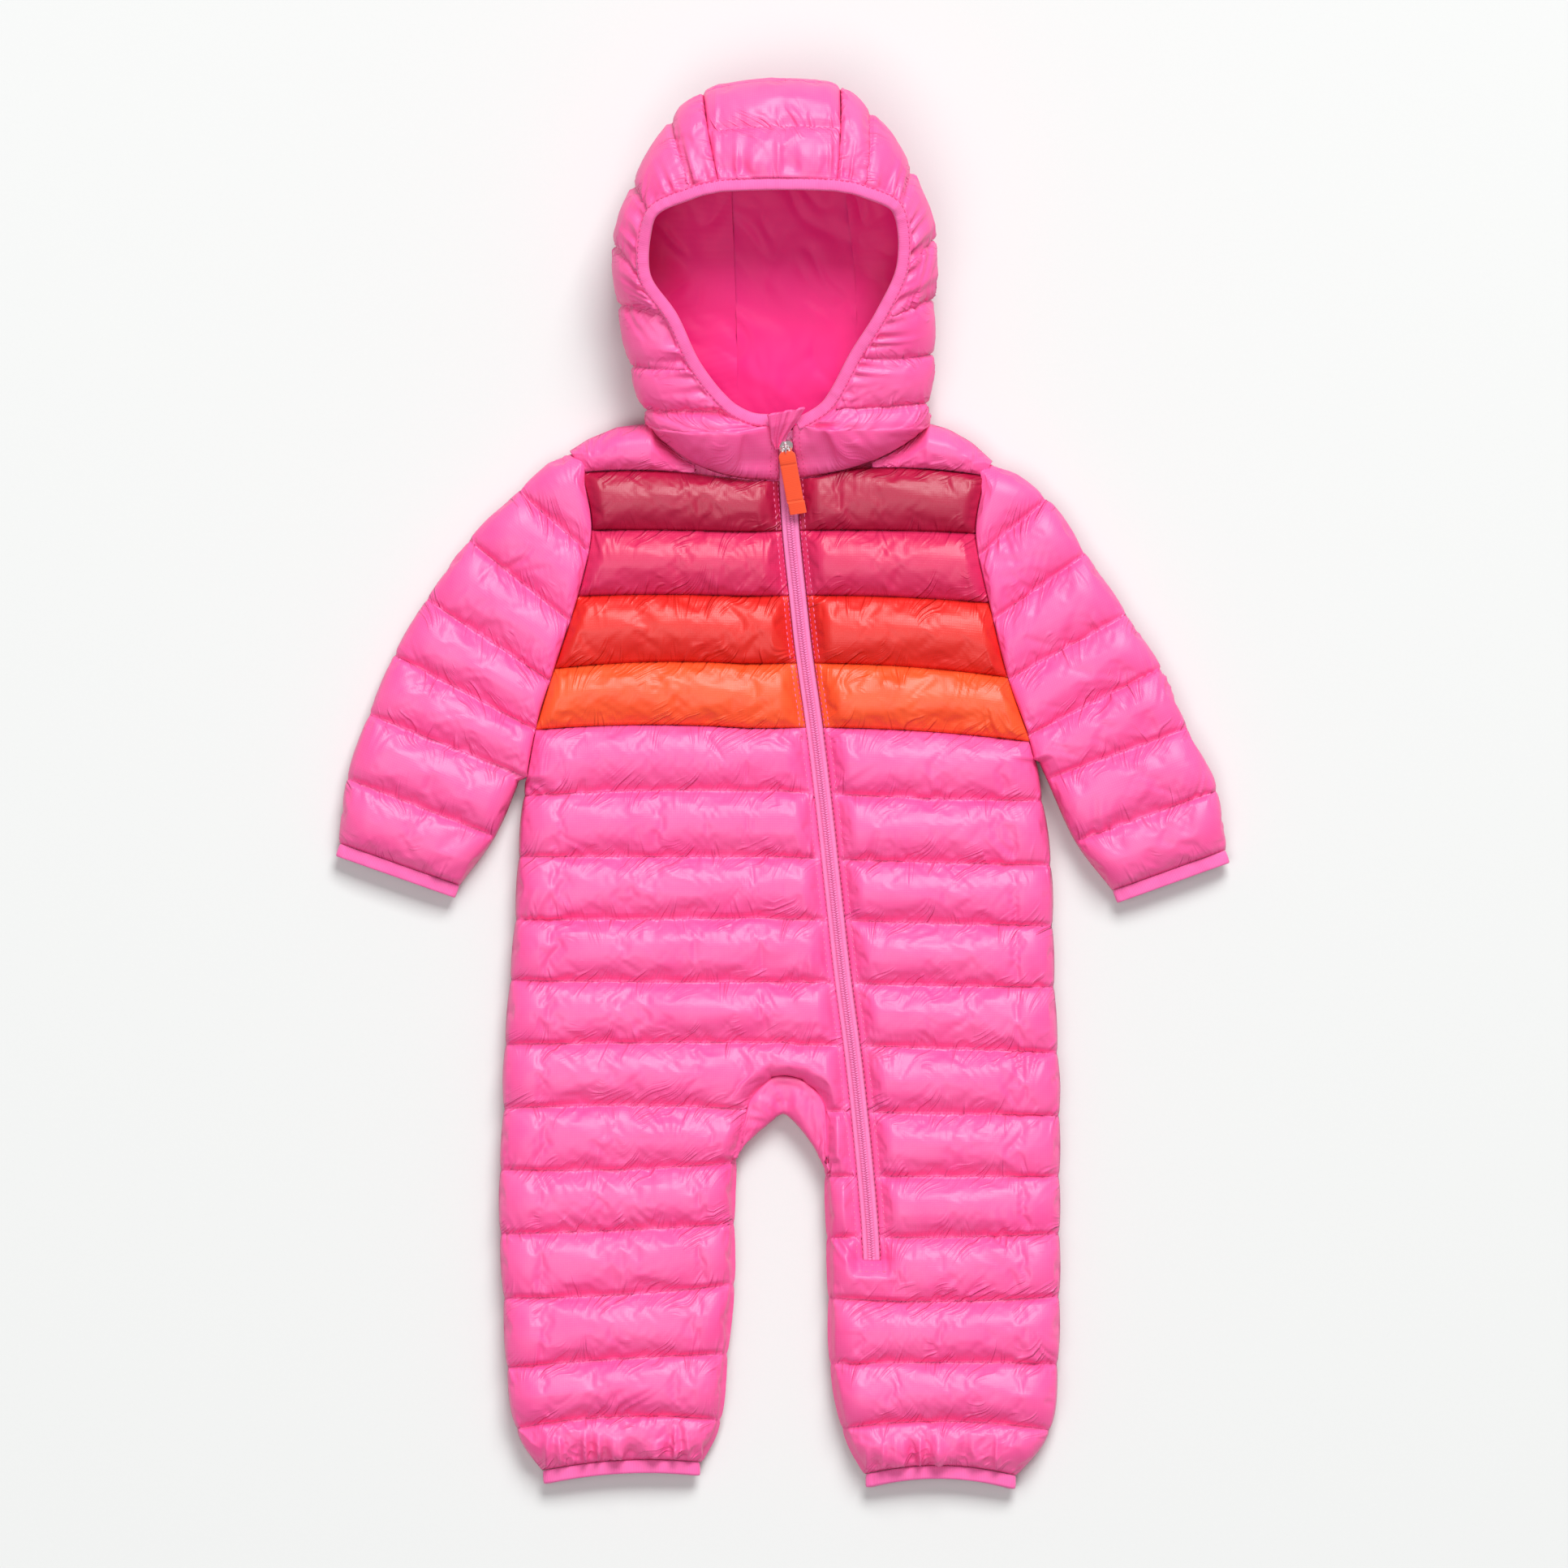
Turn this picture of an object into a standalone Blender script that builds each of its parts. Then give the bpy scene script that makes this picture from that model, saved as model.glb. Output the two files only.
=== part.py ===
"""A padded baby snowsuit with a hood, zipped up and laid flat on its back.

+X points to the wearer's left, +Y to the top of the hood and +Z up from the floor at z = 0.
West is -X, the wearer's right, and east is +X. Tables and sizes are in millimetres.

Each quilted piece is a padded wall: its outer points rise between the quilt lines and sink at
them, and its inner points are plain. Fronts lie on the back, twice SLIT above it.
"""

import math
from collections import namedtuple

import bmesh
import bpy
import numpy as np
from mathutils import Vector

MM = 0.001
BOX_CENTRE = (-0.984, -1.382)  # middle of the whole garment's box, moved to the origin at the end
WEARER = {"west": "right", "east": "left"}
STRIPES = {1: "dark_berry", 2: "berry", 3: "red", 4: "orange"}  # by the quilt line at each one's top

# Padded walls
MID_PLANE = 14.7  # height at which the front's and the back's layers meet
SLIT = 0.2  # half of the gap between those layers
SEAM_RISE = 5.8  # top of a quilt line above the mid plane
PUFF = 10.0  # height of a baffle's crest above its quilt lines
EDGE_LIP = 1.7  # half thickness of the two layers where a side seam joins them
SEAM_GAP = 0.35  # clearance between two pieces that are sewn edge to edge
NECK_CLEARANCE = 1.3  # and between the hood and the back's neck seam, which is cut straighter
INNER_INSET = 1.5  # how far a wall's inner edge stays back from its seam
GROOVE = 1.2  # depth of the quilt lines on the side that lies on the floor
GROOVE_REACH = 0.18  # share of a baffle over which the underside rises to a quilt line
SCALLOP = 1.2  # how far a baffle bulges past its quilt lines at a side seam
SIDE_ROLL = 20.0  # width over which a side rounds off
SEAM_ROLL = 9.0  # width over which a baffle sinks to a sewn seam
END_HEIGHT = 9.0  # mid plane of the flattened ankle and cuff ends
END_SLIT = 1.7  # half of the opening there
ANKLE_GATHER = 1.3  # height of the folds that the ankle's elastic draws in
ROWS_PER_BAFFLE = 4
FRONT_EDGE_STEPS = (0.0, 2.5, 8.0, 18.0)  # grid columns' distances from a side
BACK_EDGE_STEPS = (0.0, 6.0, 19.0)

# Front zip
ZIP_HALF_OPENING = 5.3
ZIP_MARGIN = 5.0  # flat topstitched margin beside the tapes
ZIP_END_V = 13.6
TAPE_THICKNESS = 1.0
TEETH_WIDTH = 4.4
TEETH_HEIGHT = 2.0
TAPE_END_Y = 209.0
TEETH_END_Y = 195.6

# Slider and pull
SLIDER_WIDTH = 8.4
SLIDER_LENGTH = 9.0
SLIDER_HEIGHT = 4.4
BRIDGE_WIRE = 0.7
BRIDGE_REACH = 2.9
BRIDGE_RISE = 3.0
TAB_THICKNESS = 0.9
TAB_HALF_WIDTH = 2.5
TAB_BAR = 0.5  # half depth of the bar under the bridge
TAB_EYE_END = 4.6
TAB_NECK = 5.6
TONGUE_HALF_WIDTH = 1.8
TONGUE_END = 12.0
WEBBING_WIDTH = 10.0
WEBBING_END_WIDTH = 5.2  # where it is folded in at the tab
WEBBING_TAPER = 2.4
WEBBING_THICKNESS = 2.8
WEBBING_CLEARANCE = 0.3

# Cover over the zip's top: rows of west x, west y, east x, east y, and their heights above the tapes
GARAGE = [(-8.6, 217.5, 12.0, 221.5), (-8.2, 210.0, 9.5, 213.0), (-5.5, 206.4, 4.8, 206.4)]
GARAGE_LIFTS = (8.2, 8.6, 6.6)
GARAGE_THICKNESS = 1.8
GARAGE_CROWN = 1.2
COLLAR_EDGE_Y = 211.0  # the zip ends here, and the cover bends back

# Hood
HOOD_WALL = 8.0
HOOD_RIM_WALL = 2.6
HOOD_PUFF = 5.0
HOOD_BACK_LIFT = 2.5  # height of the hood's quilt lines where it lies on the floor
HOOD_TURN = 30.0  # width over which the hood rounds under to the floor
BAFFLE_PITCH = 37.5
LINING_THICKNESS = 1.2
LINING_GAP = 0.6
HOOD_CENTRE = (-5.0, 290.0, 45.0)  # a point inside the hood, which says where out is
RIM_GATHER = 0.9  # height of the folds that the face opening's elastic draws in
# Columns of the hood's sides and rows of its centre piece, from the rim at 0 to the back at 1.
CROWN_STEPS = (0.0, 0.06, 0.12, 0.18, 0.235, 0.295, 0.35, 0.41, 0.47, 0.54, 0.61, 0.68, 0.75, 0.87, 0.99)
SIDE_SEAM = 0.06  # how far the sides' last line stops short of the crown seam

# Elastic bindings
RIM_BINDING_WIDTH = 7.6
RIM_BINDING_THICKNESS = 4.4
CUFF_BINDING_WIDTH = 8.0
CUFF_BINDING_HALF = 5.8

QuiltLine = namedtuple(
    "QuiltLine",
    "v west_x west_y west_mid_y crotch_west_x crotch_west_y"
    " crotch_east_x crotch_east_y east_mid_y east_x east_y",
)
# Each line runs from the west side to the east side. The crotch columns are the legs' inner
# edges, carried on up through the trunk. Line 0 is the shoulders and 17 the ankles.
QUILT_LINES = [
    QuiltLine(0, -127, 197, 208, -33, 206, -21, 206, 210, 123, 191),
    QuiltLine(1, -120, 184, 185, -32, 181, -20, 180, 187, 119, 182),
    QuiltLine(2, -114, 150, 150, -30, 149, -18, 149, 150, 113, 148),
    QuiltLine(3, -122, 111, 112, -27, 111, -14, 111, 111, 121, 107),
    QuiltLine(4, -136, 68, 72, -25, 71, -11, 71, 70, 132, 63),
    QuiltLine(5, -147, 32, 35, -22, 33, -7, 33, 32, 145, 25),
    QuiltLine(6, -155, -7, -4, -20, -4, -4, -4, -8, 152, -10),
    QuiltLine(7, -158, -43, -43, -18, -43, -1, -43, -46, 157, -48),
    QuiltLine(8, -160, -80, -80, -15, -79, 2, -80, -82, 158, -84),
    QuiltLine(9, -163, -116, -117, -13, -117, 5, -117, -119, 159, -120),
    QuiltLine(10, -166, -154, -153, -10, -153, 8, -154, -156, 161, -159),
    QuiltLine(10.5, -167, -173, -171, -7, -173, 11, -174, -176, 162, -178),
    QuiltLine(10.85, -167, -186, -184, -18, -185, 22, -188, -190, 162, -191),
    QuiltLine(11, -167, -192, -190, -21, -191, 25, -194, -195, 162, -196),
    QuiltLine(12, -169, -228, -228, -30, -224, 25, -232, -232, 162, -232),
    QuiltLine(13, -169, -266, -264, -31, -260, 26, -268, -268, 162, -266),
    QuiltLine(14, -167, -304, -302, -31, -296, 27, -304, -306, 162, -303),
    QuiltLine(15, -165, -345, -340, -35, -337, 28, -343, -342, 161, -343),
    QuiltLine(16, -157, -381, -374, -38, -376, 34, -381, -377, 153, -382),
    QuiltLine(17, -143, -406, -400, -50, -401, 48, -408, -403, 137, -409),
]
CROTCH_V = 10.5
UNDERARM_V = {"west": 5.75, "east": 5.3}
ARCH_ROWS = (CROTCH_V, 10.7, 10.85, 11, 11.33, 11.67)  # rows that meet the gusset
FRONT_SPLITS = (5, 6, 7, 8, 9, 10, *ARCH_ROWS, 12, 13, ZIP_END_V, 14, 15, 16, 17)
BACK_SPLITS = (0.0, 1, 2, 3, 4, 5, 6, 7, 8, 9, 10, *ARCH_ROWS, 12, 13, 14, 15, 16, 17)

ZipPoint = namedtuple("ZipPoint", "y x z")
# Centre of the zip and the top face of its tapes, from below its end up to the collar's top.
ZIP_LINE = [
    ZipPoint(-409, 69.0, 18.5),
    ZipPoint(-340, 55.0, 18.5),
    ZipPoint(-289, 52.1, 18.5),
    ZipPoint(-256, 50.2, 18.5),
    ZipPoint(-208, 45.8, 18.5),
    ZipPoint(-160, 40.6, 18.5),
    ZipPoint(-112, 34.3, 18.5),
    ZipPoint(-64, 29.0, 18.5),
    ZipPoint(-16, 23.8, 18.5),
    ZipPoint(32, 18.0, 18.5),
    ZipPoint(80, 11.3, 18.5),
    ZipPoint(111, 7.9, 18.5),
    ZipPoint(147, 4.1, 18.5),
    ZipPoint(170, 2.6, 18.8),
    ZipPoint(180, 2.1, 21.5),
    ZipPoint(196, 1.2, 31.5),
    ZipPoint(211, -0.2, 40.0),
]
ZIP_BOTTOM_Y = -284.0
SLIDER_Y = 201.0
PULL_END = (7.7, 160.0, 25.5)

SleeveLine = namedtuple("SleeveLine", "s outer_x outer_y inner_x inner_y")
# Quilt lines across each sleeve, from its outer fold to the armhole or the underarm seam.
SLEEVE_LINES = {
    "west": [
        SleeveLine(0, -131.5, 195, -127, 194),
        SleeveLine(1, -157, 173, -115, 137),
        SleeveLine(2, -186, 144, -126, 96),
        SleeveLine(3, -211, 109, -137, 61),
        SleeveLine(4, -230, 76, -147, 32),
        SleeveLine(5, -245, 41, -156, 4),
        SleeveLine(6, -258, 3, -171, -31),
        SleeveLine(7, -263, -35, -192, -60),
    ],
    "east": [
        SleeveLine(0, 127.5, 189, 123, 188),
        SleeveLine(1, 155, 168, 113, 135),
        SleeveLine(2, 178, 136, 123, 97),
        SleeveLine(3, 202, 100, 136, 62),
        SleeveLine(4, 222, 68, 144, 29),
        SleeveLine(5, 238, 33, 155, 3),
        SleeveLine(6, 255, -4, 172, -34),
        SleeveLine(7, 261, -39, 194, -63),
    ],
}
SLEEVE_END = 7

GussetFold = namedtuple("GussetFold", "x y")
# The crotch gusset's free edge, one point for each row of its seam from west to east.
GUSSET_FOLD = [
    GussetFold(-24.5, -219),
    GussetFold(-19.0, -211),
    GussetFold(-13.0, -206),
    GussetFold(-9.5, -203),
    GussetFold(-6.0, -199),
    GussetFold(-3.0, -196.5),
    GussetFold(0.5, -196),
    GussetFold(4.0, -201),
    GussetFold(8.5, -209),
    GussetFold(13.5, -215),
    GussetFold(17.0, -220),
    GussetFold(19.5, -224),
    GussetFold(21.5, -228),
]

Shoulder = namedtuple("Shoulder", "x y")
SHOULDERS = [
    Shoulder(-127, 197),
    Shoulder(-116, 204),
    Shoulder(-99, 211),
    Shoulder(-79, 213.4),
    Shoulder(85, 213.4),
    Shoulder(97, 210),
    Shoulder(111, 202),
    Shoulder(123, 191),
]
BACK_NECK = [Shoulder(-79, 213.2), Shoulder(-28, 207.2), Shoulder(43, 208.2), Shoulder(85, 213.2)]
YOKE_END_X = {"west": -53.0, "east": 52.0}

Station = namedtuple(
    "Station", "k rim_x rim_y rim_z bow_x bow_y side_x side_y side_z back_x back_y"
)
# Quilt lines of the hood's side pieces, each from the zip edge or face opening (rim), round the
# hood's widest outline (side), to the centre piece where it lies on the floor (back). Bow moves
# a line's first stretch off the straight. Line 0 is the neck seam and 7 the crown seam.
HOOD_LINES = {
    "west": [
        Station(0.0, -3.2, 179.3, 24, -17, -19, -79, 214, 14.7, -28, 208),
        Station(0.5, -5.7, 211, 43, 0, 0, -80.5, 216, 20, -28, 221),
        Station(0.7, -18, 212, 45, 0, 0, -81, 217, 23, -28, 226),
        Station(1.0, -34, 220, 48, 0, -1, -82, 221, 27, -28, 233),
        Station(2, -55, 245, 56, 0, -2, -90, 247, 34, -28, 262),
        Station(3, -69, 274, 64, 0, 2, -97, 283, 36, -29, 292),
        Station(4, -86, 301, 71, 0, 0, -100, 318, 38, -30, 318),
        Station(5, -81, 338, 80, 0, 0, -89, 353, 42, -31, 342),
        Station(6, -52, 356, 89, -2, 2, -67, 391, 48, -31, 360),
        Station(7, -39, 357, 92, -2, 2, -48, 406, 50, -31, 372),
    ],
    "east": [
        Station(0.0, 7.5, 180.3, 24, 15, -12, 85, 214, 14.7, 43, 209),
        Station(0.5, 5.3, 211.5, 43, 0, 0, 84.5, 217, 20, 43, 222),
        Station(0.7, 15, 213, 45, 0, 0, 84, 219, 23, 43, 227),
        Station(1.0, 28, 222, 48, 0, -2, 84, 225, 28, 43, 234),
        Station(2, 45, 252, 56, 0, -4, 87, 254, 34, 43, 262),
        Station(3, 60, 276, 64, 0, -2, 87, 287, 36, 42, 292),
        Station(4, 73, 306, 71, 0, 0, 88, 322, 38, 40, 318),
        Station(5, 70, 340, 80, 0, 0, 75, 361, 42, 37, 342),
        Station(6, 44, 355, 89, 2, 2, 53, 396, 48, 35, 360),
        Station(7, 31, 357, 92, 2, 2, 33, 409, 50, 33, 372),
    ],
}
CROWN_K = 7
COLLAR_TOP_K = 0.5
BINDING_START_K = {"west": 0.6, "east": 0.7}
RIM_START_ANGLE = math.radians(20)
SIDE_U = 0.5  # share of a hood line that runs from the rim to the side
TURN_U = 0.75  # and to the end of its turn under
STRIP_BULGE = 5.0

Finish = namedtuple("Finish", "color roughness metallic")
FINISHES = {
    "pink_shell": Finish((0.95, 0.10, 0.38), 0.45, 0.0),
    "dark_berry_shell": Finish((0.42, 0.02, 0.09), 0.45, 0.0),
    "berry_shell": Finish((0.58, 0.02, 0.13), 0.45, 0.0),
    "red_shell": Finish((0.75, 0.04, 0.03), 0.45, 0.0),
    "orange_shell": Finish((0.95, 0.12, 0.02), 0.45, 0.0),
    "pink_lining": Finish((0.78, 0.03, 0.18), 0.55, 0.0),
    "pink_binding": Finish((0.95, 0.14, 0.45), 0.75, 0.0),
    "zip_tape": Finish((0.88, 0.20, 0.48), 0.8, 0.0),
    "zip_teeth": Finish((0.80, 0.18, 0.45), 0.4, 0.0),
    "zip_metal": Finish((0.75, 0.75, 0.77), 0.3, 1.0),
    "orange_webbing": Finish((0.95, 0.09, 0.01), 0.7, 0.0),
}


def smooth(knots, values, at):
    """A cubic curve through a table's values, level with no neighbour past its ends."""
    last = len(knots) - 2
    i = min(max(int(np.searchsorted(knots, at, side="right")) - 1, 0), last)

    def slope(j):
        low, high = max(j - 1, 0), min(j + 1, len(knots) - 1)
        return (values[high] - values[low]) / (knots[high] - knots[low])

    span = knots[i + 1] - knots[i]
    t = min(max((at - knots[i]) / span, 0.0), 1.0)
    return (
        (2 * t**3 - 3 * t**2 + 1) * values[i]
        + (t**3 - 2 * t**2 + t) * span * slope(i)
        + (3 * t**2 - 2 * t**3) * values[i + 1]
        + (t**3 - t**2) * span * slope(i + 1)
    )


def table_row(table, at):
    """The table's row at a value of its first column, blended between its rows."""
    knots = [row[0] for row in table]
    columns = zip(*table)
    return type(table[0])(*(smooth(knots, column, at) for column in columns))


def lerp(a, b, t):
    return a + (b - a) * t


def roll(distance, width):
    """A quarter ellipse: 0 at an edge, 1 from width inside it."""
    t = min(max(distance / width, 0.0), 1.0)
    return math.sqrt(1.0 - (1.0 - t) ** 2)


def puff(v):
    """How full a baffle is at line v: 0 on each quilt line and 1 halfway."""
    return abs(math.sin(math.pi * v)) ** 0.6


def polyline_y(points, x):
    return float(np.interp(x, [p.x for p in points], [p.y for p in points]))


# Meshes


def ladder(first, second):
    """Triangles between two rows of vertices with any counts, each spread evenly."""
    faces = []
    i = j = 0
    while i < len(first) - 1 or j < len(second) - 1:
        next_first = (i + 1) / max(len(first) - 1, 1)
        next_second = (j + 1) / max(len(second) - 1, 1)
        if j == len(second) - 1 or (i < len(first) - 1 and next_first <= next_second):
            faces.append((first[i], first[i + 1], second[j]))
            i += 1
        else:
            faces.append((first[i], second[j + 1], second[j]))
            j += 1
    return faces


def add_object(name, points, faces, finish):
    """An object with closed faces that point out, from points in millimetres."""
    mesh = bpy.data.meshes.new(name)
    shape = bmesh.new()
    corners = [shape.verts.new(Vector(point) * MM) for point in points]
    for face in faces:
        shape.faces.new([corners[i] for i in face])
    for loose in [vert for vert in shape.verts if not vert.link_faces]:
        shape.verts.remove(loose)
    bmesh.ops.recalc_face_normals(shape, faces=shape.faces)
    if shape.calc_volume(signed=True) < 0:
        bmesh.ops.reverse_faces(shape, faces=shape.faces)
    shape.to_mesh(mesh)
    shape.free()
    mesh.shade_smooth()
    mesh.set_sharp_from_angle(angle=math.radians(50))
    return finish_object(name, mesh, finish)


def finish_object(name, mesh, finish):
    obj = bpy.data.objects.new(name, mesh)
    collection().objects.link(obj)
    obj.data.materials.append(material(finish))
    return obj


def collection(name="baby_snowsuit"):
    found = bpy.data.collections.get(name)
    if found is None:
        found = bpy.data.collections.new(name)
        bpy.context.scene.collection.children.link(found)
    return found


def cutters():
    return collection("cutters")


def material(name):
    found = bpy.data.materials.get(name)
    if found is not None:
        return found
    made = bpy.data.materials.new(name)
    made.use_nodes = True
    shader = made.node_tree.nodes["Principled BSDF"]
    finish = FINISHES[name]
    shader.inputs["Base Color"].default_value = (*finish.color, 1.0)
    shader.inputs["Roughness"].default_value = finish.roughness
    shader.inputs["Metallic"].default_value = finish.metallic
    return made


def grid_faces(index):
    """Quads of a grid of vertex numbers."""
    rows, columns = index.shape
    return [
        (index[r, c], index[r, c + 1], index[r + 1, c + 1], index[r + 1, c])
        for r in range(rows - 1)
        for c in range(columns - 1)
    ]


def wall(name, outer, inner, finish):
    """A closed wall between two grids of points, whose counts may differ."""
    outer, inner = np.asarray(outer, float), np.asarray(inner, float)
    points = np.concatenate([outer.reshape(-1, 3), inner.reshape(-1, 3)])
    near = np.arange(outer.shape[0] * outer.shape[1]).reshape(outer.shape[:2])
    far = len(near.ravel()) + np.arange(inner.shape[0] * inner.shape[1]).reshape(inner.shape[:2])
    faces = grid_faces(near) + grid_faces(far)
    faces += ladder(near[0], far[0]) + ladder(near[-1], far[-1])
    faces += ladder(near[:, 0], far[:, 0]) + ladder(near[:, -1], far[:, -1])
    return add_object(name, points, faces, finish)


def masked_wall(name, outer, inner, row_marks, present, finish):
    """A wall on a grid that leaves out some cells.

    row_marks gives the outer rows that the inner rows lie under, and present(i, c) says whether
    the cell below inner row i, in column c, is there.
    """
    outer, inner = np.asarray(outer, float), np.asarray(inner, float)
    points = np.concatenate([outer.reshape(-1, 3), inner.reshape(-1, 3)])
    near = np.arange(outer.shape[0] * outer.shape[1]).reshape(outer.shape[:2])
    far = len(near.ravel()) + np.arange(inner.shape[0] * inner.shape[1]).reshape(inner.shape[:2])
    last_row, last_column = inner.shape[0] - 1, inner.shape[1] - 1

    def there(i, c):
        return 0 <= i < last_row and 0 <= c < last_column and present(i, c)

    faces = []
    for i in range(last_row):
        low, high = row_marks[i], row_marks[i + 1]
        for c in range(last_column):
            if not there(i, c):
                continue
            faces += grid_faces(near[low : high + 1, c : c + 2])
            faces += grid_faces(far[i : i + 2, c : c + 2])
            for column, neighbour in ((c, c - 1), (c + 1, c + 1)):
                if not there(i, neighbour):
                    faces += ladder(near[low : high + 1, column], far[i : i + 2, column])
            for row, mark, neighbour in ((i, low, i - 1), (i + 1, high, i + 1)):
                if not there(neighbour, c):
                    faces += ladder(near[mark, c : c + 2], far[row, c : c + 2])
    return add_object(name, points, faces, finish)


def ring_solid(name, rings, finish, closed=False):
    """A solid through rings of points; its ends are capped unless it closes on itself."""
    rings = np.asarray(rings, float)
    count, sides = rings.shape[:2]
    index = np.arange(count * sides).reshape(count, sides)
    index = np.column_stack([index, index[:, 0]])
    if closed:
        index = np.vstack([index, index[:1]])
    faces = grid_faces(index)
    if not closed:
        faces += [tuple(index[0, :-1]), tuple(index[-1, :-1])]
    return add_object(name, rings.reshape(-1, 3), faces, finish)


# Trunk and legs


def quilt_line(v):
    return table_row(QUILT_LINES, v)


def parabola(points, x):
    (x0, y0), (x1, y1), (x2, y2) = points
    return (
        y0 * (x - x1) * (x - x2) / ((x0 - x1) * (x0 - x2))
        + y1 * (x - x0) * (x - x2) / ((x1 - x0) * (x1 - x2))
        + y2 * (x - x0) * (x - x1) / ((x2 - x0) * (x2 - x1))
    )


def line_y(line, x):
    """Height up the garment of a quilt line at x."""
    west, east = (line.west_x, line.west_y), (line.east_x, line.east_y)
    crotch_west = (line.crotch_west_x, line.crotch_west_y)
    crotch_east = (line.crotch_east_x, line.crotch_east_y)
    if x < crotch_west[0]:
        middle = ((west[0] + crotch_west[0]) / 2, line.west_mid_y)
        return parabola((west, middle, crotch_west), x)
    if x > crotch_east[0]:
        middle = ((east[0] + crotch_east[0]) / 2, line.east_mid_y)
        return parabola((crotch_east, middle, east), x)
    t = (x - crotch_west[0]) / (crotch_east[0] - crotch_west[0])
    return lerp(crotch_west[1], crotch_east[1], t)


def zip_at(y):
    return table_row(ZIP_LINE, y)


def zip_x_on(line):
    """Where the zip's centre crosses a quilt line."""
    y = line.crotch_east_y
    for _ in range(3):
        y = line_y(line, zip_at(y).x)
    return zip_at(y).x


def mid_plane(v, start=15.5, end=17.0):
    """The layers' meeting height, which sinks to the flattened end of a leg or sleeve."""
    return lerp(MID_PLANE, END_HEIGHT, min(max((v - start) / (end - start), 0.0), 1.0))


def half_slit(v, start=16.0, end=17.0):
    return lerp(SLIT, END_SLIT, min(max((v - start) / (end - start), 0.0), 1.0))


def side_scallop(v, side):
    return SCALLOP * puff(v) if v > UNDERARM_V[side] else 0.0


def neck_seam(side, x):
    """Height up the garment of the front neck seam at x."""
    line = HOOD_LINES[side][0]
    low, high = 0.0, 1.0
    for _ in range(40):
        middle = (low + high) / 2
        inside = (bowed(line, middle)[0] - x) * (1 if side == "west" else -1) > 0
        low, high = (middle, high) if inside else (low, middle)
    return bowed(line, (low + high) / 2)[1]


def bowed(line, t):
    """Plan position along a hood line's first stretch, from the rim at 0 to the side at 1."""
    start = np.array([line.rim_x, line.rim_y])
    end = np.array([line.side_x, line.side_y])
    control = (start + end) / 2 + np.array([line.bow_x, line.bow_y])
    return (1 - t) ** 2 * start + 2 * t * (1 - t) * control + t**2 * end


LEG_EDGE = [
    (getattr(line, f"crotch_{side}_x"), getattr(line, f"crotch_{side}_y"))
    for side in ("west", "east")
    for line in (table_row(QUILT_LINES, v) for v in np.linspace(CROTCH_V, 17, 40))
]
ARCH_FLOOR_Y = -215.0  # below this the crotch edge is the legs' inner seam, above it the gusset's


def crotch_edge(x, y):
    """Distance to the legs' inner seams and the gusset seam, and whether it is the gusset's."""
    points = np.array(LEG_EDGE)
    half = len(points) // 2
    low, high = points[0], points[half]
    t = min(max((x - low[0]) / (high[0] - low[0]), 0.0), 1.0)
    points = np.vstack([points, low + (high - low) * t])
    distances = np.hypot(points[:, 0] - x, points[:, 1] - y)
    nearest = int(np.argmin(distances))
    return float(distances[nearest]), points[nearest, 1] > ARCH_FLOOR_Y


def front_top(v, x, y, line):
    """Outer height of the front at a point of quilt line v."""
    middle = mid_plane(v)
    crest = middle + SEAM_RISE + PUFF * puff(v)
    lip, seam = middle + EDGE_LIP, middle + SEAM_RISE
    edges = []
    for side, distance in (("west", x - line.west_x), ("east", line.east_x - x)):
        sewn = v <= UNDERARM_V[side]
        edges.append((distance, seam if sewn else lip, SEAM_ROLL if sewn else SIDE_ROLL))
    if v < ZIP_END_V + 0.2:
        distance = abs(x - zip_at(y).x) - ZIP_HALF_OPENING - ZIP_MARGIN
        edges.append((distance, seam, SEAM_ROLL))
    distance, at_gusset = crotch_edge(x, y)
    edges.append((distance, seam if at_gusset else lip, SEAM_ROLL if at_gusset else 16.0))
    return min(low + (crest - low) * roll(gap, width) for gap, low, width in edges)


def gathered(v, column):
    """Up and down of the small folds that the ankle's elastic draws into the last baffle."""
    reach = min(max((v - 16.2) / 0.5, 0.0), 1.0) * min(max((17.0 - v) / 0.15, 0.0), 1.0)
    return ANKLE_GATHER * reach * (1 if column % 2 else -1)


def body_columns(v, near, inside):
    """The x of each grid column on line v, and the numbers of the zip's and the crotch's columns.

    near gives the steps in from each edge, and inside the cells between them on each half.
    """
    line = quilt_line(v)
    zip_x = zip_x_on(line)
    zip_west = max(zip_x - ZIP_HALF_OPENING, line.crotch_east_x + 14.0)
    zip_east = zip_west + 2 * ZIP_HALF_OPENING
    west_edge = line.west_x - side_scallop(v, "west")
    east_edge = line.east_x + side_scallop(v, "east")
    west = [west_edge + step for step in near]
    west += list(np.linspace(west[-1], line.crotch_west_x - near[-1], inside + 1))[1:-1]
    west += [line.crotch_west_x - step for step in reversed(near)]
    middle = [line.crotch_east_x + step for step in near[:2]]
    middle += [lerp(middle[-1], zip_west - ZIP_MARGIN, 0.5), zip_west - ZIP_MARGIN, zip_west]
    east = [zip_east, zip_east + ZIP_MARGIN, zip_east + ZIP_MARGIN + 8.0]
    east += list(np.linspace(east[-1], east_edge - near[-1], inside + 1))[1:-1]
    east += [east_edge - step for step in reversed(near)]
    return west + middle + east, len(west) + len(middle) - 1, len(west) - 1


def row_steps(splits):
    """Every row between the splits, about ROWS_PER_BAFFLE to a baffle, and the splits' own rows."""
    rows, marks = [splits[0]], [0]
    for low, high in zip(splits, splits[1:]):
        count = max(1, round((high - low) * ROWS_PER_BAFFLE))
        rows += list(np.linspace(low, high, count + 1))[1:]
        marks.append(len(rows) - 1)
    return rows, marks


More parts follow.
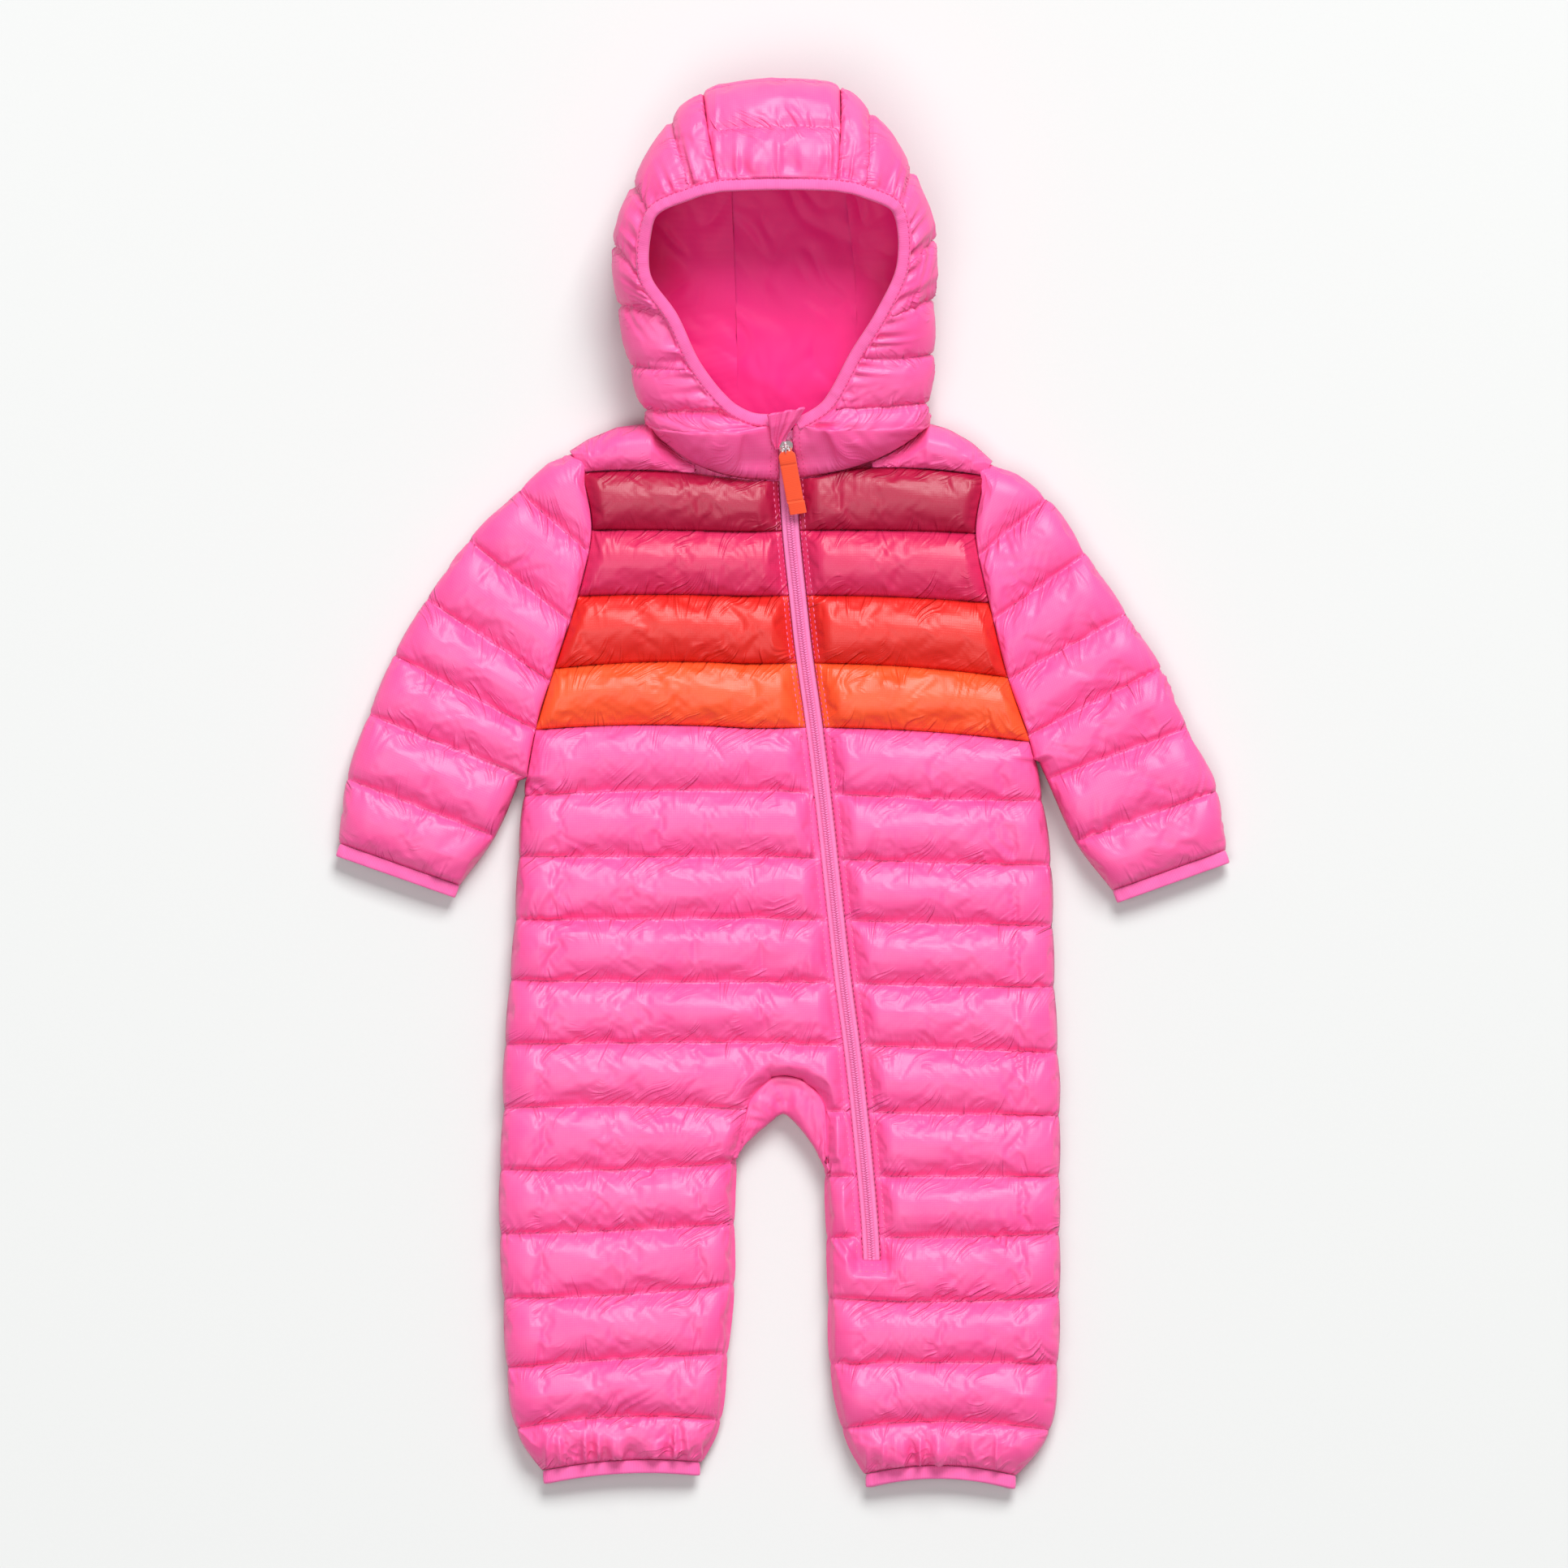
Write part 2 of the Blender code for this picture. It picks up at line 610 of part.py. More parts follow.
def front_lower():
    """The front from the last stripe to the ankles, slit for the zip and open at the crotch."""
    rows, marks = row_steps(FRONT_SPLITS)
    rows[0] += SEAM_GAP / BAFFLE_PITCH
    outer, inner = [], []
    for number, v in enumerate(rows):
        line = quilt_line(v)
        xs, slit_column, crotch_column = body_columns(v, FRONT_EDGE_STEPS, 5)
        row = []
        for column, x in enumerate(xs):
            y = line_y(line, x)
            z = front_top(v, x, y, line) + gathered(v, column)
            row.append((x, y, z))
        outer.append(row)
        if number in marks:
            inner.append(inner_row(row, mid_plane(v) + half_slit(v)))

    def present(i, column):
        v = FRONT_SPLITS[i]
        in_slit = column == slit_column and v < ZIP_END_V
        in_crotch = column == crotch_column and v >= CROTCH_V
        return not in_slit and not in_crotch

    masked_wall("front_lower", outer, inner, marks, present, "pink_shell")


def inner_row(row, height):
    """A wall's plain inner points under one row, held back from the side seams."""
    points = [(x, y, height) for x, y, _ in row]
    points[0] = (points[0][0] + INNER_INSET, points[0][1], height)
    points[-1] = (points[-1][0] - INNER_INSET, points[-1][1], height)
    return points


def stripe_xs(v, side):
    """Columns of one half of a colour stripe, from its armhole to the zip."""
    line = quilt_line(v)
    zip_x = zip_x_on(line)
    sign = 1 if side == "west" else -1
    edge = line.west_x if side == "west" else line.east_x
    steps = [0.0, 3.0, 9.0]
    zip_edge = zip_x - sign * ZIP_HALF_OPENING
    xs = [edge + sign * step for step in steps]
    near_zip = [zip_edge - sign * step for step in (ZIP_MARGIN + 9.0, ZIP_MARGIN, 0.0)]
    return xs + list(np.linspace(xs[-1], near_zip[0], 6))[1:-1] + near_zip


def stripe(name, top_v, side, finish):
    """Half of one colour stripe, between two quilt lines."""
    gap = SEAM_GAP / 2 / BAFFLE_PITCH
    rows = list(np.linspace(top_v + gap, top_v + 1 - gap, 5))
    outer = []
    for v in rows:
        line = quilt_line(v)
        row = []
        for x in stripe_xs(v, side):
            y = line_y(line, x)
            seam_side = HOOD_LINES[side][0]
            if top_v == 1 and min(seam_side.rim_x, seam_side.side_x) < x < max(
                seam_side.rim_x, seam_side.side_x
            ):
                y = min(y, neck_seam(side, x) - 2 * SEAM_GAP)
            row.append((x, y, front_top(v, x, y, line)))
        outer.append(row)
    sign = 1 if side == "west" else -1
    inner = [plain_row(row, MID_PLANE + SLIT, sign) for row in (outer[0], outer[-1])]
    wall(name, outer, inner, finish)


def plain_row(row, height, sign):
    """A row's points at one height, its armhole end held back by INNER_INSET."""
    points = [(x, y, height) for x, y, _ in row]
    points[0] = (points[0][0] + sign * INNER_INSET, points[0][1], height)
    return points


def yoke(side):
    """The plain-coloured shoulder piece between the neck seam, the shoulder and the stripes."""
    sign = 1 if side == "west" else -1
    outer = []
    for v in (1 - SEAM_GAP / 2 / 15, 0.75, 0.5, 0.25, 0.0):
        line = quilt_line(v)
        edge = line.west_x if side == "west" else line.east_x
        row = []
        for share in (0.0, 0.04, 0.12, 0.28, 0.46, 0.63, 0.8, 1.0):
            x = lerp(edge, YOKE_END_X[side], share)
            neck_x = HOOD_LINES[side][0].side_x
            bottom = line_y(quilt_line(1), x) + SEAM_GAP
            top = polyline_y(SHOULDERS, x) - 0.3
            past_neck = (x - neck_x) * sign
            if past_neck > 0:
                top = min(top, neck_seam(side, x) - 2 * SEAM_GAP)
            y = lerp(bottom, top, 1 - v)
            depth = top - bottom
            fullness = PUFF * min(1.0, depth / 28.0) * puff(v)
            crest = MID_PLANE + SEAM_RISE + fullness
            rise = SEAM_RISE if past_neck > 25 else lerp(EDGE_LIP, SEAM_RISE, max(past_neck, 0) / 25)
            lip = MID_PLANE + rise
            armhole = MID_PLANE + SEAM_RISE - 1.0
            heights = (
                lip + (crest - lip) * roll(top - y, 12.0),
                armhole + (crest - armhole) * roll(abs(x - edge), SEAM_ROLL),
            )
            row.append((x, y, min(heights)))
        outer.append(row)
    inner = [plain_row(row, MID_PLANE + SLIT, sign) for row in (outer[0], outer[-1])]
    wall(f"yoke_{WEARER[side]}", outer, inner, "pink_shell")


def back_rows():
    """Rows of the back: its splits, and where each baffle's flat underside starts and ends."""
    rests = [line + share for line in range(17) for share in (GROOVE_REACH, 1 - GROOVE_REACH)]
    rests = [v for v in rests if min(abs(v - split) for split in BACK_SPLITS) > 0.15]
    rows = sorted([*BACK_SPLITS, *rests])
    return rows, [rows.index(split) for split in BACK_SPLITS]


def back_bottom(v, distance, edge_height):
    """Outer height of the back, which lies on the floor and turns up to its edges."""
    middle = mid_plane(v)
    floor = GROOVE * max(0.0, 1 - abs(v - round(v)) / GROOVE_REACH)
    end = min(max((v - 16.5) / 0.5, 0.0), 1.0)
    floor = lerp(floor, middle - END_SLIT - 3.0, end)
    return edge_height + (floor - edge_height) * roll(distance, SIDE_ROLL)


def back():
    """The back with both legs, in one piece, its outer side flat on the floor."""
    rows, marks = back_rows()
    outer, inner = [], []
    for number, v in enumerate(rows):
        line = quilt_line(v)
        xs, slit_column, crotch_column = body_columns(v, BACK_EDGE_STEPS, 2)
        xs = xs[: slit_column - 1] + xs[slit_column + 2 :]
        row = []
        for x in xs:
            y = line_y(line, x)
            top = min(polyline_y(SHOULDERS, x), polyline_y(BACK_NECK, x) if -79 < x < 85 else 1e3)
            if v < 1:
                y = lerp(line_y(quilt_line(1), x), top, 1 - v)
            lip = mid_plane(v) - EDGE_LIP
            edges = [crotch_edge(x, y)[0]]
            for side, distance in (("west", x - line.west_x), ("east", line.east_x - x)):
                if v > UNDERARM_V[side]:
                    edges.append(distance + side_scallop(v, side))
            if not -75 < x < 81:
                edges.append(top - y)
            row.append((x, y, back_bottom(v, min(edges), lip)))
        outer.append(row)
        if number in marks:
            inner.append(inner_row(row, mid_plane(v) - half_slit(v)))

    def present(i, column):
        return column != crotch_column or BACK_SPLITS[i] < CROTCH_V

    masked_wall("back", outer, inner, marks, present, "pink_shell")


# Sleeves, gusset and cuffs: pieces folded in two, with one fold and two sewn edges


def folded_section(fold, seam, middle, slit, top, seam_top, bottom, seam_bottom, fold_roll, seam_roll):
    """Outer and inner points across a folded piece, from its upper edge round the fold to its lower.

    fold and seam are plan points. top and bottom are the heights between them, and seam_top and
    seam_bottom the heights at the seam.
    """
    fold, seam = np.array(fold), np.array(seam)
    width = float(np.hypot(*(fold - seam)))
    across = (fold - seam) / width
    shares = (0.0, 0.04, 0.12, 0.27, 0.5, 0.73, 0.88, 0.96)

    def height(share, far, at_seam):
        from_seam = at_seam + (far - at_seam) * roll(share * width, seam_roll)
        from_fold = middle + (far - middle) * roll((1 - share) * width, fold_roll)
        return (min if far > middle else max)(from_seam, from_fold)

    upper = [(*(seam + across * s * width), height(s, top, seam_top)) for s in shares]
    lower = [(*(seam + across * s * width), height(s, bottom, seam_bottom)) for s in shares]
    outer = upper + [(*fold, middle)] + lower[::-1]
    inset = min(INNER_INSET, 0.25 * width)
    reach = max(width - 12.0, 0.55 * width)
    inner = [
        (*(seam + across * inset), middle + slit),
        (*(seam + across * (inset + reach) / 2), middle + slit),
        (*(seam + across * reach), middle),
        (*(seam + across * (inset + reach) / 2), middle - slit),
        (*(seam + across * inset), middle - slit),
    ]
    return outer, inner


def armhole_x(side, y):
    """x of the armhole seam at a height up the garment."""
    low, high = 0.0, 7.0
    for _ in range(40):
        middle = (low + high) / 2
        low, high = (middle, high) if getattr(quilt_line(middle), f"{side}_y") > y else (low, middle)
    return getattr(quilt_line((low + high) / 2), f"{side}_x")


def sleeve_section(side, s):
    """Outer and inner points across a sleeve at line s."""
    line = table_row(SLEEVE_LINES[side], s)
    sign = -1 if side == "west" else 1
    limit = armhole_x(side, line.inner_y) + sign * 2 * SEAM_GAP
    inner_x = min(line.inner_x, limit) if sign < 0 else max(line.inner_x, limit)
    sewn = line.inner_y > getattr(quilt_line(UNDERARM_V[side]), f"{side}_y")
    fold = np.array([line.outer_x, line.outer_y])
    seam = np.array([inner_x, line.inner_y])
    fold = fold + (fold - seam) / np.hypot(*(fold - seam)) * SCALLOP * puff(s)
    middle = mid_plane(s, SLEEVE_END - 1.2, SLEEVE_END)
    slit = half_slit(s, SLEEVE_END - 1, SLEEVE_END)
    end = min(max((s - SLEEVE_END + 0.5) / 0.5, 0.0), 1.0)
    floor = lerp(GROOVE * (1 - puff(s)), middle - END_SLIT - 3.0, end)
    return folded_section(
        fold,
        seam,
        middle,
        slit,
        top=middle + SEAM_RISE + (PUFF - 1.0) * puff(s),
        seam_top=middle + (SEAM_RISE if sewn else EDGE_LIP),
        bottom=floor,
        seam_bottom=floor if sewn else middle - EDGE_LIP,
        fold_roll=18.0,
        seam_roll=SEAM_ROLL if sewn else 14.0,
    )


def sleeve(side):
    """One sleeve: a single cut piece, folded at its outer side and sewn under the arm."""
    rows = np.linspace(0, SLEEVE_END, 4 * SLEEVE_END + 1)
    sections = [sleeve_section(side, s) for s in rows]
    outer = [outer_points for outer_points, _ in sections]
    inner = [inner_points for _, inner_points in sections[::4]]
    wall(f"sleeve_{WEARER[side]}", outer, inner, "pink_shell")


def gusset_seam():
    """Plan points of the gusset's seam, from the west leg over the crotch to the east leg."""
    west = [(line.crotch_west_x, line.crotch_west_y) for line in map(quilt_line, ARCH_ROWS)]
    east = [(line.crotch_east_x, line.crotch_east_y) for line in map(quilt_line, ARCH_ROWS)]
    middle = np.mean([west[0], east[0]], axis=0)
    return np.array([*reversed(west), middle, *east])


def gusset():
    """The plain crotch gusset, folded along the garment's free edge between the legs."""
    seam = gusset_seam()
    sections = []
    for i, fold in enumerate(GUSSET_FOLD):
        ahead = seam[min(i + 1, len(seam) - 1)] - seam[max(i - 1, 0)]
        inward = np.array([ahead[1], -ahead[0]]) / np.hypot(*ahead)
        sections.append(
            folded_section(
                fold,
                seam[i] + inward * 2.0 * SEAM_GAP,
                MID_PLANE,
                SLIT,
                top=MID_PLANE + SEAM_RISE + 1.5,
                seam_top=MID_PLANE + SEAM_RISE - 1.0,
                bottom=1.5,
                seam_bottom=1.5,
                fold_roll=16.0,
                seam_roll=5.0,
            )
        )
    outer = [outer_points for outer_points, _ in sections]
    inner = [inner_points for _, inner_points in sections]
    wall("crotch_gusset", outer, inner, "pink_shell")


def end_binding(name, fold, seam, onward):
    """The elastic binding round a flattened cuff or ankle, standing on past its end."""
    fold, seam, onward = np.array(fold), np.array(seam), np.array(onward)
    centre = (fold + seam) / 2
    across = (fold - seam) / 2
    half_width = float(np.hypot(*across))
    across = across / half_width
    profile = [
        (SEAM_GAP, 0.15),
        (SEAM_GAP, 0.8),
        (1.8, 1.0),
        (CUFF_BINDING_WIDTH - 1.8, 1.0),
        (CUFF_BINDING_WIDTH, 0.8),
        (CUFF_BINDING_WIDTH, 0.15),
    ]
    rings = []
    for angle in np.linspace(0, 2 * math.pi, 20, endpoint=False):
        squared = [abs(f(angle)) ** 0.6 * math.copysign(1, f(angle)) for f in (math.cos, math.sin)]
        ring = []
        for along, share in profile:
            width = lerp(half_width - 4.5, half_width, share)
            height = lerp(END_SLIT, CUFF_BINDING_HALF, share)
            plan = centre + across * width * squared[0] + onward * along
            ring.append((*plan, END_HEIGHT + height * squared[1]))
        rings.append(ring)
    ring_solid(name, rings, "pink_binding", closed=True)


def sleeve_bindings():
    for side in ("west", "east"):
        line = SLEEVE_LINES[side][-1]
        fold = np.array([line.outer_x, line.outer_y])
        seam = np.array([line.inner_x, line.inner_y])
        across = (fold - seam) / np.hypot(*(fold - seam))
        onward = np.array([across[1], -across[0]])
        onward *= -1 if onward[1] > 0 else 1
        end_binding(f"cuff_binding_{WEARER[side]}", fold, seam, onward)


def ankle_bindings():
    line = QUILT_LINES[-1]
    ends = {
        "west": ((line.west_x, line.west_y), (line.crotch_west_x, line.crotch_west_y)),
        "east": ((line.east_x, line.east_y), (line.crotch_east_x, line.crotch_east_y)),
    }
    for side, (outer, inner) in ends.items():
        lift = np.array([0.0, min(outer[1], inner[1]) - (outer[1] + inner[1]) / 2])
        fold, seam = np.array(outer, float), np.array(inner, float)
        middle_y = (outer[1] + inner[1]) / 2 + lift[1]
        fold[1] = seam[1] = middle_y
        end_binding(f"ankle_binding_{WEARER[side]}", fold, seam, (0.0, -1.0))


# Hood


def hood_base(side, k, u):
    """Point of a hood side piece's middle surface: line k, from the rim at u = 0 to the back."""
    line = table_row(HOOD_LINES[side], k)
    start_angle = RIM_START_ANGLE * min(k, 1.0)
    back_point = np.array([line.back_x, line.back_y])
    edge = np.array([line.side_x, line.side_y])
    to_back = back_point - edge
    reach = np.hypot(*to_back)
    turn = edge + to_back / reach * min(HOOD_TURN, 0.7 * reach)
    if u <= SIDE_U:
        angle = lerp(start_angle, math.pi / 2, u / SIDE_U)
        share = (math.sin(angle) - math.sin(start_angle)) / (1 - math.sin(start_angle))
        rise = math.cos(angle) / math.cos(start_angle)
        return np.array([*bowed(line, share), lerp(line.side_z, line.rim_z, rise)])
    if u <= TURN_U:
        angle = (u - SIDE_U) / (TURN_U - SIDE_U) * math.pi / 2
        plan = turn + (edge - turn) * math.cos(angle)
        return np.array([*plan, lerp(line.side_z, HOOD_BACK_LIFT, math.sin(angle))])
    share = (u - TURN_U) / (1 - TURN_U)
    return np.array([*lerp(turn, back_point, share), HOOD_BACK_LIFT])


def strip_base(v, w):
    """Point of the hood's centre piece: from the rim at v = 0, over the crown at v = 1, to the neck at 2."""
    west = crown_seam("west", v)
    east = crown_seam("east", v)
    return lerp(west, east, w)


def crown_seam(side, v):
    if v <= 1:
        return hood_base(side, CROWN_K, v)
    return hood_base(side, CROWN_K * (2 - v), 1.0)


def normal_of(surface, a, b, a_range, b_range):
    """Unit normal of a surface function, pointing away from the inside of the hood."""
    step = 0.02
    a0, a1 = max(a - step, a_range[0]), min(a + step, a_range[1])
    b0, b1 = max(b - step, b_range[0]), min(b + step, b_range[1])
    along = surface(a1, b) - surface(a0, b)
    across = surface(a, b1) - surface(a, b0)
    normal = np.cross(along, across)
    normal = normal / np.linalg.norm(normal)
    outward = surface(a, b) - HOOD_CENTRE
    return normal if float(np.dot(normal, outward)) > 0 else -normal


def crown_normal(v):
    """Unit normal along the seams between the hood's side and centre pieces."""
    step = 0.02
    along = strip_base(min(v + step, 2.0), 0.5) - strip_base(max(v - step, 0.0), 0.5)
    normal = np.cross(along, (1.0, 0.0, 0.0))
    normal = normal / np.linalg.norm(normal)
    return normal if float(np.dot(normal, strip_base(v, 0.5) - HOOD_CENTRE)) > 0 else -normal


def side_point(side, k, u, distance):
    """A point of a hood side piece, moved off its middle surface, outwards if distance is positive."""

    def surface(a, b):
        return hood_base(side, a, b)

    normal = normal_of(surface, k, u, (0.0, CROWN_K), (0.0, 1.0))
    blend = min(max((k - CROWN_K + 0.8) / 0.6, 0.0), 1.0)
    normal = lerp(normal, crown_normal(u), blend)
    point = surface(k, u) + normal / np.linalg.norm(normal) * distance
    return clear_of_back(point)


def clear_of_back(point):
    """The point, kept above the floor and, below the front, past the back's neck seam."""
    neck = polyline_y(BACK_NECK, point[0]) if point[2] < MID_PLANE + SEAM_GAP else -math.inf
    return np.array([point[0], max(point[1], neck + NECK_CLEARANCE), max(point[2], 0.0)])


def strip_point(v, w, distance):
    """A point of the hood's centre piece, moved off its middle surface."""
    return clear_of_back(strip_base(v, w) + crown_normal(v) * distance)


def wall_thickness(reach):
    """Padding between the shell and the lining, thin at the face binding."""
    return lerp(HOOD_RIM_WALL, HOOD_WALL, min(reach / 0.22, 1.0))


def side_rows():
    """The lines k of a hood side piece's rows."""
    return np.linspace(0.0, CROWN_K - SIDE_SEAM, ROWS_PER_BAFFLE * CROWN_K + 1)


def hood_side(side):
    """One side of the hood: collar, cheek and half of the crown, turned under to the centre piece."""
    outer = []
    for number, k in enumerate(side_rows()):
        row = []
        for u in CROWN_STEPS:
            swell = -1.0 + HOOD_PUFF * puff(k) * min(1.0, 0.35 + 3.0 * u)
            if 0.03 < u < 0.2 and k > COLLAR_TOP_K:
                swell += RIM_GATHER * (1 if number % 2 else -1)
            row.append(side_point(side, k, u, swell))
        outer.append(row)
    thin_ks = [0.08, *range(1, CROWN_K), CROWN_K - 2 * SIDE_SEAM]
    thin_us = CROWN_STEPS[::2]
    inner = [[side_point(side, k, u, -wall_thickness(u)) for u in thin_us] for k in thin_ks]
    wall(f"hood_side_{WEARER[side]}", outer, inner, "pink_shell")
    lining_ks = thin_ks[1:]
    lining = [
        [[side_point(side, k, u, -wall_thickness(u) - depth) for u in thin_us[1:]] for k in lining_ks]
        for depth in (LINING_GAP, LINING_GAP + LINING_THICKNESS)
    ]
    wall(f"hood_lining_{WEARER[side]}", *lining, "pink_lining")


def strip_rows():
    """The centre piece's rows, and how many baffles lie between each and the rim."""
    floor_rows = np.linspace(1.0, 2.0, 11)
    rows = np.array([*CROWN_STEPS[:-1], *floor_rows])
    samples = np.linspace(0, 2, 401)
    points = np.array([strip_base(v, 0.5) for v in samples])
    lengths = np.concatenate([[0], np.cumsum(np.linalg.norm(np.diff(points, axis=0), axis=1))])
    return rows, np.interp(rows, samples, lengths) / BAFFLE_PITCH


def hood_centre():
    """The centre piece from the face opening, over the crown, down the back to the neck."""
    rows, phases = strip_rows()
    ws = (0.008, 0.05, 0.15, 0.32, 0.5, 0.68, 0.85, 0.95, 0.992)
    outer = []
    for v, phase in zip(rows, phases):
        row = []
        for number, w in enumerate(ws):
            edge = roll(min(w, 1 - w), 0.12)
            swell = -1.0 + HOOD_PUFF * puff(phase) * edge * min(1.0, 0.35 + 3.0 * v)
            swell += STRIP_BULGE * 4 * w * (1 - w) * max(0.0, 1 - abs(v - 0.4) / 0.6)
            if 0.02 < v < 0.2:
                swell += RIM_GATHER * (1 if number % 2 else -1)
            row.append(strip_point(v, w, swell))
        outer.append(row)
    thin_ws = (0.03, 0.5, 0.97)
    thin_rows = rows[::2]
    walls = [
        [[strip_point(v, w, -wall_thickness(v) - depth) for w in thin_ws] for v in thin_rows]
        for depth in (0.0, LINING_GAP, LINING_GAP + LINING_THICKNESS)
    ]
    wall("hood_centre", outer, walls[0], "pink_shell")
    wall("hood_lining_centre", walls[1][1:], walls[2][1:], "pink_lining")


def rim_frames():
    """Points round the face opening, each with the direction past its edge and the one outwards."""
    step = 0.04
    west, east = (
        [(side, k) for k in (BINDING_START_K[side], *side_rows()[3:])] for side in ("west", "east")
    )
    found = []
    for piece, where in [*west, *(("centre", w) for w in (0.25, 0.5, 0.75)), *reversed(east)]:
        if piece == "centre":
            edge, behind = strip_base(0.0, where), strip_base(step, where)
        else:
            edge, behind = hood_base(piece, where, 0.0), hood_base(piece, where, step)
        onward = (edge - behind) / np.linalg.norm(edge - behind)
        found.append((edge, onward))
    return found


def hood_binding():
    """The elastic binding folded over the edge of the face opening."""
    frames = rim_frames()
    path = np.array([edge for edge, _ in frames])
    sides = 6
    rings = []
    for i, (edge, onward) in enumerate(frames):
        ahead = path[min(i + 1, len(path) - 1)] - path[max(i - 1, 0)]
        ahead = ahead / np.linalg.norm(ahead)
        onward = onward - ahead * float(np.dot(onward, ahead))
        onward = onward / np.linalg.norm(onward)
        outward = np.cross(onward, ahead)
        outward = outward / np.linalg.norm(outward)
        outward = outward if outward[2] > 0 else -outward
        centre = edge + onward * (RIM_BINDING_WIDTH / 2 + 4.5 * SEAM_GAP) - outward * HOOD_RIM_WALL / 2
        ring = []
        for j in range(sides):
            angle = 2 * math.pi * j / sides
            ring.append(
                centre
                + onward * math.cos(angle) * RIM_BINDING_WIDTH / 2
                + outward * math.sin(angle) * RIM_BINDING_THICKNESS / 2
            )
        rings.append(ring)
    ring_solid("hood_binding", rings, "pink_binding")


# Zip


def zip_strip(name, west, east, low, high, end_y, finish):
    """A band that follows the zip, between two offsets across it and two above its tapes."""
    rings = []
    for y in [*np.arange(ZIP_BOTTOM_Y, 165.0, 18.0), 165.0, 172.0, *np.arange(178.0, end_y, 6.0), end_y]:
        point = zip_at(y)
        rings.append(
            [
                (point.x + west, y, point.z + low),
                (point.x + east, y, point.z + low),
                (point.x + east, y, point.z + high),
                (point.x + west, y, point.z + high),
            ]
        )
    ring_solid(name, rings, finish)


def zip_tapes_and_teeth():
    reach = ZIP_HALF_OPENING - SEAM_GAP
    zip_strip("zip_tape_right", -reach, -0.2, -TAPE_THICKNESS, 0.0, TAPE_END_Y, "zip_tape")
    zip_strip("zip_tape_left", 0.2, reach, -TAPE_THICKNESS, 0.0, TAPE_END_Y, "zip_tape")
    half = TEETH_WIDTH / 2
    zip_strip("zip_teeth", -half, half, 0.3, 0.3 + TEETH_HEIGHT, TEETH_END_Y, "zip_teeth")


def slider_frame():
    """Origin on top of the slider, with unit vectors east, up the zip and away from the garment."""
    low, high = zip_at(SLIDER_Y - 4.0), zip_at(SLIDER_Y + 4.0)
    up_zip = Vector((high.x - low.x, 8.0, high.z - low.z)).normalized()
    outward = Vector((1.0, 0.0, 0.0)).cross(up_zip).normalized()
    east = up_zip.cross(outward)
    here = zip_at(SLIDER_Y)
    base = Vector((here.x, SLIDER_Y, here.z)) + outward * 0.4
    return base + outward * SLIDER_HEIGHT, east, up_zip, outward


def pivot():
    """The pull's axis: the middle of the ring's bar under the slider's bridge."""
    top, east, _, outward = slider_frame()
    return top + outward * (BRIDGE_RISE - BRIDGE_WIRE) / 2, east


def curve_mesh(name, splines, depth=0.0, extrude=0.0, cyclic=True):
    """A mesh made from a curve object: a wire of radius depth, or an outline of thickness 2 extrude."""
    curve = bpy.data.curves.new(name, "CURVE")
    curve.dimensions = "2D" if extrude else "3D"
    curve.fill_mode = "BOTH" if extrude else "FULL"
    curve.bevel_depth = depth * MM
    curve.bevel_resolution = 2
    curve.extrude = extrude * MM
    curve.use_fill_caps = True
    for points in splines:
        spline = curve.splines.new("POLY")
        spline.points.add(len(points) - 1)
        for target, point in zip(spline.points, points):
            target.co = (*(Vector((*point, 0.0)[:3]) * MM), 1.0)
        spline.use_cyclic_u = cyclic
    holder = bpy.data.objects.new(name, curve)
    bpy.context.scene.collection.objects.link(holder)
    bpy.context.view_layer.update()
    mesh = bpy.data.meshes.new_from_object(holder.evaluated_get(bpy.context.evaluated_depsgraph_get()))
    shape = bmesh.new()
    shape.from_mesh(mesh)
    bmesh.ops.remove_doubles(shape, verts=shape.verts, dist=1e-5)
    shape.to_mesh(mesh)
    shape.free()
    bpy.data.objects.remove(holder)
    return mesh


def slider():
    """The zip's slider: a tapered body over the teeth, with a bridge that holds the pull's ring."""
    top, east, up_zip, outward = slider_frame()
    half, length = SLIDER_WIDTH / 2, SLIDER_LENGTH
    outline = [
        (-half, length / 2 - 1.5),
        (-half + 1.2, length / 2),
        (half - 1.2, length / 2),
        (half, length / 2 - 1.5),
        (half, length / 2 - 4.0),
        (half - 1.3, -length / 2 + 0.8),
        (half - 2.0, -length / 2),
        (-half + 2.0, -length / 2),
        (-half + 1.3, -length / 2 + 0.8),
        (-half, length / 2 - 4.0),
    ]
    body_mesh = curve_mesh("slider", [outline], extrude=SLIDER_HEIGHT / 2)
    body = finish_object("zip_slider", body_mesh, "zip_metal")
    middle = top - outward * (SLIDER_HEIGHT / 2)
    place(body, middle, east, up_zip, outward)
    arch = [
        (BRIDGE_REACH * math.cos(angle), BRIDGE_RISE * math.sin(angle), 0.0)
        for angle in np.linspace(-0.15, math.pi + 0.15, 13)
    ]
    bridge = bpy.data.objects.new("bridge", curve_mesh("bridge", [arch], depth=BRIDGE_WIRE, cyclic=False))
    cutters().objects.link(bridge)
    place(bridge, top, up_zip, outward, east)
    union = body.modifiers.new("bridge", "BOOLEAN")
    union.operation = "UNION"
    union.object = bridge
    bridge.hide_render = True
    bridge.display_type = "WIRE"


def place(obj, origin, x_axis, y_axis, z_axis):
    matrix = obj.matrix_world.to_3x3()
    matrix.col[0], matrix.col[1], matrix.col[2] = x_axis, y_axis, z_axis
    obj.matrix_world = matrix.to_4x4()
    obj.location = Vector(origin) * MM


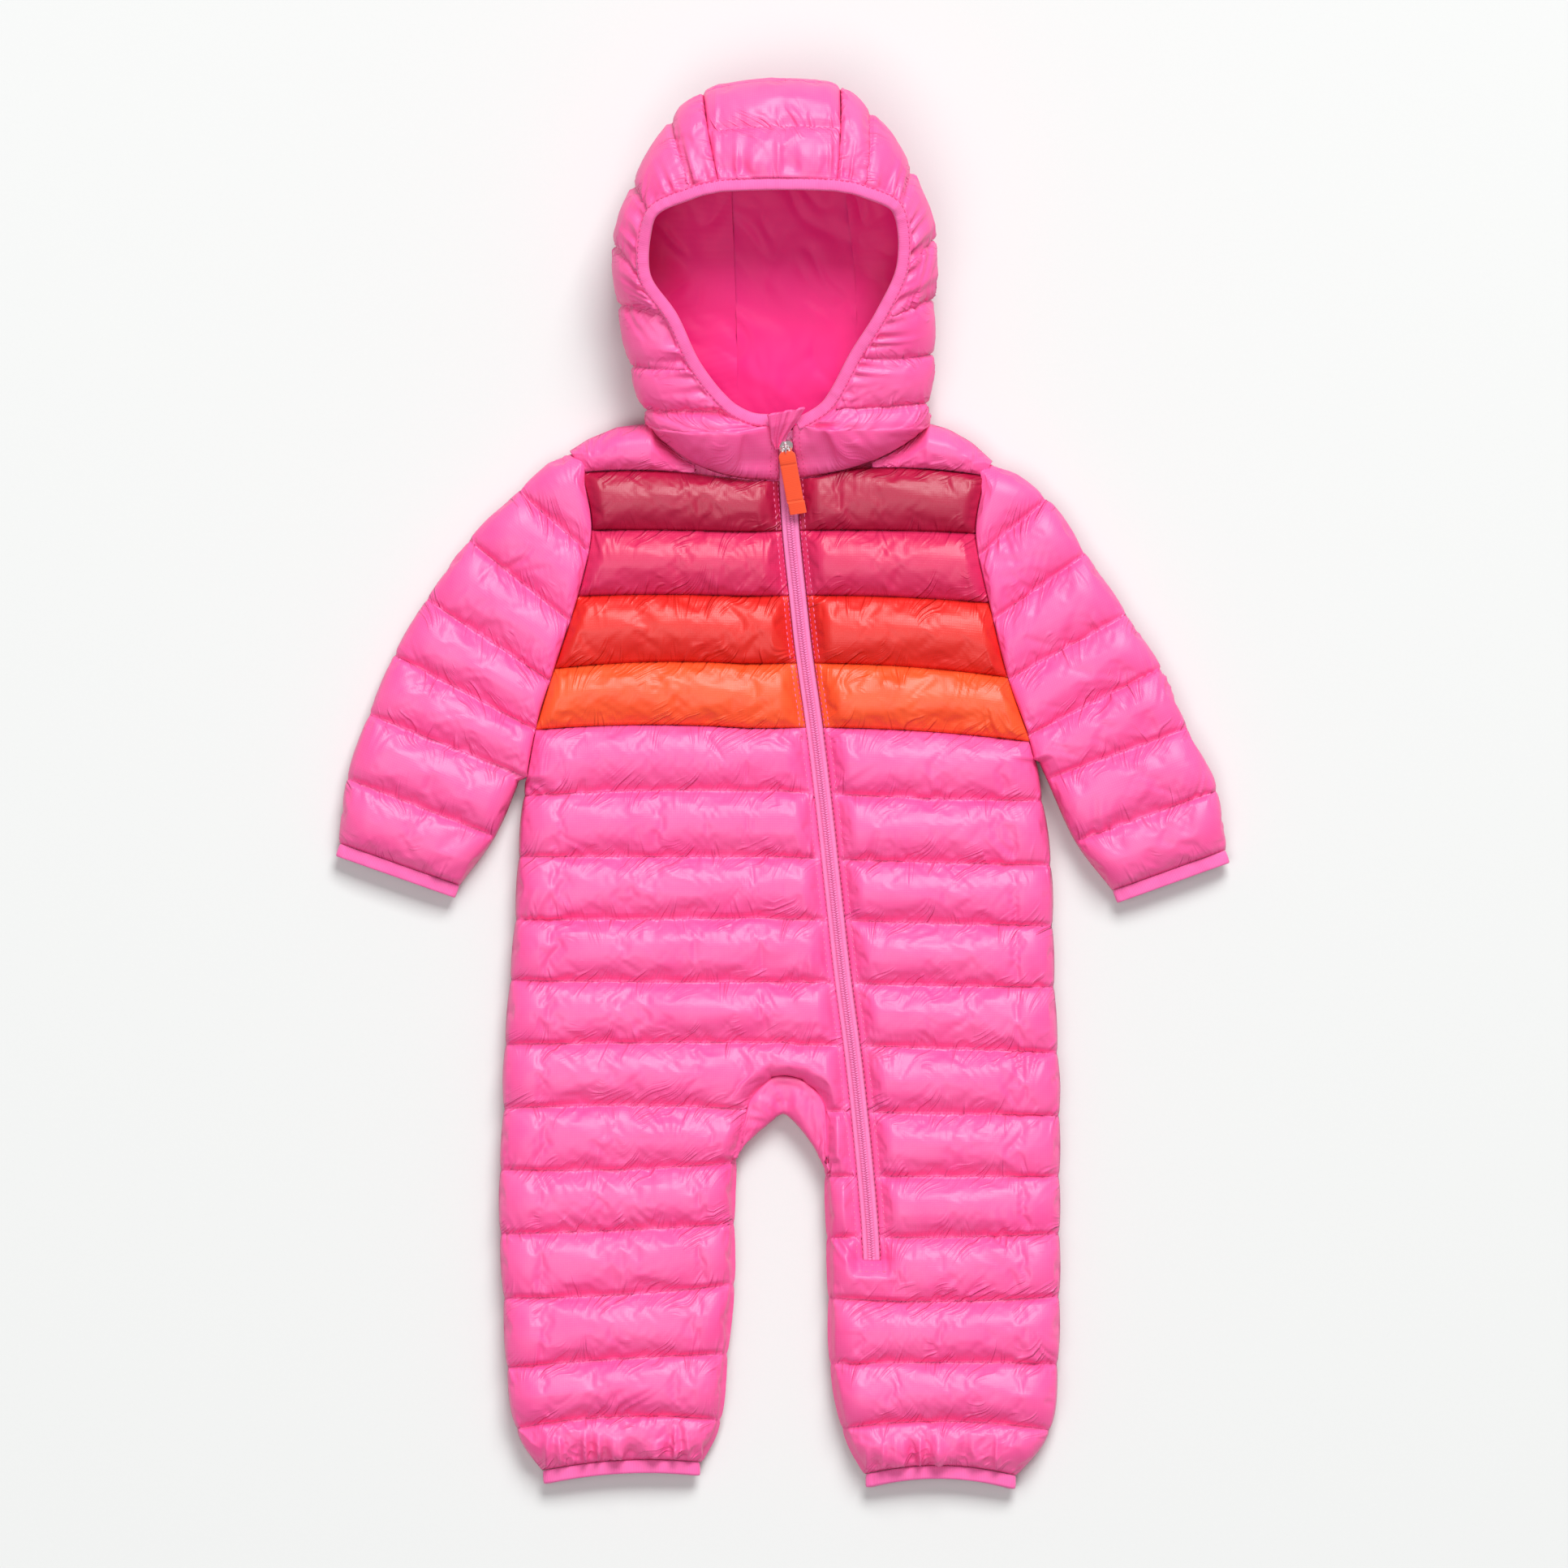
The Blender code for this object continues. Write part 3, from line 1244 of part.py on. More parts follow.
def pull():
    """The zip's pull: a metal tab on the slider's bridge, with a folded webbing sewn over its tongue."""
    axis_point, east = pivot()
    downward = (Vector(PULL_END) - axis_point).normalized()
    east = (east - downward * east.dot(downward)).normalized()
    outward = east.cross(-downward).normalized()
    axes = (east, -downward, outward)
    half, tongue = TAB_HALF_WIDTH, TONGUE_HALF_WIDTH
    outline = [
        (half - 0.7, TAB_BAR),
        (-half + 0.7, TAB_BAR),
        (-half, -0.4),
        (-half, -TAB_NECK),
        (-tongue, -TAB_NECK - 0.6),
        (-tongue, -TONGUE_END),
        (tongue, -TONGUE_END),
        (tongue, -TAB_NECK - 0.6),
        (half, -TAB_NECK),
        (half, -0.4),
    ]
    eye = half - 1.0
    hole = [(-eye, -TAB_BAR), (eye, -TAB_BAR), (eye, -TAB_EYE_END), (-eye, -TAB_EYE_END)]
    tab_mesh = curve_mesh("tab", [outline, hole], extrude=TAB_THICKNESS / 2)
    tab = finish_object("pull_tab", tab_mesh, "zip_metal")
    place(tab, axis_point, *axes)
    end = -(Vector(PULL_END) - axis_point).length
    start = -TAB_NECK - 1.0
    wide, folded = WEBBING_WIDTH / 2, WEBBING_END_WIDTH / 2
    shoulder = start - WEBBING_TAPER
    strap_outline = [
        (-folded, start),
        (-wide, shoulder),
        (-wide, end),
        (wide, end),
        (wide, shoulder),
        (folded, start),
    ]
    strap_mesh = curve_mesh("webbing", [strap_outline], extrude=WEBBING_THICKNESS / 2)
    strap = finish_object("pull_webbing", strap_mesh, "orange_webbing")
    place(strap, axis_point, *axes)
    room = WEBBING_CLEARANCE
    pocket_outline = [
        (-tongue - room, start + 2.0),
        (-tongue - room, -TONGUE_END - room),
        (tongue + room, -TONGUE_END - room),
        (tongue + room, start + 2.0),
    ]
    pocket_mesh = curve_mesh("pocket", [pocket_outline], extrude=TAB_THICKNESS / 2 + room)
    pocket = bpy.data.objects.new("pocket", pocket_mesh)
    cutters().objects.link(pocket)
    place(pocket, axis_point, *axes)
    pocket.hide_render = True
    pocket.display_type = "WIRE"
    cut = strap.modifiers.new("pocket", "BOOLEAN")
    cut.operation = "DIFFERENCE"
    cut.object = pocket


def zip_garage():
    """The folded cover at the collar's top, which the slider runs under when it is closed."""
    outer, inner = [], []
    for number, (west_x, west_y, east_x, east_y) in enumerate(GARAGE):
        lift = GARAGE_LIFTS[number]
        row = []
        for share in np.linspace(0, 1, 5):
            x, y = lerp(west_x, east_x, share), lerp(west_y, east_y, share)
            base = zip_at(min(y, COLLAR_EDGE_Y)).z + 0.5 * max(y - COLLAR_EDGE_Y, 0.0)
            row.append((x, y, base + lift + GARAGE_CROWN * math.sin(math.pi * share)))
        outer.append(row)
        inner.append([(x, y, z - GARAGE_THICKNESS) for x, y, z in row])
    wall("zip_garage", outer, inner, "pink_shell")


def clear_scene():
    for obj in list(bpy.data.objects):
        bpy.data.objects.remove(obj)


def centre_all():
    for obj in bpy.data.objects:
        obj.location -= Vector((*BOX_CENTRE, 0.0)) * MM


def main():
    clear_scene()
    back()
    front_lower()
    for side in ("west", "east"):
        yoke(side)
        for top_v, colour in STRIPES.items():
            stripe(f"stripe_{colour}_{WEARER[side]}", top_v, side, f"{colour}_shell")
        sleeve(side)
        hood_side(side)
    gusset()
    sleeve_bindings()
    ankle_bindings()
    hood_centre()
    hood_binding()
    zip_tapes_and_teeth()
    slider()
    pull()
    zip_garage()
    centre_all()


main()
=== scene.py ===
"""Dresses a packed baby snowsuit: padded cloth, lining, bindings, zip, stitches, floor and lights.

The garment lies on its back. +X is the wearer's left, +Y the top of the hood and +Z up from the
floor. Sizes are in millimetres until a mesh is made. West is the wearer's right, east the left.
"""

import logging
import math
from dataclasses import dataclass, field, replace
from enum import Enum
from functools import lru_cache
from typing import Callable, Iterable, NamedTuple, Optional, Sequence, Union

import bmesh
import bpy
import numpy as np
from bpy.types import Material, Node, NodeSocket, NodeTree, Object
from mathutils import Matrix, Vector


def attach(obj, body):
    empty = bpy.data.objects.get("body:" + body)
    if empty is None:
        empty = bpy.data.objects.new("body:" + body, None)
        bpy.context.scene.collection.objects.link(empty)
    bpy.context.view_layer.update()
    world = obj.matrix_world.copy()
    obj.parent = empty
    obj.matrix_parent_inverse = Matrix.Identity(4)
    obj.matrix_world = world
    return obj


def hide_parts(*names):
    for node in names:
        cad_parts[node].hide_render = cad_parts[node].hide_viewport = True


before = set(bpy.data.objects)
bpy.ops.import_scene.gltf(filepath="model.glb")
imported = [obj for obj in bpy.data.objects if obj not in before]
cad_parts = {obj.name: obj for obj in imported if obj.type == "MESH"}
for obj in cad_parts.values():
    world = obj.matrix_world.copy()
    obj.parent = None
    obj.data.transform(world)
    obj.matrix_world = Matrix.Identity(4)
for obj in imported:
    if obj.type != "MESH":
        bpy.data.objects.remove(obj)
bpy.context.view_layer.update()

LOG = logging.getLogger("snowsuit")
MM = 0.001
BOX_CENTRE = np.array([-0.984, -1.382, 0.0])
BAFFLE_PITCH = 37.5  # between two quilt lines
GARMENT, PULL = "garment", "zip_pull"
Blendable = Union[float, np.ndarray]


# Small tools


def smooth(knots: Sequence[float], values: Sequence[float], at: float) -> float:
    """A cubic curve through a table's values.

    Args:
        knots: the table's first column, rising.
        values: the column to read.
        at: where to read it.

    Returns:
        The blended value.
    """
    i = min(max(int(np.searchsorted(knots, at, side="right")) - 1, 0), len(knots) - 2)

    def slope_at(j: int) -> float:
        """Slope of the curve at a knot."""
        low, high = max(j - 1, 0), min(j + 1, len(knots) - 1)
        return (values[high] - values[low]) / (knots[high] - knots[low])

    span = knots[i + 1] - knots[i]
    t = clamp((at - knots[i]) / span)
    return (
        (2 * t**3 - 3 * t**2 + 1) * values[i]
        + (t**3 - 2 * t**2 + t) * span * slope_at(i)
        + (3 * t**2 - 2 * t**3) * values[i + 1]
        + (t**3 - t**2) * span * slope_at(i + 1)
    )


def table_row(table: Sequence[NamedTuple], at: float) -> NamedTuple:
    """The table's row at a value of its first column, blended between its rows."""
    knots = [row[0] for row in table]
    return type(table[0])(*(smooth(knots, column, at) for column in zip(*table)))


def lerp(a: Blendable, b: Blendable, t: Blendable) -> Blendable:
    """A blend from a at t = 0 to b at t = 1."""
    return a + (b - a) * t


def clamp(value: float, low: float = 0.0, high: float = 1.0) -> float:
    """The value, kept between two limits."""
    return min(max(value, low), high)


def roll(distance: float, width: float) -> float:
    """A quarter ellipse: 0 at an edge, 1 from width inside it."""
    return math.sqrt(1.0 - (1.0 - clamp(distance / width)) ** 2)


def slope(distance: float, width: float) -> float:
    """A soft shoulder: 0 at an edge, 1 from width inside it, and never as steep as roll."""
    return 1.0 - (1.0 - clamp(distance / width)) ** 1.8


def puff(v: float) -> float:
    """How full a baffle is at line v: 0 on each quilt line and 1 halfway."""
    return abs(math.sin(math.pi * v)) ** 0.5


def unit(vector: np.ndarray) -> np.ndarray:
    """The vector at length 1."""
    return vector / (np.linalg.norm(vector, axis=-1, keepdims=True) + 1e-12)


def turned_out(normals: np.ndarray, points: np.ndarray, centre: np.ndarray) -> np.ndarray:
    """The normals, each turned to point away from the centre."""
    return np.where(np.sum(normals * (points - centre), axis=-1, keepdims=True) > 0, normals, -normals)


def run_along(path: np.ndarray) -> np.ndarray:
    """Distance of each point of a path from its start, along it."""
    return np.concatenate([[0], np.cumsum(np.linalg.norm(np.diff(path, axis=0), axis=1))])


def resampled(values: np.ndarray, run: np.ndarray, at: np.ndarray) -> np.ndarray:
    """Rows of values along a path, read at other distances from its start."""
    return np.stack([np.interp(at, run, column) for column in values.T], -1)


def halved(low: float, high: float, is_before: Callable[[float], bool]) -> float:
    """Where a test changes from true to false between two limits, found by halving.

    Args:
        low: lower limit.
        high: upper limit.
        is_before: whether a value lies before the change.

    Returns:
        The value at the change.
    """
    for _ in range(24):
        middle = (low + high) / 2
        low, high = (middle, high) if is_before(middle) else (low, middle)
    return (low + high) / 2


@dataclass(frozen=True)
class Noise:
    """Smooth random values, the same in each run."""

    seed: int
    size: int = 128

    def at(self, a: np.ndarray, b: np.ndarray) -> np.ndarray:
        """Values from -1 to 1 on a lattice of pitch 1, blended between its points.

        Args:
            a: first coordinate.
            b: second coordinate.

        Returns:
            Values from -1 to 1.
        """
        lattice = np.random.default_rng(self.seed).uniform(-1, 1, (self.size, self.size))
        i, j = np.floor(a).astype(int), np.floor(b).astype(int)
        s, t = a - i, b - j
        s, t = s * s * (3 - 2 * s), t * t * (3 - 2 * t)
        i0, i1, j0, j1 = i % self.size, (i + 1) % self.size, j % self.size, (j + 1) % self.size
        low = lattice[i0, j0] * (1 - s) + lattice[i1, j0] * s
        high = lattice[i0, j1] * (1 - s) + lattice[i1, j1] * s
        return low * (1 - t) + high * t


class Side(Enum):
    """A side of the garment as it lies."""

    WEST = "west"
    EAST = "east"

    @property
    def inward(self) -> int:
        """The sign of x towards the garment's middle."""
        return 1 if self is Side.WEST else -1

    @property
    def wearer(self) -> str:
        """The wearer's word for this side."""
        return "right" if self is Side.WEST else "left"


# Tables of the cut


def rows_of(kind: type, *rows: tuple[float, ...]) -> list:
    """A table whose rows are all of one kind."""
    return [kind(*row) for row in rows]


class PlanPoint(NamedTuple):
    """A point seen from above."""

    x: float
    y: float


class QuiltLine(NamedTuple):
    """A quilt line from the west side over the legs' inner edges to the east side."""

    v: float
    west_x: float
    west_y: float
    west_mid_y: float
    crotch_west_x: float
    crotch_west_y: float
    crotch_east_x: float
    crotch_east_y: float
    east_mid_y: float
    east_x: float
    east_y: float

    def edge(self, side: Side) -> PlanPoint:
        """Where the line meets a side seam or an armhole."""
        return PlanPoint(self.west_x, self.west_y) if side is Side.WEST else PlanPoint(self.east_x, self.east_y)

    def crotch(self, side: Side) -> PlanPoint:
        """Where the line meets a leg's inner seam."""
        west = PlanPoint(self.crotch_west_x, self.crotch_west_y)
        return west if side is Side.WEST else PlanPoint(self.crotch_east_x, self.crotch_east_y)


QUILT_LINES = rows_of(
    QuiltLine,
    (0, -127, 197, 208, -33, 206, -21, 206, 210, 123, 191),
    (1, -120, 184, 185, -32, 181, -20, 180, 187, 119, 182),
    (2, -114, 150, 150, -30, 149, -18, 149, 150, 113, 148),
    (3, -122, 111, 112, -27, 111, -14, 111, 111, 121, 107),
    (4, -136, 68, 72, -25, 71, -11, 71, 70, 132, 63),
    (5, -147, 32, 35, -22, 33, -7, 33, 32, 145, 25),
    (6, -153.5, -7, -4, -20, -4, -4, -4, -8, 152, -10),
    (7, -156.5, -43, -43, -18, -43, -1, -43, -46, 157, -48),
    (8, -158.5, -80, -80, -15, -79, 2, -80, -82, 158, -84),
    (9, -161.5, -116, -117, -13, -117, 5, -117, -119, 159, -120),
    (10, -164.5, -154, -153, -10, -153, 8, -154, -156, 161, -159),
    (10.5, -165.5, -173, -171, -7.4, -173.3, 10.6, -174.7, -176, 162, -178),
    (10.67, -165.5, -179.5, -177.5, -15, -179.5, 18.5, -180.7, -182, 162, -184.3),
    (10.85, -165.5, -186, -184, -20.7, -187, 23.4, -187.6, -188.8, 162, -191),
    (11, -165.5, -192, -190, -22.4, -192.5, 24.7, -193.5, -195, 162, -196),
    (11.33, -166, -204, -202.5, -25, -204.5, 25.3, -206, -207, 162, -208),
    (12, -167.5, -228, -228, -29.4, -224, 25, -232, -232, 162, -232),
    (13, -167.5, -266, -264, -31, -260, 26, -268, -268, 162, -266),
    (14, -165.5, -304, -302, -31, -296, 27, -304, -306, 162, -303),
    (15, -163.5, -345, -340, -35, -337, 28, -343, -342, 161, -343),
    (16, -158, -381, -374, -39, -376, 35, -381, -377, 156.5, -382),
    (17, -143, -406, -400, -50, -401, 48, -408, -403, 137, -409),
)

CROTCH_V = 10.5  # quilt line at the crotch's top
CROTCH_ARCH = 1.6  # rise of the arch over the crotch
CROTCH_ARCH_REACH = 0.8  # baffles over which it fades
ZIP_END_V = 5 + 117 / 14  # quilt line at the zip's lower end
UNDERARM_V = {Side.WEST: 5.75, Side.EAST: 5.3}


class ZipPoint(NamedTuple):
    """Centre of the zip and the top face of its tapes."""

    y: float
    x: float
    z: float


ZIP_LINE = rows_of(
    ZipPoint,
    (-409, 69.0, 18.5), (-340, 55.0, 18.5), (-289, 52.1, 18.5), (-256, 50.2, 18.5),
    (-208, 45.8, 18.5), (-160, 40.6, 18.5), (-112, 34.3, 18.5), (-64, 29.0, 18.5),
    (-16, 23.8, 18.5), (32, 18.0, 18.5), (80, 11.3, 18.5), (111, 7.9, 18.5),
    (147, 4.1, 18.5), (170, 2.6, 18.8), (180, 2.1, 21.5), (196, 1.2, 31.5),
    (211, -0.2, 40.0),
)


class SleeveLine(NamedTuple):
    """A quilt line across a sleeve, from its outer fold to the armhole or underarm."""

    s: float
    outer_x: float
    outer_y: float
    inner_x: float
    inner_y: float


SLEEVE_LINES = {
    Side.WEST: rows_of(
        SleeveLine,
        (0, -131.5, 195, -127, 194), (1, -157, 173, -115, 137),
        (2, -186, 144, -126, 96), (3, -211, 109, -137, 61),
        (4, -230, 76, -147, 32), (5, -245, 41, -156, 4),
        (6, -258, 3, -171, -31), (7, -263, -35, -192, -60),
    ),
    Side.EAST: rows_of(
        SleeveLine,
        (0, 127.5, 189, 123, 188), (1, 155, 168, 113, 135),
        (2, 178, 136, 123, 97), (3, 202, 100, 136, 62),
        (4, 222, 68, 144, 29), (5, 238, 33, 155, 3),
        (6, 255, -4, 172, -34), (7, 261, -39, 194, -63),
    ),
}


GUSSET_FOLD = rows_of(
    PlanPoint,
    (-29.2, -223.5), (-25.8, -217.5), (-22.0, -212.5), (-16.0, -206.5), (-10.5, -202),
    (-6.5, -198.5), (-3.0, -196.2), (0.3, -195.6), (4.5, -198.5), (9.5, -204),
    (14.0, -210), (18.0, -216.3), (20.8, -221.5), (23.2, -226.6), (25.0, -231),
)
SHOULDERS = rows_of(
    PlanPoint,
    (-127, 197), (-116, 204), (-99, 211), (-79, 213.4), (85, 213.4),
    (97, 210), (111, 202), (123, 191),
)
BACK_NECK = rows_of(PlanPoint, (-79, 213.2), (-28, 207.2), (43, 208.2), (85, 213.2))
YOKE_END_X = {Side.WEST: -53.0, Side.EAST: 52.0}


class Station(NamedTuple):
    """A quilt line of a hood side piece, from its rim round its widest outline to the back."""

    k: float
    rim_x: float
    rim_y: float
    rim_z: float
    bow_x: float
    bow_y: float
    side_x: float
    side_y: float
    side_z: float
    back_x: float
    back_y: float


HOOD_LINES = {
    Side.WEST: rows_of(
        Station,
        (0.0, -3.2, 179.3, 24, -17, -19, -79, 214, 14.7, -28, 208),
        (0.5, -5.7, 211, 43, 0, 0, -80.5, 216, 20, -28, 221),
        (0.7, -18, 212, 45, 0, 0, -81, 217, 23, -28, 226),
        (1.0, -34, 220, 48, 0, -1, -82, 221, 27, -28, 233),
        (2, -55, 245, 56, 0, -2, -90, 247, 34, -28, 262),
        (3, -69, 274, 64, 0, 2, -97, 283, 36, -29, 292),
        (4, -86, 301, 71, 0, 0, -100, 318, 38, -30, 318),
        (5, -81, 338, 80, 0, 0, -89, 353, 42, -31, 342),
        (6, -56, 351.5, 89, -2, 2, -67, 391, 48, -31, 360),
        (7, -39, 356, 92, -2, 2, -48, 408, 50, -31, 372),
    ),
    Side.EAST: rows_of(
        Station,
        (0.0, 7.5, 180.3, 24, 15, -12, 85, 214, 14.7, 43, 209),
        (0.5, 5.3, 211.5, 43, 0, 0, 84.5, 217, 20, 43, 222),
        (0.7, 15, 213, 45, 0, 0, 84, 219, 23, 43, 227),
        (1.0, 28, 222, 48, 0, -2, 84, 225, 28, 43, 234),
        (2, 45, 252, 56, 0, -4, 87, 254, 34, 43, 262),
        (3, 60, 276, 64, 0, -2, 87, 287, 36, 42, 292),
        (4, 73, 306, 71, 0, 0, 88, 322, 38, 40, 318),
        (5, 70, 340, 80, 0, 0, 75, 361, 42, 37, 342),
        (6, 48, 352.5, 89, 2, 2, 51, 396, 48, 35, 360),
        (7, 31, 356.4, 92, 2, 2, 33, 411, 50, 33, 372),
    ),
}


def polyline_y(points: Sequence[PlanPoint], x: Blendable) -> Blendable:
    """y of a straight-sided outline at x."""
    return np.interp(x, [point.x for point in points], [point.y for point in points])


@lru_cache(maxsize=None)
def quilt_line(v: float) -> QuiltLine:
    """The trunk's quilt line v."""
    return table_row(QUILT_LINES, v)


@lru_cache(maxsize=None)
def zip_at(y: float) -> ZipPoint:
    """The zip's centre at y."""
    return table_row(ZIP_LINE, y)


@lru_cache(maxsize=None)
def hood_line(side: Side, k: float) -> Station:
    """The hood's line k on one side."""
    return table_row(HOOD_LINES[side], k)


def parabola(points: Sequence[tuple[float, float]], x: float) -> float:
    """y at x on the parabola through three points.

    Args:
        points: three points.
        x: where to read it.

    Returns:
        Its y.
    """
    (x0, y0), (x1, y1), (x2, y2) = points
    return (
        y0 * (x - x1) * (x - x2) / ((x0 - x1) * (x0 - x2))
        + y1 * (x - x0) * (x - x2) / ((x1 - x0) * (x1 - x2))
        + y2 * (x - x0) * (x - x1) / ((x2 - x0) * (x2 - x1))
    )


def line_y(line: QuiltLine, x: float) -> float:
    """Height up the garment of a quilt line at x.

    Args:
        line: the quilt line.
        x: position across the garment, in millimetres.

    Returns:
        Its y, in millimetres.
    """
    west, east = line.crotch(Side.WEST), line.crotch(Side.EAST)
    if x < west.x:
        return parabola((line.edge(Side.WEST), ((line.west_x + west.x) / 2, line.west_mid_y), west), x)
    if x > east.x:
        return parabola((east, ((line.east_x + east.x) / 2, line.east_mid_y), line.edge(Side.EAST)), x)
    share = (x - west.x) / (east.x - west.x)
    arch = CROTCH_ARCH * 4 * share * (1 - share) * max(0.0, 1 - abs(line.v - CROTCH_V) / CROTCH_ARCH_REACH)
    return lerp(west.y, east.y, share) + arch


@lru_cache(maxsize=None)
def zip_x_on(v: float) -> float:
    """Where the zip's centre crosses quilt line v.

    Args:
        v: number of the quilt line, counted from the shoulder.

    Returns:
        x, in millimetres.
    """
    line = quilt_line(v)
    y = line.crotch_east_y
    for _ in range(3):
        y = line_y(line, zip_at(y).x)
    return zip_at(y).x


def bowed(line: Station, t: float) -> np.ndarray:
    """Plan position along a hood line's first stretch, from the rim at 0 to the side at 1.

    Args:
        line: the hood line.
        t: 0 at the rim, 1 at the side.

    Returns:
        x and y.
    """
    start = np.array([line.rim_x, line.rim_y])
    end = np.array([line.side_x, line.side_y])
    control = (start + end) / 2 + np.array([line.bow_x, line.bow_y])
    return (1 - t) ** 2 * start + 2 * t * (1 - t) * control + t**2 * end


def neck_seam(side: Side, x: float) -> float:
    """Height up the garment of the front neck seam at x."""
    line = HOOD_LINES[side][0]
    return float(bowed(line, halved(0.0, 1.0, lambda t: (bowed(line, t)[0] - x) * side.inward > 0))[1])


# Cloth


@dataclass(frozen=True)
class Inflation:
    """How a padded sheet is blown up by the cloth simulation.

    Attributes:
        pressure: push on the cloth, outwards.
        surplus: share by which the cloth is longer than its quilt lines, which creases it across them.
        drift: sideways shift in millimetres of the uncreased cloth, which slants the creases.
        cap: furthest that a point may move, in millimetres.
        seed: which pattern of creases.
        frames: steps of the simulation.
    """

    pressure: float = 4.0
    surplus: float = 0.09
    drift: float = 2.2
    cap: float = 4.0
    seed: int = 1
    frames: int = 21


@dataclass(frozen=True)
class Gathers:
    """Small folds that stitching draws into the cloth next to it.

    Attributes:
        depth: height in millimetres.
        reach: how far they run from the stitching, in millimetres.
        pitch: distance between them, in millimetres.
        slant: sideways run for each millimetre away from the stitching.
        seed: which pattern of folds.
    """

    depth: float = 1.25
    reach: float = 8.0
    pitch: float = 5.0
    slant: float = 1.0
    seed: int = 11

    def height(self, along: np.ndarray, away: np.ndarray, strip: np.ndarray) -> np.ndarray:
        """Height of the folds.

        Args:
            along: position along the stitching, in millimetres.
            away: distance from it.
            strip: a number for each stretch of stitching, so that none repeats its neighbour.

        Returns:
            Heights in millimetres.
        """
        lean = Noise(self.seed).at(along / 26.0, strip * 7.31)
        warped = along + away * self.slant * 1.6 * lean
        fold = 1 - 2 * np.abs(Noise(self.seed + 1).at(warped / self.pitch, strip * 3.77))
        strength = 0.45 + 1.1 * Noise(self.seed + 2).at(along / 21.0, strip * 5.13)
        fade = np.exp(-away / (self.reach * (0.5 + 0.7 * np.clip(strength, 0, 1.5)))) * np.clip(away / 1.0, 0, 1)
        return self.depth * fold * np.clip(strength, 0.12, 1.5) * fade


@dataclass
class Sheet:
    """A grid of points on a piece of cloth.

    Attributes:
        points: rows x columns x 3, in millimetres.
        line: each point's quilt-line coordinate, a whole number on stitching.
        along: each point's position along that line, in millimetres.
        held: 1 where the cloth is sewn down, 0 where it is free.
        cells: which of the grid's cells are cloth.
        away_from: a point behind the cloth, which says which side is its face.
    """

    points: np.ndarray
    line: np.ndarray
    along: np.ndarray
    held: np.ndarray
    cells: Optional[np.ndarray] = None
    away_from: tuple[float, float, float] = (0.0, 0.0, -1e5)

    def __post_init__(self) -> None:
        """Fills in the cells and turns the grid so that its normals point out of the garment."""
        self.points = np.asarray(self.points, float)
        if self.cells is None:
            self.cells = np.ones(np.array(self.points.shape[:2]) - 1, bool)
        facing = np.sum(self.normals() * (self.points - np.array(self.away_from)), axis=-1)
        if np.sum(facing * (1 - self.held) + facing * 1e-3) < 0:
            for name in ("points", "line", "along", "held", "cells"):
                setattr(self, name, getattr(self, name)[:, ::-1])

    def normals(self) -> np.ndarray:
        """Unit normals of the grid."""
        return unit(np.cross(np.gradient(self.points, axis=0), np.gradient(self.points, axis=1)))

    def faces(self) -> np.ndarray:
        """Quads of the cells that are cloth.

        Returns:
            The point numbers of each.
        """
        rows, columns = self.points.shape[:2]
        index = np.arange(rows * columns).reshape(rows, columns)
        quads = np.stack([index[:-1, :-1], index[1:, :-1], index[1:, 1:], index[:-1, 1:]], axis=-1)
        return quads[self.cells]

    def inflated(self, recipe: Inflation) -> "Sheet":
        """The sheet after Blender's cloth simulation has blown it up.

        Args:
            recipe: how it is blown up.

        Returns:
            The blown-up sheet.
        """
        moved = simulate(self, recipe)
        shift = moved - self.points
        length = np.linalg.norm(shift, axis=-1, keepdims=True)
        return self.moved_by(shift * np.minimum(1.0, recipe.cap / (length + 1e-9)))

    def moved_by(self, shift: np.ndarray) -> "Sheet":
        """The sheet with each point moved, but not below the floor."""
        points = self.points + shift
        points[..., 2] = np.maximum(points[..., 2], np.minimum(self.points[..., 2], 0.0))
        return replace(self, points=points)

    def finer(self) -> "Sheet":
        """The sheet with its grid's pitch halved, on a smooth surface through its points."""
        values = {name: doubled(doubled(getattr(self, name), 0), 1) for name in ("line", "along", "held")}
        points = doubled(doubled(self.points, 0, True), 1, True)
        return replace(self, points=points, cells=self.cells.repeat(2, axis=0).repeat(2, axis=1), **values)

    def lifted(self, height: np.ndarray) -> "Sheet":
        """The sheet with each point moved along its normal, but not below the floor."""
        return self.moved_by(self.normals() * height[..., None])

    def gathered(self, gathers: Gathers) -> "Sheet":
        """The sheet with small folds drawn in along its quilt lines.

        Args:
            gathers: the folds.

        Returns:
            The folded sheet.
        """
        nearest = np.round(self.line)
        away = np.abs(self.line - nearest) * BAFFLE_PITCH
        strip = nearest + 0.5 * (self.line > nearest)
        return self.lifted(gathers.height(self.along, away, strip) * self.inside())

    def inside(self, rings: int = 3) -> np.ndarray:
        """0 on the cloth's border, rising to 1 a few points inside it.

        Args:
            rings: how many points in it reaches 1.

        Returns:
            The value at each point.
        """
        padded = np.pad(self.cells, 1)
        full = padded[:-1, :-1] & padded[1:, :-1] & padded[:-1, 1:] & padded[1:, 1:]
        depth = full.astype(float)
        for _ in range(rings - 1):
            wide = np.pad(depth, 1)
            near = [wide[i : i + depth.shape[0], j : j + depth.shape[1]] for i in range(3) for j in range(3)]
            depth = np.where(full, np.minimum.reduce(near) + 1.0, 0.0)
        return np.clip(depth / rings, 0, 1)

    def on_top(self, x: float, y: float) -> np.ndarray:
        """The spot (x, y), at the height of the nearest point."""
        points = self.points.reshape(-1, 3)
        nearest = int(np.argmin(np.hypot(points[:, 0] - x, points[:, 1] - y)))
        return np.array([x, y, points[nearest, 2] + 0.15])

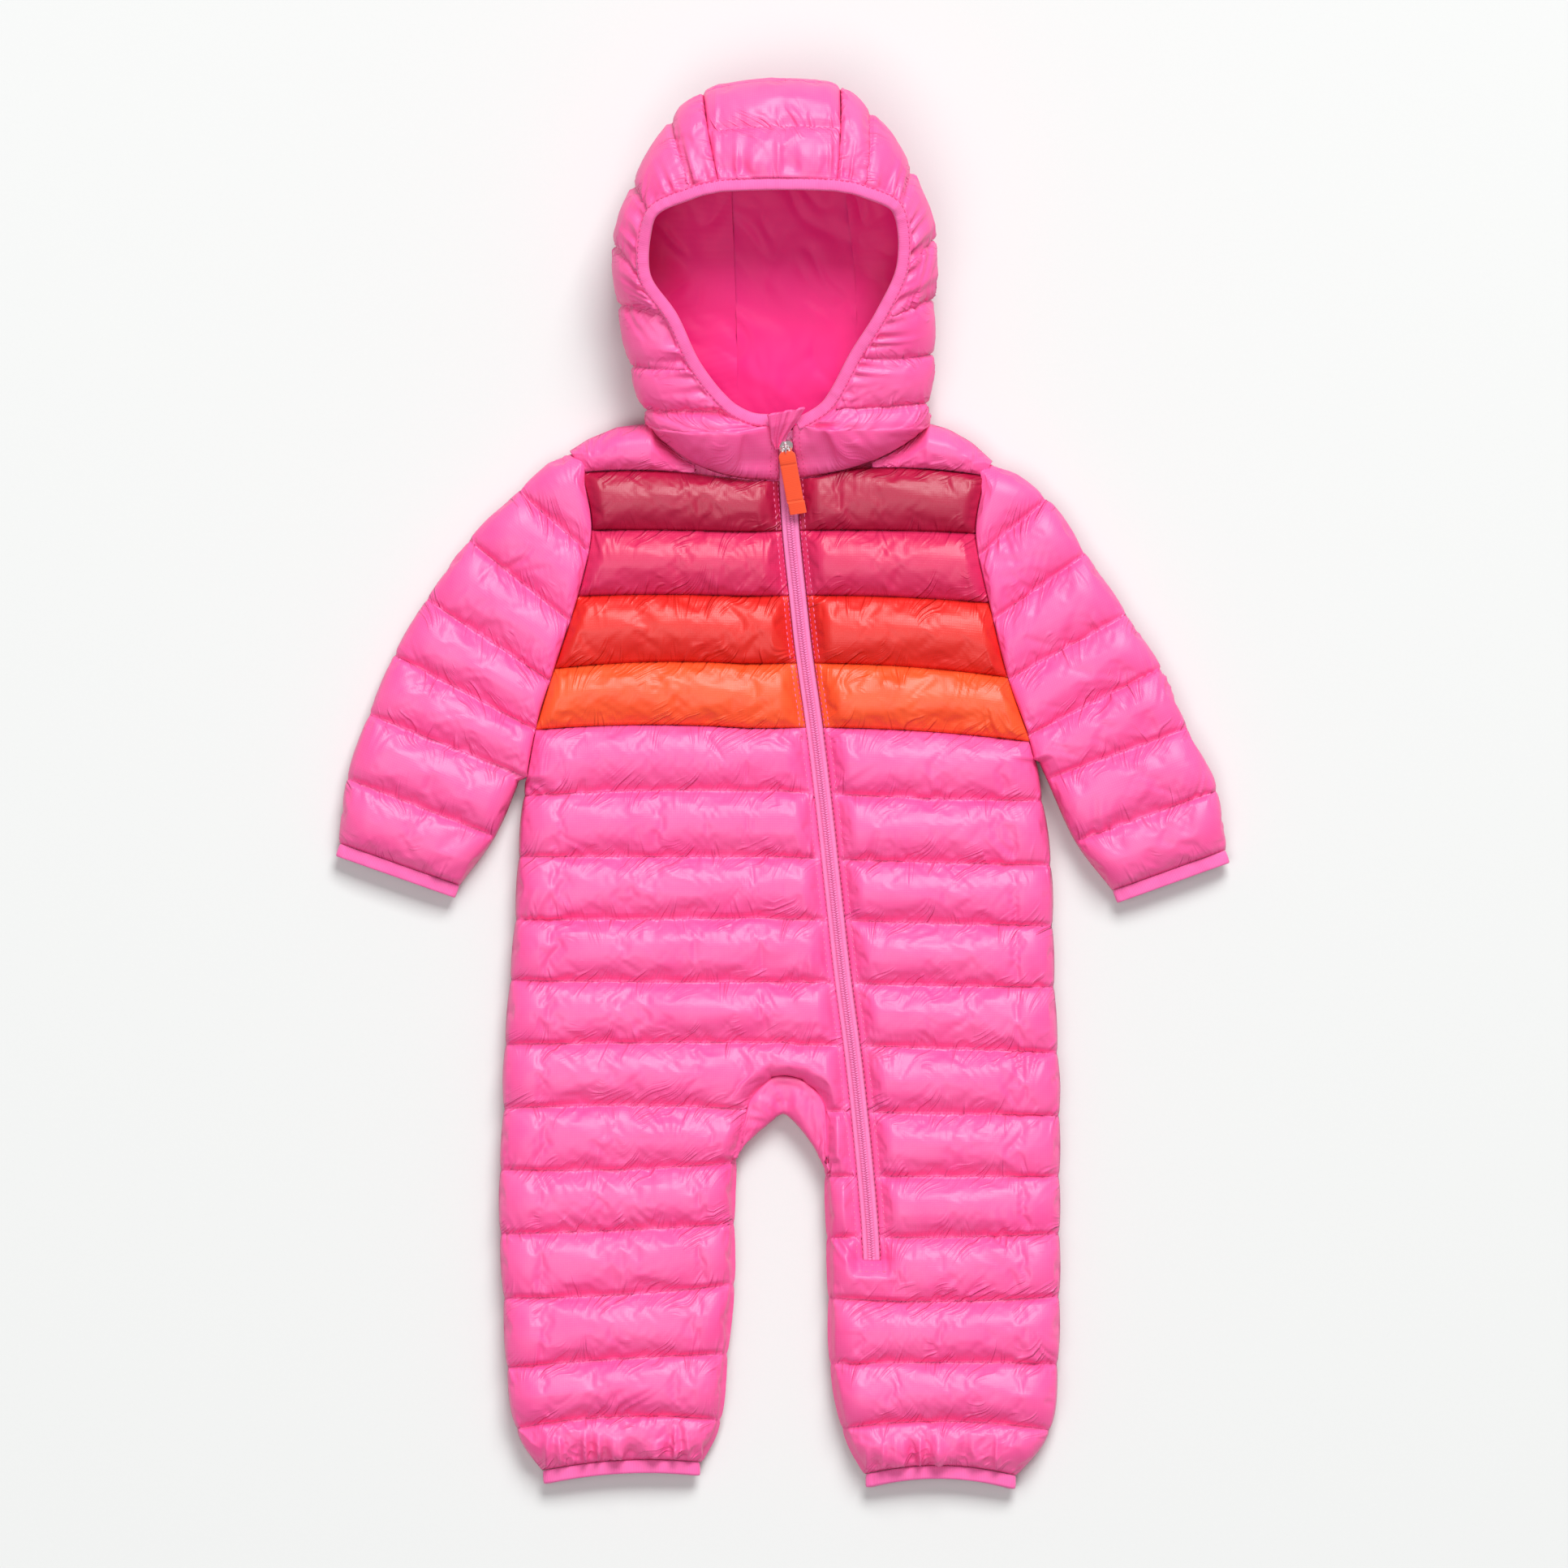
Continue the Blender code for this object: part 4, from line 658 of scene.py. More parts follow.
    def row_at(self, value: float) -> np.ndarray:
        """The points of the grid row that lies on quilt line value."""
        number = int(np.argmin(np.abs(self.line.mean(axis=1) - value)))
        return self.points[number]


def doubled(values: np.ndarray, axis: int, curved: bool = False) -> np.ndarray:
    """A grid with new points halfway between its points along one axis.

    Args:
        values: the grid.
        axis: the axis.
        curved: whether new points lie on a curve, not on a chord.

    Returns:
        The finer grid.
    """
    values = np.moveaxis(np.asarray(values, float), axis, 0)
    middle = (values[:-1] + values[1:]) / 2
    if curved:
        before = np.concatenate([2 * values[:1] - values[1:2], values[:-2]])
        after = np.concatenate([values[2:], 2 * values[-1:] - values[-2:-1]])
        middle = (9 * (values[:-1] + values[1:]) - before - after) / 16
    result = np.empty((2 * len(values) - 1, *values.shape[1:]))
    result[::2], result[1::2] = values, middle
    return np.moveaxis(result, 0, axis)


CLOTH_SETTINGS = {
    "quality": 6,
    "mass": 0.1,
    "tension_stiffness": 15.0,
    "compression_stiffness": 15.0,
    "shear_stiffness": 8.0,
    "bending_stiffness": 0.02,
    "vertex_group_mass": "sewn",
    "use_pressure": True,
    "shrink_min": -0.01,
}


def simulate(sheet: Sheet, recipe: Inflation) -> np.ndarray:
    """Runs Blender's cloth on a sheet.

    Args:
        sheet: the cloth, held where it is sewn.
        recipe: pressure, surplus and the rest.

    Returns:
        The sheet's points after the last frame, in millimetres.
    """
    mesh = bpy.data.meshes.new("cloth")
    flat = sheet.points.reshape(-1, 3)
    mesh.from_pydata((flat * MM).tolist(), [], sheet.faces().tolist())
    cloth = bpy.data.objects.new("cloth", mesh)
    bpy.context.scene.collection.objects.link(cloth)
    group = cloth.vertex_groups.new(name="sewn")
    group.add(np.flatnonzero(sheet.held.ravel() > 0.5).tolist(), 1.0, "REPLACE")
    cloth.shape_key_add(name="Basis")
    cut = cloth.shape_key_add(name="cut")
    drift = Noise(recipe.seed).at(sheet.along / 22.0, sheet.line * 2.1)
    rise = Noise(recipe.seed + 50).at(sheet.along / 17.0, sheet.line * 2.7)
    across = unit(np.gradient(sheet.points, axis=1))
    down = unit(np.gradient(sheet.points, axis=0))
    start = sheet.points[:, :1]
    rest = start + (1 + recipe.surplus) * (sheet.points - start)
    rest += recipe.drift * (drift[..., None] * across + 0.35 * rise[..., None] * down)
    cut.data.foreach_set("co", (rest * MM).ravel())
    modifier = cloth.modifiers.new("cloth", "CLOTH")
    settings = {**CLOTH_SETTINGS, "uniform_pressure_force": recipe.pressure, "rest_shape_key": cut}
    for key, value in settings.items():
        setattr(modifier.settings, key, value)
    modifier.settings.effector_weights.gravity = 0.0
    modifier.collision_settings.use_collision = False
    modifier.collision_settings.use_self_collision = False
    modifier.point_cache.frame_start = 1
    modifier.point_cache.frame_end = recipe.frames
    for number in range(1, recipe.frames + 1):
        bpy.context.scene.frame_set(number)
    evaluated = cloth.evaluated_get(bpy.context.evaluated_depsgraph_get())
    result = np.empty(len(flat) * 3, np.float32)
    evaluated.data.vertices.foreach_get("co", result)
    bpy.data.objects.remove(cloth)
    bpy.data.meshes.remove(mesh)
    bpy.context.scene.frame_set(1)
    return result.reshape(sheet.points.shape).astype(float) / MM


def new_object(name: str, points: np.ndarray, faces: Iterable, finish: "Finish") -> Object:
    """A mesh object from points in millimetres.

    Args:
        name: the object's name.
        points: its vertices, in the garment's own coordinates.
        faces: vertex numbers of each face.
        finish: what it is made of.

    Returns:
        The object, linked to the scene.
    """
    mesh = bpy.data.meshes.new(name)
    world = (np.asarray(points, float).reshape(-1, 3) - BOX_CENTRE) * MM
    mesh.from_pydata(world.tolist(), [], [[int(number) for number in face] for face in faces])
    mesh.shade_smooth()
    mesh.materials.append(finish.material())
    made = bpy.data.objects.new(name, mesh)
    bpy.context.scene.collection.objects.link(made)
    return made


def store_weave(made: Object, weave: np.ndarray) -> None:
    """Stores each point's position on the cloth, in millimetres, in a new or an old attribute."""
    found = made.data.attributes.get("cloth_mm")
    layer = found or made.data.attributes.new("cloth_mm", "FLOAT_VECTOR", "POINT")
    layer.data.foreach_set("vector", np.asarray(weave, np.float32).ravel())


def tube_faces(start: int, rings: int, sides: int, closed: bool = False) -> list[list[int]]:
    """Faces of a tube through rings of points.

    Args:
        start: number of its first point.
        rings: how many rings.
        sides: how many points in each ring.
        closed: whether the last ring joins the first. Otherwise its ends are filled.

    Returns:
        The point numbers of each face.
    """
    index = start + np.arange(rings * sides).reshape(rings, sides)
    ends = [] if closed else [index[0, ::-1].tolist(), index[-1].tolist()]
    index = np.column_stack([index, index[:, 0]])
    if closed:
        index = np.vstack([index, index[:1]])
    quads = np.stack([index[:-1, :-1], index[:-1, 1:], index[1:, 1:], index[1:, :-1]], -1)
    return quads.reshape(-1, 4).tolist() + ends


@dataclass(frozen=True)
class Cut:
    """What shows of a plain piece as cut: width, length and area in metres, and how it is held."""

    width: float
    length: float
    held: str
    rests_on: tuple[str, ...]
    area: Optional[float] = None


def dress(
    piece: Object,
    nodes: Sequence[str] = (),
    body: str = GARMENT,
) -> Object:
    """Ties a finished piece to the frame and logs it.

    Args:
        piece: the mesh object.
        nodes: the solids that it stands for.
        body: the body that it moves with.

    Returns:
        The piece.
    """
    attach(piece, body)
    if nodes:
        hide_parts(*nodes)
    LOG.info("%s: %d faces", piece.name, len(piece.data.polygons))
    return piece


def cloth_object(name: str, sheet: Sheet, finish: "Finish", hem: float = 3.0) -> Object:
    """A cloth piece from a sheet, its open edges turned in by a hem.

    Args:
        name: the object's name.
        sheet: the cloth.
        finish: what it is made of.
        hem: depth of the turned edge, in millimetres.

    Returns:
        The object, with the cloth's own coordinates stored on its points.
    """
    points, faces = sheet.points.reshape(-1, 3), sheet.faces()
    weave = np.stack([sheet.along, -sheet.line * BAFFLE_PITCH, 0 * sheet.line], -1).reshape(-1, 3)
    if hem:
        ring, border, lower = hem_of(sheet, faces, hem)
        faces, points = np.vstack([faces, border]), np.vstack([points, lower])
        weave = np.vstack([weave, weave[ring] + np.array([0.0, hem, 0.0])])
    above_floor = np.column_stack([points[:, :2], np.maximum(points[:, 2], 0.0)])
    made = new_object(name, above_floor, faces, finish)
    store_weave(made, weave)
    bm = bmesh.new()
    bm.from_mesh(made.data)
    bmesh.ops.delete(bm, geom=[vert for vert in bm.verts if not vert.link_faces], context="VERTS")
    bmesh.ops.remove_doubles(bm, verts=bm.verts, dist=2e-5)
    bm.to_mesh(made.data)
    bm.free()
    return made


def hem_of(sheet: Sheet, quads: np.ndarray, depth: float) -> tuple[np.ndarray, np.ndarray, np.ndarray]:
    """The border of a sheet, turned in.

    Args:
        sheet: the cloth.
        quads: its faces.
        depth: how far its edge is turned in.

    Returns:
        The border's point numbers, the new quads, and the new points below the border.
    """
    edges = np.concatenate([quads[:, [i, (i + 1) % 4]] for i in range(4)])
    _, first, count = np.unique(np.sort(edges, axis=1), axis=0, return_index=True, return_counts=True)
    border = edges[first[count == 1]]
    ring = np.unique(border)
    normals = sheet.normals().reshape(-1, 3)
    flat = sheet.points.reshape(-1, 3)
    lower = flat[ring] - normals[ring] * depth
    lower[:, 2] = np.maximum(lower[:, 2], 0.0)
    number = {int(vertex): sheet.line.size + i for i, vertex in enumerate(ring)}
    below = np.array([[number[int(a)], number[int(b)]] for a, b in border])
    return ring, np.column_stack([border[:, 1], border[:, 0], below[:, 0], below[:, 1]]), lower


# Finishes


def linear(colour: str, alpha: float = 1.0) -> tuple[float, float, float, float]:
    """Linear RGBA of an sRGB hex colour such as "#ff8800"."""
    channels = [int(colour[i : i + 2], 16) / 255 for i in (1, 3, 5)]
    return (*((c / 12.92 if c <= 0.04045 else ((c + 0.055) / 1.055) ** 2.4) for c in channels), alpha)


def add_node(tree: NodeTree, kind: str, inputs: object = (), **settings: object) -> Node:
    """Adds a node to a tree, with its settings and links.

    Args:
        tree: the material's nodes.
        kind: the node's type.
        inputs: values, sockets or nodes, in a list by order or in a dict by name or number. A node
            gives its first output.
        settings: the node's own properties.

    Returns:
        The node.
    """
    made = tree.nodes.new(kind)
    for key, value in settings.items():
        setattr(made, key, value)
    for key, value in inputs.items() if isinstance(inputs, dict) else enumerate(inputs):
        value = value.outputs[0] if isinstance(value, Node) else value
        if isinstance(value, NodeSocket):
            tree.links.new(value, made.inputs[key])
        else:
            made.inputs[key].default_value = value
    return made


@dataclass(frozen=True)
class Finish:
    """A material, made once and shared by the pieces that use it."""

    name: str
    colour: str

    def material(self) -> Material:
        """The material, made when it is first asked for.

        Returns:
            The material.
        """
        found = bpy.data.materials.get(self.name)
        if found is not None:
            return found
        made = bpy.data.materials.new(self.name)
        made.use_nodes = True
        made.node_tree.nodes.clear()
        add_node(made.node_tree, "ShaderNodeOutputMaterial", {"Surface": self.shade(made.node_tree)})
        return made

    def shade(self, tree: NodeTree) -> Node:
        """Builds the nodes and returns the shader."""
        raise NotImplementedError

    def cloth_position(self, tree: NodeTree) -> NodeSocket:
        """Position on the cloth in millimetres: along the quilt line, and across it."""
        return add_node(tree, "ShaderNodeAttribute", attribute_name="cloth_mm").outputs["Vector"]

    def object_position(self, tree: NodeTree) -> Node:
        """Position in the garment in millimetres."""
        source = add_node(tree, "ShaderNodeTexCoord").outputs["Object"]
        return add_node(tree, "ShaderNodeVectorMath", [source, (1000.0,) * 3], operation="MULTIPLY")

    def ribs(self, tree: NodeTree, position: NodeSocket, axis: str, pitch: float, width: float) -> Node:
        """Ridges across one axis of the cloth.

        Args:
            tree: the material's nodes.
            position: position in millimetres.
            axis: "X" or "Y".
            pitch: distance between ridges, in millimetres.
            width: half a ridge's width.

        Returns:
            1 on each ridge and 0 between them.
        """
        split = add_node(tree, "ShaderNodeSeparateXYZ", [position])
        folded = add_node(tree, "ShaderNodeMath", [split.outputs[axis], pitch / 2], operation="PINGPONG")
        return add_node(tree, "ShaderNodeMapRange", [folded, 0.0, width, 1.0, 0.0], interpolation_type="SMOOTHSTEP")


@dataclass(frozen=True)
class RipstopNylon(Finish):
    """Downproof ripstop nylon: thin, calendered to a soft gloss, with a fine raised grid.

    The calendering gives the eye wide soft highlights, and the grid a faint regular check.
    """

    glow: str = "#ff9cc9"  # what the cloth's bright side turns to
    roughness: float = 0.42
    sheen: float = 0.05
    grid_pitch: float = 1.3  # the real grid is about 1 mm: drawn a little coarser, to show at this size
    grid_line: float = 0.24
    grid_height: float = 0.022
    gather_height: float = 2.88
    crease_height: float = 0.5

    def gathers(self, tree: NodeTree, cloth: NodeSocket) -> Node:
        """Sharp uneven puckers that start on each quilt line and run out into the baffles.

        Args:
            tree: the material's nodes.
            cloth: position on the cloth in millimetres.

        Returns:
            Their height, from 0 to 1.
        """
        half = BAFFLE_PITCH / 2
        split = add_node(tree, "ShaderNodeSeparateXYZ", [cloth])
        across, down = split.outputs["X"], split.outputs["Y"]
        signed = add_node(tree, "ShaderNodeMath", [down, half, -half], operation="WRAP")
        away = add_node(tree, "ShaderNodeMath", [signed], operation="ABSOLUTE")
        halves = add_node(tree, "ShaderNodeMath", [down, half], operation="DIVIDE")
        strip = add_node(tree, "ShaderNodeMath", [halves], operation="FLOOR")
        apart = add_node(tree, "ShaderNodeMath", [strip, 71.0], operation="MULTIPLY")
        wide = add_node(tree, "ShaderNodeCombineXYZ", [across, apart])
        lean = add_node(tree, "ShaderNodeTexNoise", {"Vector": wide, "Scale": 0.04, "Detail": 0.0})
        tilt = add_node(tree, "ShaderNodeMapRange", [lean, 0.3, 0.7, 0.3, -2.0])
        slanted = add_node(tree, "ShaderNodeMath", [signed, tilt, across], operation="MULTIPLY_ADD")
        spread = add_node(tree, "ShaderNodeMath", [away, 0.06], operation="MULTIPLY")
        row = add_node(tree, "ShaderNodeMath", [strip, 13.7, spread], operation="MULTIPLY_ADD")
        at = add_node(tree, "ShaderNodeCombineXYZ", [slanted, row])
        wave = add_node(tree, "ShaderNodeTexNoise", {"Vector": at, "Scale": 0.26, "Detail": 1.0})
        ridge = add_node(tree, "ShaderNodeMath", [wave, 0.5], operation="SUBTRACT")
        uneven = add_node(tree, "ShaderNodeTexNoise", {"Vector": wide, "Scale": 0.09, "Detail": 1.0})
        reach = add_node(tree, "ShaderNodeMapRange", [uneven, 0.32, 0.7, 3.0, 20.0])
        fade = add_node(tree, "ShaderNodeMapRange", [away, 0.0, reach, 1.0, 0.0], interpolation_type="SMOOTHSTEP")
        steep = add_node(tree, "ShaderNodeMath", [ridge], operation="ABSOLUTE")
        pointed = add_node(tree, "ShaderNodeMath", [steep, 0.7, ridge], operation="MULTIPLY_ADD")
        return add_node(tree, "ShaderNodeMath", [pointed, fade], operation="MULTIPLY")

    def shade(self, tree: NodeTree) -> Node:
        """Ripstop grid, faint clouding and fine creases over a glossy woven base.

        Args:
            tree: the material's nodes.

        Returns:
            The shader.
        """
        cloth = self.cloth_position(tree)
        place = self.object_position(tree)
        ribs = [self.ribs(tree, cloth, axis, self.grid_pitch, self.grid_line) for axis in "XY"]
        grid = add_node(tree, "ShaderNodeMath", ribs, operation="MAXIMUM")
        clouds = add_node(tree, "ShaderNodeTexNoise", {"Vector": place, "Scale": 0.045, "Detail": 3.0})
        threads = add_node(tree, "ShaderNodeTexNoise", {"Vector": cloth, "Scale": 1.9, "Detail": 2.0})
        cloudy = add_node(tree, "ShaderNodeMapRange", [clouds, 0.3, 0.7, 0.0, 0.16])
        weave = add_node(tree, "ShaderNodeMath", [grid, 0.11, cloudy], operation="MULTIPLY_ADD")
        fleck = add_node(tree, "ShaderNodeMath", [threads, 0.10, weave], operation="MULTIPLY_ADD")
        colour = add_node(
            tree,
            "ShaderNodeMix",
            {0: fleck, 6: linear(self.colour), 7: linear(self.glow)},
            data_type="RGBA",
        )
        slanted = add_node(
            tree,
            "ShaderNodeMapping",
            {"Vector": cloth, "Rotation": (0.0, 0.0, -0.75), "Scale": (1.0, 2.8, 1.0)},
            vector_type="TEXTURE",
        )
        creases = add_node(
            tree,
            "ShaderNodeTexNoise",
            {"Vector": slanted, "Scale": 0.15, "Detail": 2.0, "Roughness": 0.5, "Distortion": 0.5},
            noise_type="RIDGED_MULTIFRACTAL",
        )
        raised = add_node(
            tree, "ShaderNodeBump", {"Height": creases, "Distance": self.crease_height * MM, "Strength": 0.35}
        )
        gathers = self.gathers(tree, cloth)
        for height, depth in ((gathers, self.gather_height), (grid, self.grid_height)):
            raised = add_node(tree, "ShaderNodeBump", {"Height": height, "Distance": depth * MM, "Normal": raised})
        return add_node(
            tree,
            "ShaderNodeBsdfPrincipled",
            {
                "Base Color": colour.outputs[2],
                "Roughness": self.roughness,
                "Sheen Weight": self.sheen,
                "Sheen Tint": linear(self.glow),
                "Sheen Roughness": 0.4,
                "Normal": raised,
            },
        )


@dataclass(frozen=True)
class WovenCloth(Finish):
    """Plain woven or knitted polyester: matt, with ribs in one or both directions.

    The ribs give the eye a fine stripe or check and a soft edge to each highlight. The colour between the ribs is
    painted shade.
    """

    rib_x: float = 0.0
    rib_y: float = 1.0
    height: float = 0.12
    roughness: float = 0.7
    sheen: float = 0.25
    gloss: float = 0.5
    shadow: str = ""  # colour of the painted shade between the ribs, which random patches also take

    def shade(self, tree: NodeTree) -> Node:
        """Ribs with painted shade between them, and a little unevenness over a matt base.

        Args:
            tree: the material's nodes.

        Returns:
            The shader.
        """
        cloth = self.cloth_position(tree)
        place = self.object_position(tree)
        pitches = [(axis, pitch) for axis, pitch in (("X", self.rib_x), ("Y", self.rib_y)) if pitch]
        ribs = [self.ribs(tree, cloth, axis, pitch, pitch * 0.42) for axis, pitch in pitches]
        woven = add_node(tree, "ShaderNodeMath", ribs, operation="MULTIPLY") if len(ribs) > 1 else ribs[0]
        clouds = add_node(tree, "ShaderNodeTexNoise", {"Vector": place, "Scale": 0.12, "Detail": 4.0})
        mixed = add_node(tree, "ShaderNodeMath", [woven, 0.75, clouds], operation="MULTIPLY_ADD")
        share = add_node(tree, "ShaderNodeMapRange", [mixed, 0.3, 1.2])
        colour = add_node(
            tree,
            "ShaderNodeMix",
            {0: share, 6: linear(self.shadow or self.colour), 7: linear(self.colour)},
            data_type="RGBA",
        )
        raised = add_node(tree, "ShaderNodeBump", {"Height": woven, "Distance": self.height * MM})
        return add_node(
            tree,
            "ShaderNodeBsdfPrincipled",
            {
                "Base Color": colour.outputs[2],
                "Roughness": self.roughness,
                "Specular IOR Level": self.gloss,
                "Sheen Weight": self.sheen,
                "Sheen Roughness": 0.5,
                "Normal": raised,
            },
        )


@dataclass(frozen=True)
class MouldedNylon(Finish):
    """Extruded nylon monofilament: smooth and slightly glossy, which gives each coil a small glint."""

    roughness: float = 0.34

    def shade(self, tree: NodeTree) -> Node:
        """A glossy plastic with a faint tint change.

        Args:
            tree: the material's nodes.

        Returns:
            The shader.
        """
        place = self.object_position(tree)
        tint = add_node(tree, "ShaderNodeTexNoise", {"Vector": place, "Scale": 0.35, "Detail": 2.0})
        value = add_node(tree, "ShaderNodeMapRange", {"Value": tint, "To Min": 0.88, "To Max": 1.1})
        colour = add_node(tree, "ShaderNodeHueSaturation", {"Value": value, "Color": linear(self.colour)})
        return add_node(
            tree, "ShaderNodeBsdfPrincipled", {"Base Color": colour, "Roughness": self.roughness, "IOR": 1.53}
        )


@dataclass(frozen=True)
class PlatedZinc(Finish):
    """Die-cast zinc, tumbled and nickel-plated: bright with slightly uneven, worn gloss."""

    roughness: float = 0.34

    def shade(self, tree: NodeTree) -> Node:
        """Polished plating over a faintly pitted casting.

        Args:
            tree: the material's nodes.

        Returns:
            The shader.
        """
        place = self.object_position(tree)
        pits = add_node(tree, "ShaderNodeTexNoise", {"Vector": place, "Scale": 1.6, "Detail": 5.0})
        limits = {"To Min": self.roughness - 0.08, "To Max": self.roughness + 0.14}
        gloss = add_node(tree, "ShaderNodeMapRange", {"Value": pits, **limits})
        bump = add_node(tree, "ShaderNodeBump", {"Height": pits, "Distance": 0.04 * MM})
        return add_node(
            tree,
            "ShaderNodeBsdfPrincipled",
            {"Base Color": linear(self.colour), "Metallic": 1.0, "Roughness": gloss, "Normal": bump},
        )


@dataclass(frozen=True)
class SpunThread(Finish):
    """Twisted polyester sewing thread: fine, with a dull silky gloss along each stitch."""

    roughness: float = 0.5

    def shade(self, tree: NodeTree) -> Node:
        """A silky thread with a twist that shows as a faint slanting bump.

        Args:
            tree: the material's nodes.

        Returns:
            The shader.
        """
        waves = {"Vector": self.object_position(tree), "Scale": 0.55, "Distortion": 1.0}
        twist = add_node(tree, "ShaderNodeTexWave", waves, bands_direction="DIAGONAL")
        bump = add_node(tree, "ShaderNodeBump", {"Height": twist.outputs["Fac"], "Distance": 0.08 * MM})
        return add_node(
            tree,
            "ShaderNodeBsdfPrincipled",
            {"Base Color": linear(self.colour), "Roughness": self.roughness, "Sheen Weight": 0.2, "Normal": bump},
        )


@dataclass(frozen=True)
class PaperSweep(Finish):
    """Pale seamless background paper: matt, almost white."""

    def shade(self, tree: NodeTree) -> Node:
        """A matt surface with a barely visible grain.

        Args:
            tree: the material's nodes.

        Returns:
            The shader.
        """
        place = self.object_position(tree)
        grain = add_node(tree, "ShaderNodeTexNoise", {"Vector": place, "Scale": 0.5, "Detail": 3.0})
        tone = add_node(tree, "ShaderNodeMapRange", {"Value": grain, "To Min": 0.99, "To Max": 1.01})
        colour = add_node(tree, "ShaderNodeHueSaturation", {"Value": tone, "Color": linear(self.colour)})
        return add_node(tree, "ShaderNodeBsdfPrincipled", {"Base Color": colour, "Roughness": 0.9})


PINK_SHELL = RipstopNylon("pink_ripstop", "#f94a98", "#ff90be")
PLAIN_SHELL = RipstopNylon("plain_pink_ripstop", "#f94a98", "#ff90be", gather_height=0.0)
STRIPE_SHELLS = {
    "dark_berry": RipstopNylon("dark_berry_ripstop", "#a80636", "#bd2a5a"),
    "berry": RipstopNylon("berry_ripstop", "#d01752", "#ea5486"),
    "red": RipstopNylon("red_ripstop", "#d81618", "#ea4630"),
    "orange": RipstopNylon("orange_ripstop", "#f6451b", "#ff864a"),
}
LINING = WovenCloth("magenta_taffeta", "#ec2680", rib_y=0.9, height=0.03, roughness=0.5, sheen=0.0, gloss=0.2)
BINDING = WovenCloth("pink_elastic_knit", "#fa6cb1", rib_x=0.9, rib_y=0.0, height=0.10, shadow="#ee559f")
ZIP_TAPE = WovenCloth("pink_twill_tape", "#f284bb", rib_x=0.9, rib_y=0.7, height=0.06, shadow="#e573ac")
ZIP_COIL = MouldedNylon("pink_nylon_coil", "#ee7cb6")
# The plating's faint pink tint is painted reflection of the pink cloth round it.
ZIP_METAL = PlatedZinc("nickel_plated_zinc", "#f4ecee")
WEBBING = WovenCloth("orange_grosgrain", "#fa5324", rib_y=0.9, height=0.05, roughness=0.75, shadow="#f04a1e")
PINK_THREAD = SpunThread("pink_thread", "#e8408c")
PALE_THREAD = SpunThread("pale_pink_thread", "#ea6ba2")
PAPER = PaperSweep("studio_paper", "#dadbda")


# Stitches


@dataclass
class Threads:
    """Rows of stitches, gathered into one mesh.

    Attributes:
        name: the mesh's name.
        finish: the thread.
        slot: name of a material slot, not used.
        length: visible length of a stitch, in millimetres.
        gap: cloth between two stitches.
        radius: half the thread's thickness.
    """

    name: str
    finish: Finish
    slot: str
    length: float = 2.3
    gap: float = 0.9
    radius: float = 0.24
    paths: list[np.ndarray] = field(default_factory=list)

    def add(self, path: np.ndarray) -> None:
        """Adds a row of stitches along a path on the cloth."""
        self.paths.append(np.asarray(path, float))

    def build(self) -> Object:
        """The mesh of all stitches, each a short thread whose ends dip into the cloth.

        Returns:
            The dressed piece.
        """
        points, faces = [], []
        sides, shares = 5, np.array([0.0, 0.18, 0.5, 0.82, 1.0])
        widths = np.array([0.35, 0.95, 1.1, 0.95, 0.35]) * self.radius
        dips = np.array([-0.28, 0.02, 0.14, 0.02, -0.28])
        turns = -np.linspace(0, 2 * np.pi, sides, endpoint=False)
        for path in self.paths:
            run = run_along(path)
            for start in np.arange(0.6, run[-1] - self.length, self.length + self.gap):
                centre = resampled(path, run, start + shares * self.length)
                ahead = unit(centre[-1] - centre[0])
                side = unit(np.cross(ahead, (0.0, 0.0, 1.0)))
                up = np.cross(side, ahead)
                ring = side[None, None] * np.cos(turns)[None, :, None] + up[None, None] * np.sin(turns)[None, :, None]
                body = centre[:, None] + up * dips[:, None, None] + ring * widths[:, None, None]
                faces += tube_faces(len(points) * len(shares) * sides, len(shares), sides)
                points.append(body.reshape(-1, 3))
        return dress(new_object(self.name, np.concatenate(points), faces, self.finish))


QUILTING = Threads("quilting_stitches", PINK_THREAD, "pink_shell")
TOPSTITCH = Threads("topstitches", PALE_THREAD, "pink_shell", length=2.4, gap=1.1, radius=0.27)


# Form of the trunk and the legs

MID_PLANE = 14.7  # height of the side seams
EDGE_LIP = 0.25  # half of a side seam's thickness
SEAM_RISE = 5.8  # a quilt line's height over the side seams
PUFF = 9.4  # a baffle's rise over its quilt lines
SCALLOP = 1.2  # a baffle's bulge at a side seam
GROOVE = 1.2  # a quilt line's height off the floor, on the back
SIDE_ROLL = 20.0  # width over which an edge turns down, here and below
SEAM_ROLL = 9.0
LEG_ROLL = 16.0
ZIP_ROLL = 14.0
ZIP_END_FADE = 0.3  # baffles over which the zip's groove ends
TOPSTITCH_CREASE = 0.14  # depth of the dent along a topstitch, as a share of the rise
CREASE_WIDTH = 1.6  # width of that dent
ARMHOLE_RISE = 3.0  # a baffle's extra height at the armhole
END_HEIGHT = 9.0  # a cuff's or ankle's middle, off the floor
END_SLIT = 1.7  # half of its open height
SEAM_GAP = 0.12  # between two pieces
ZIP_HALF_OPENING = 5.3  # from the zip's centre to the cloth
ZIP_MARGIN = 3.3  # from there to the topstitch
ARCH_FLOOR_Y = -222.0  # lowest point of the gusset's seam
ANKLE_GATHER = 3.6  # height of the ankle's folds
STRIPES = {1: "dark_berry", 2: "berry", 3: "red", 4: "orange"}
ROWS_PER_BAFFLE = 14


def sewn(grid: np.ndarray, rows: object, columns: object) -> np.ndarray:
    """Which points of a grid are sewn down: 1 on these rows and columns, 0 elsewhere.

    Args:
        grid: the points.
        rows: rows that are sewn.
        columns: columns that are sewn.

    Returns:
        1 or 0 at each point.
    """
    held = np.zeros(grid.shape[:2])
    held[rows] = 1
    held[:, columns] = 1
    return held


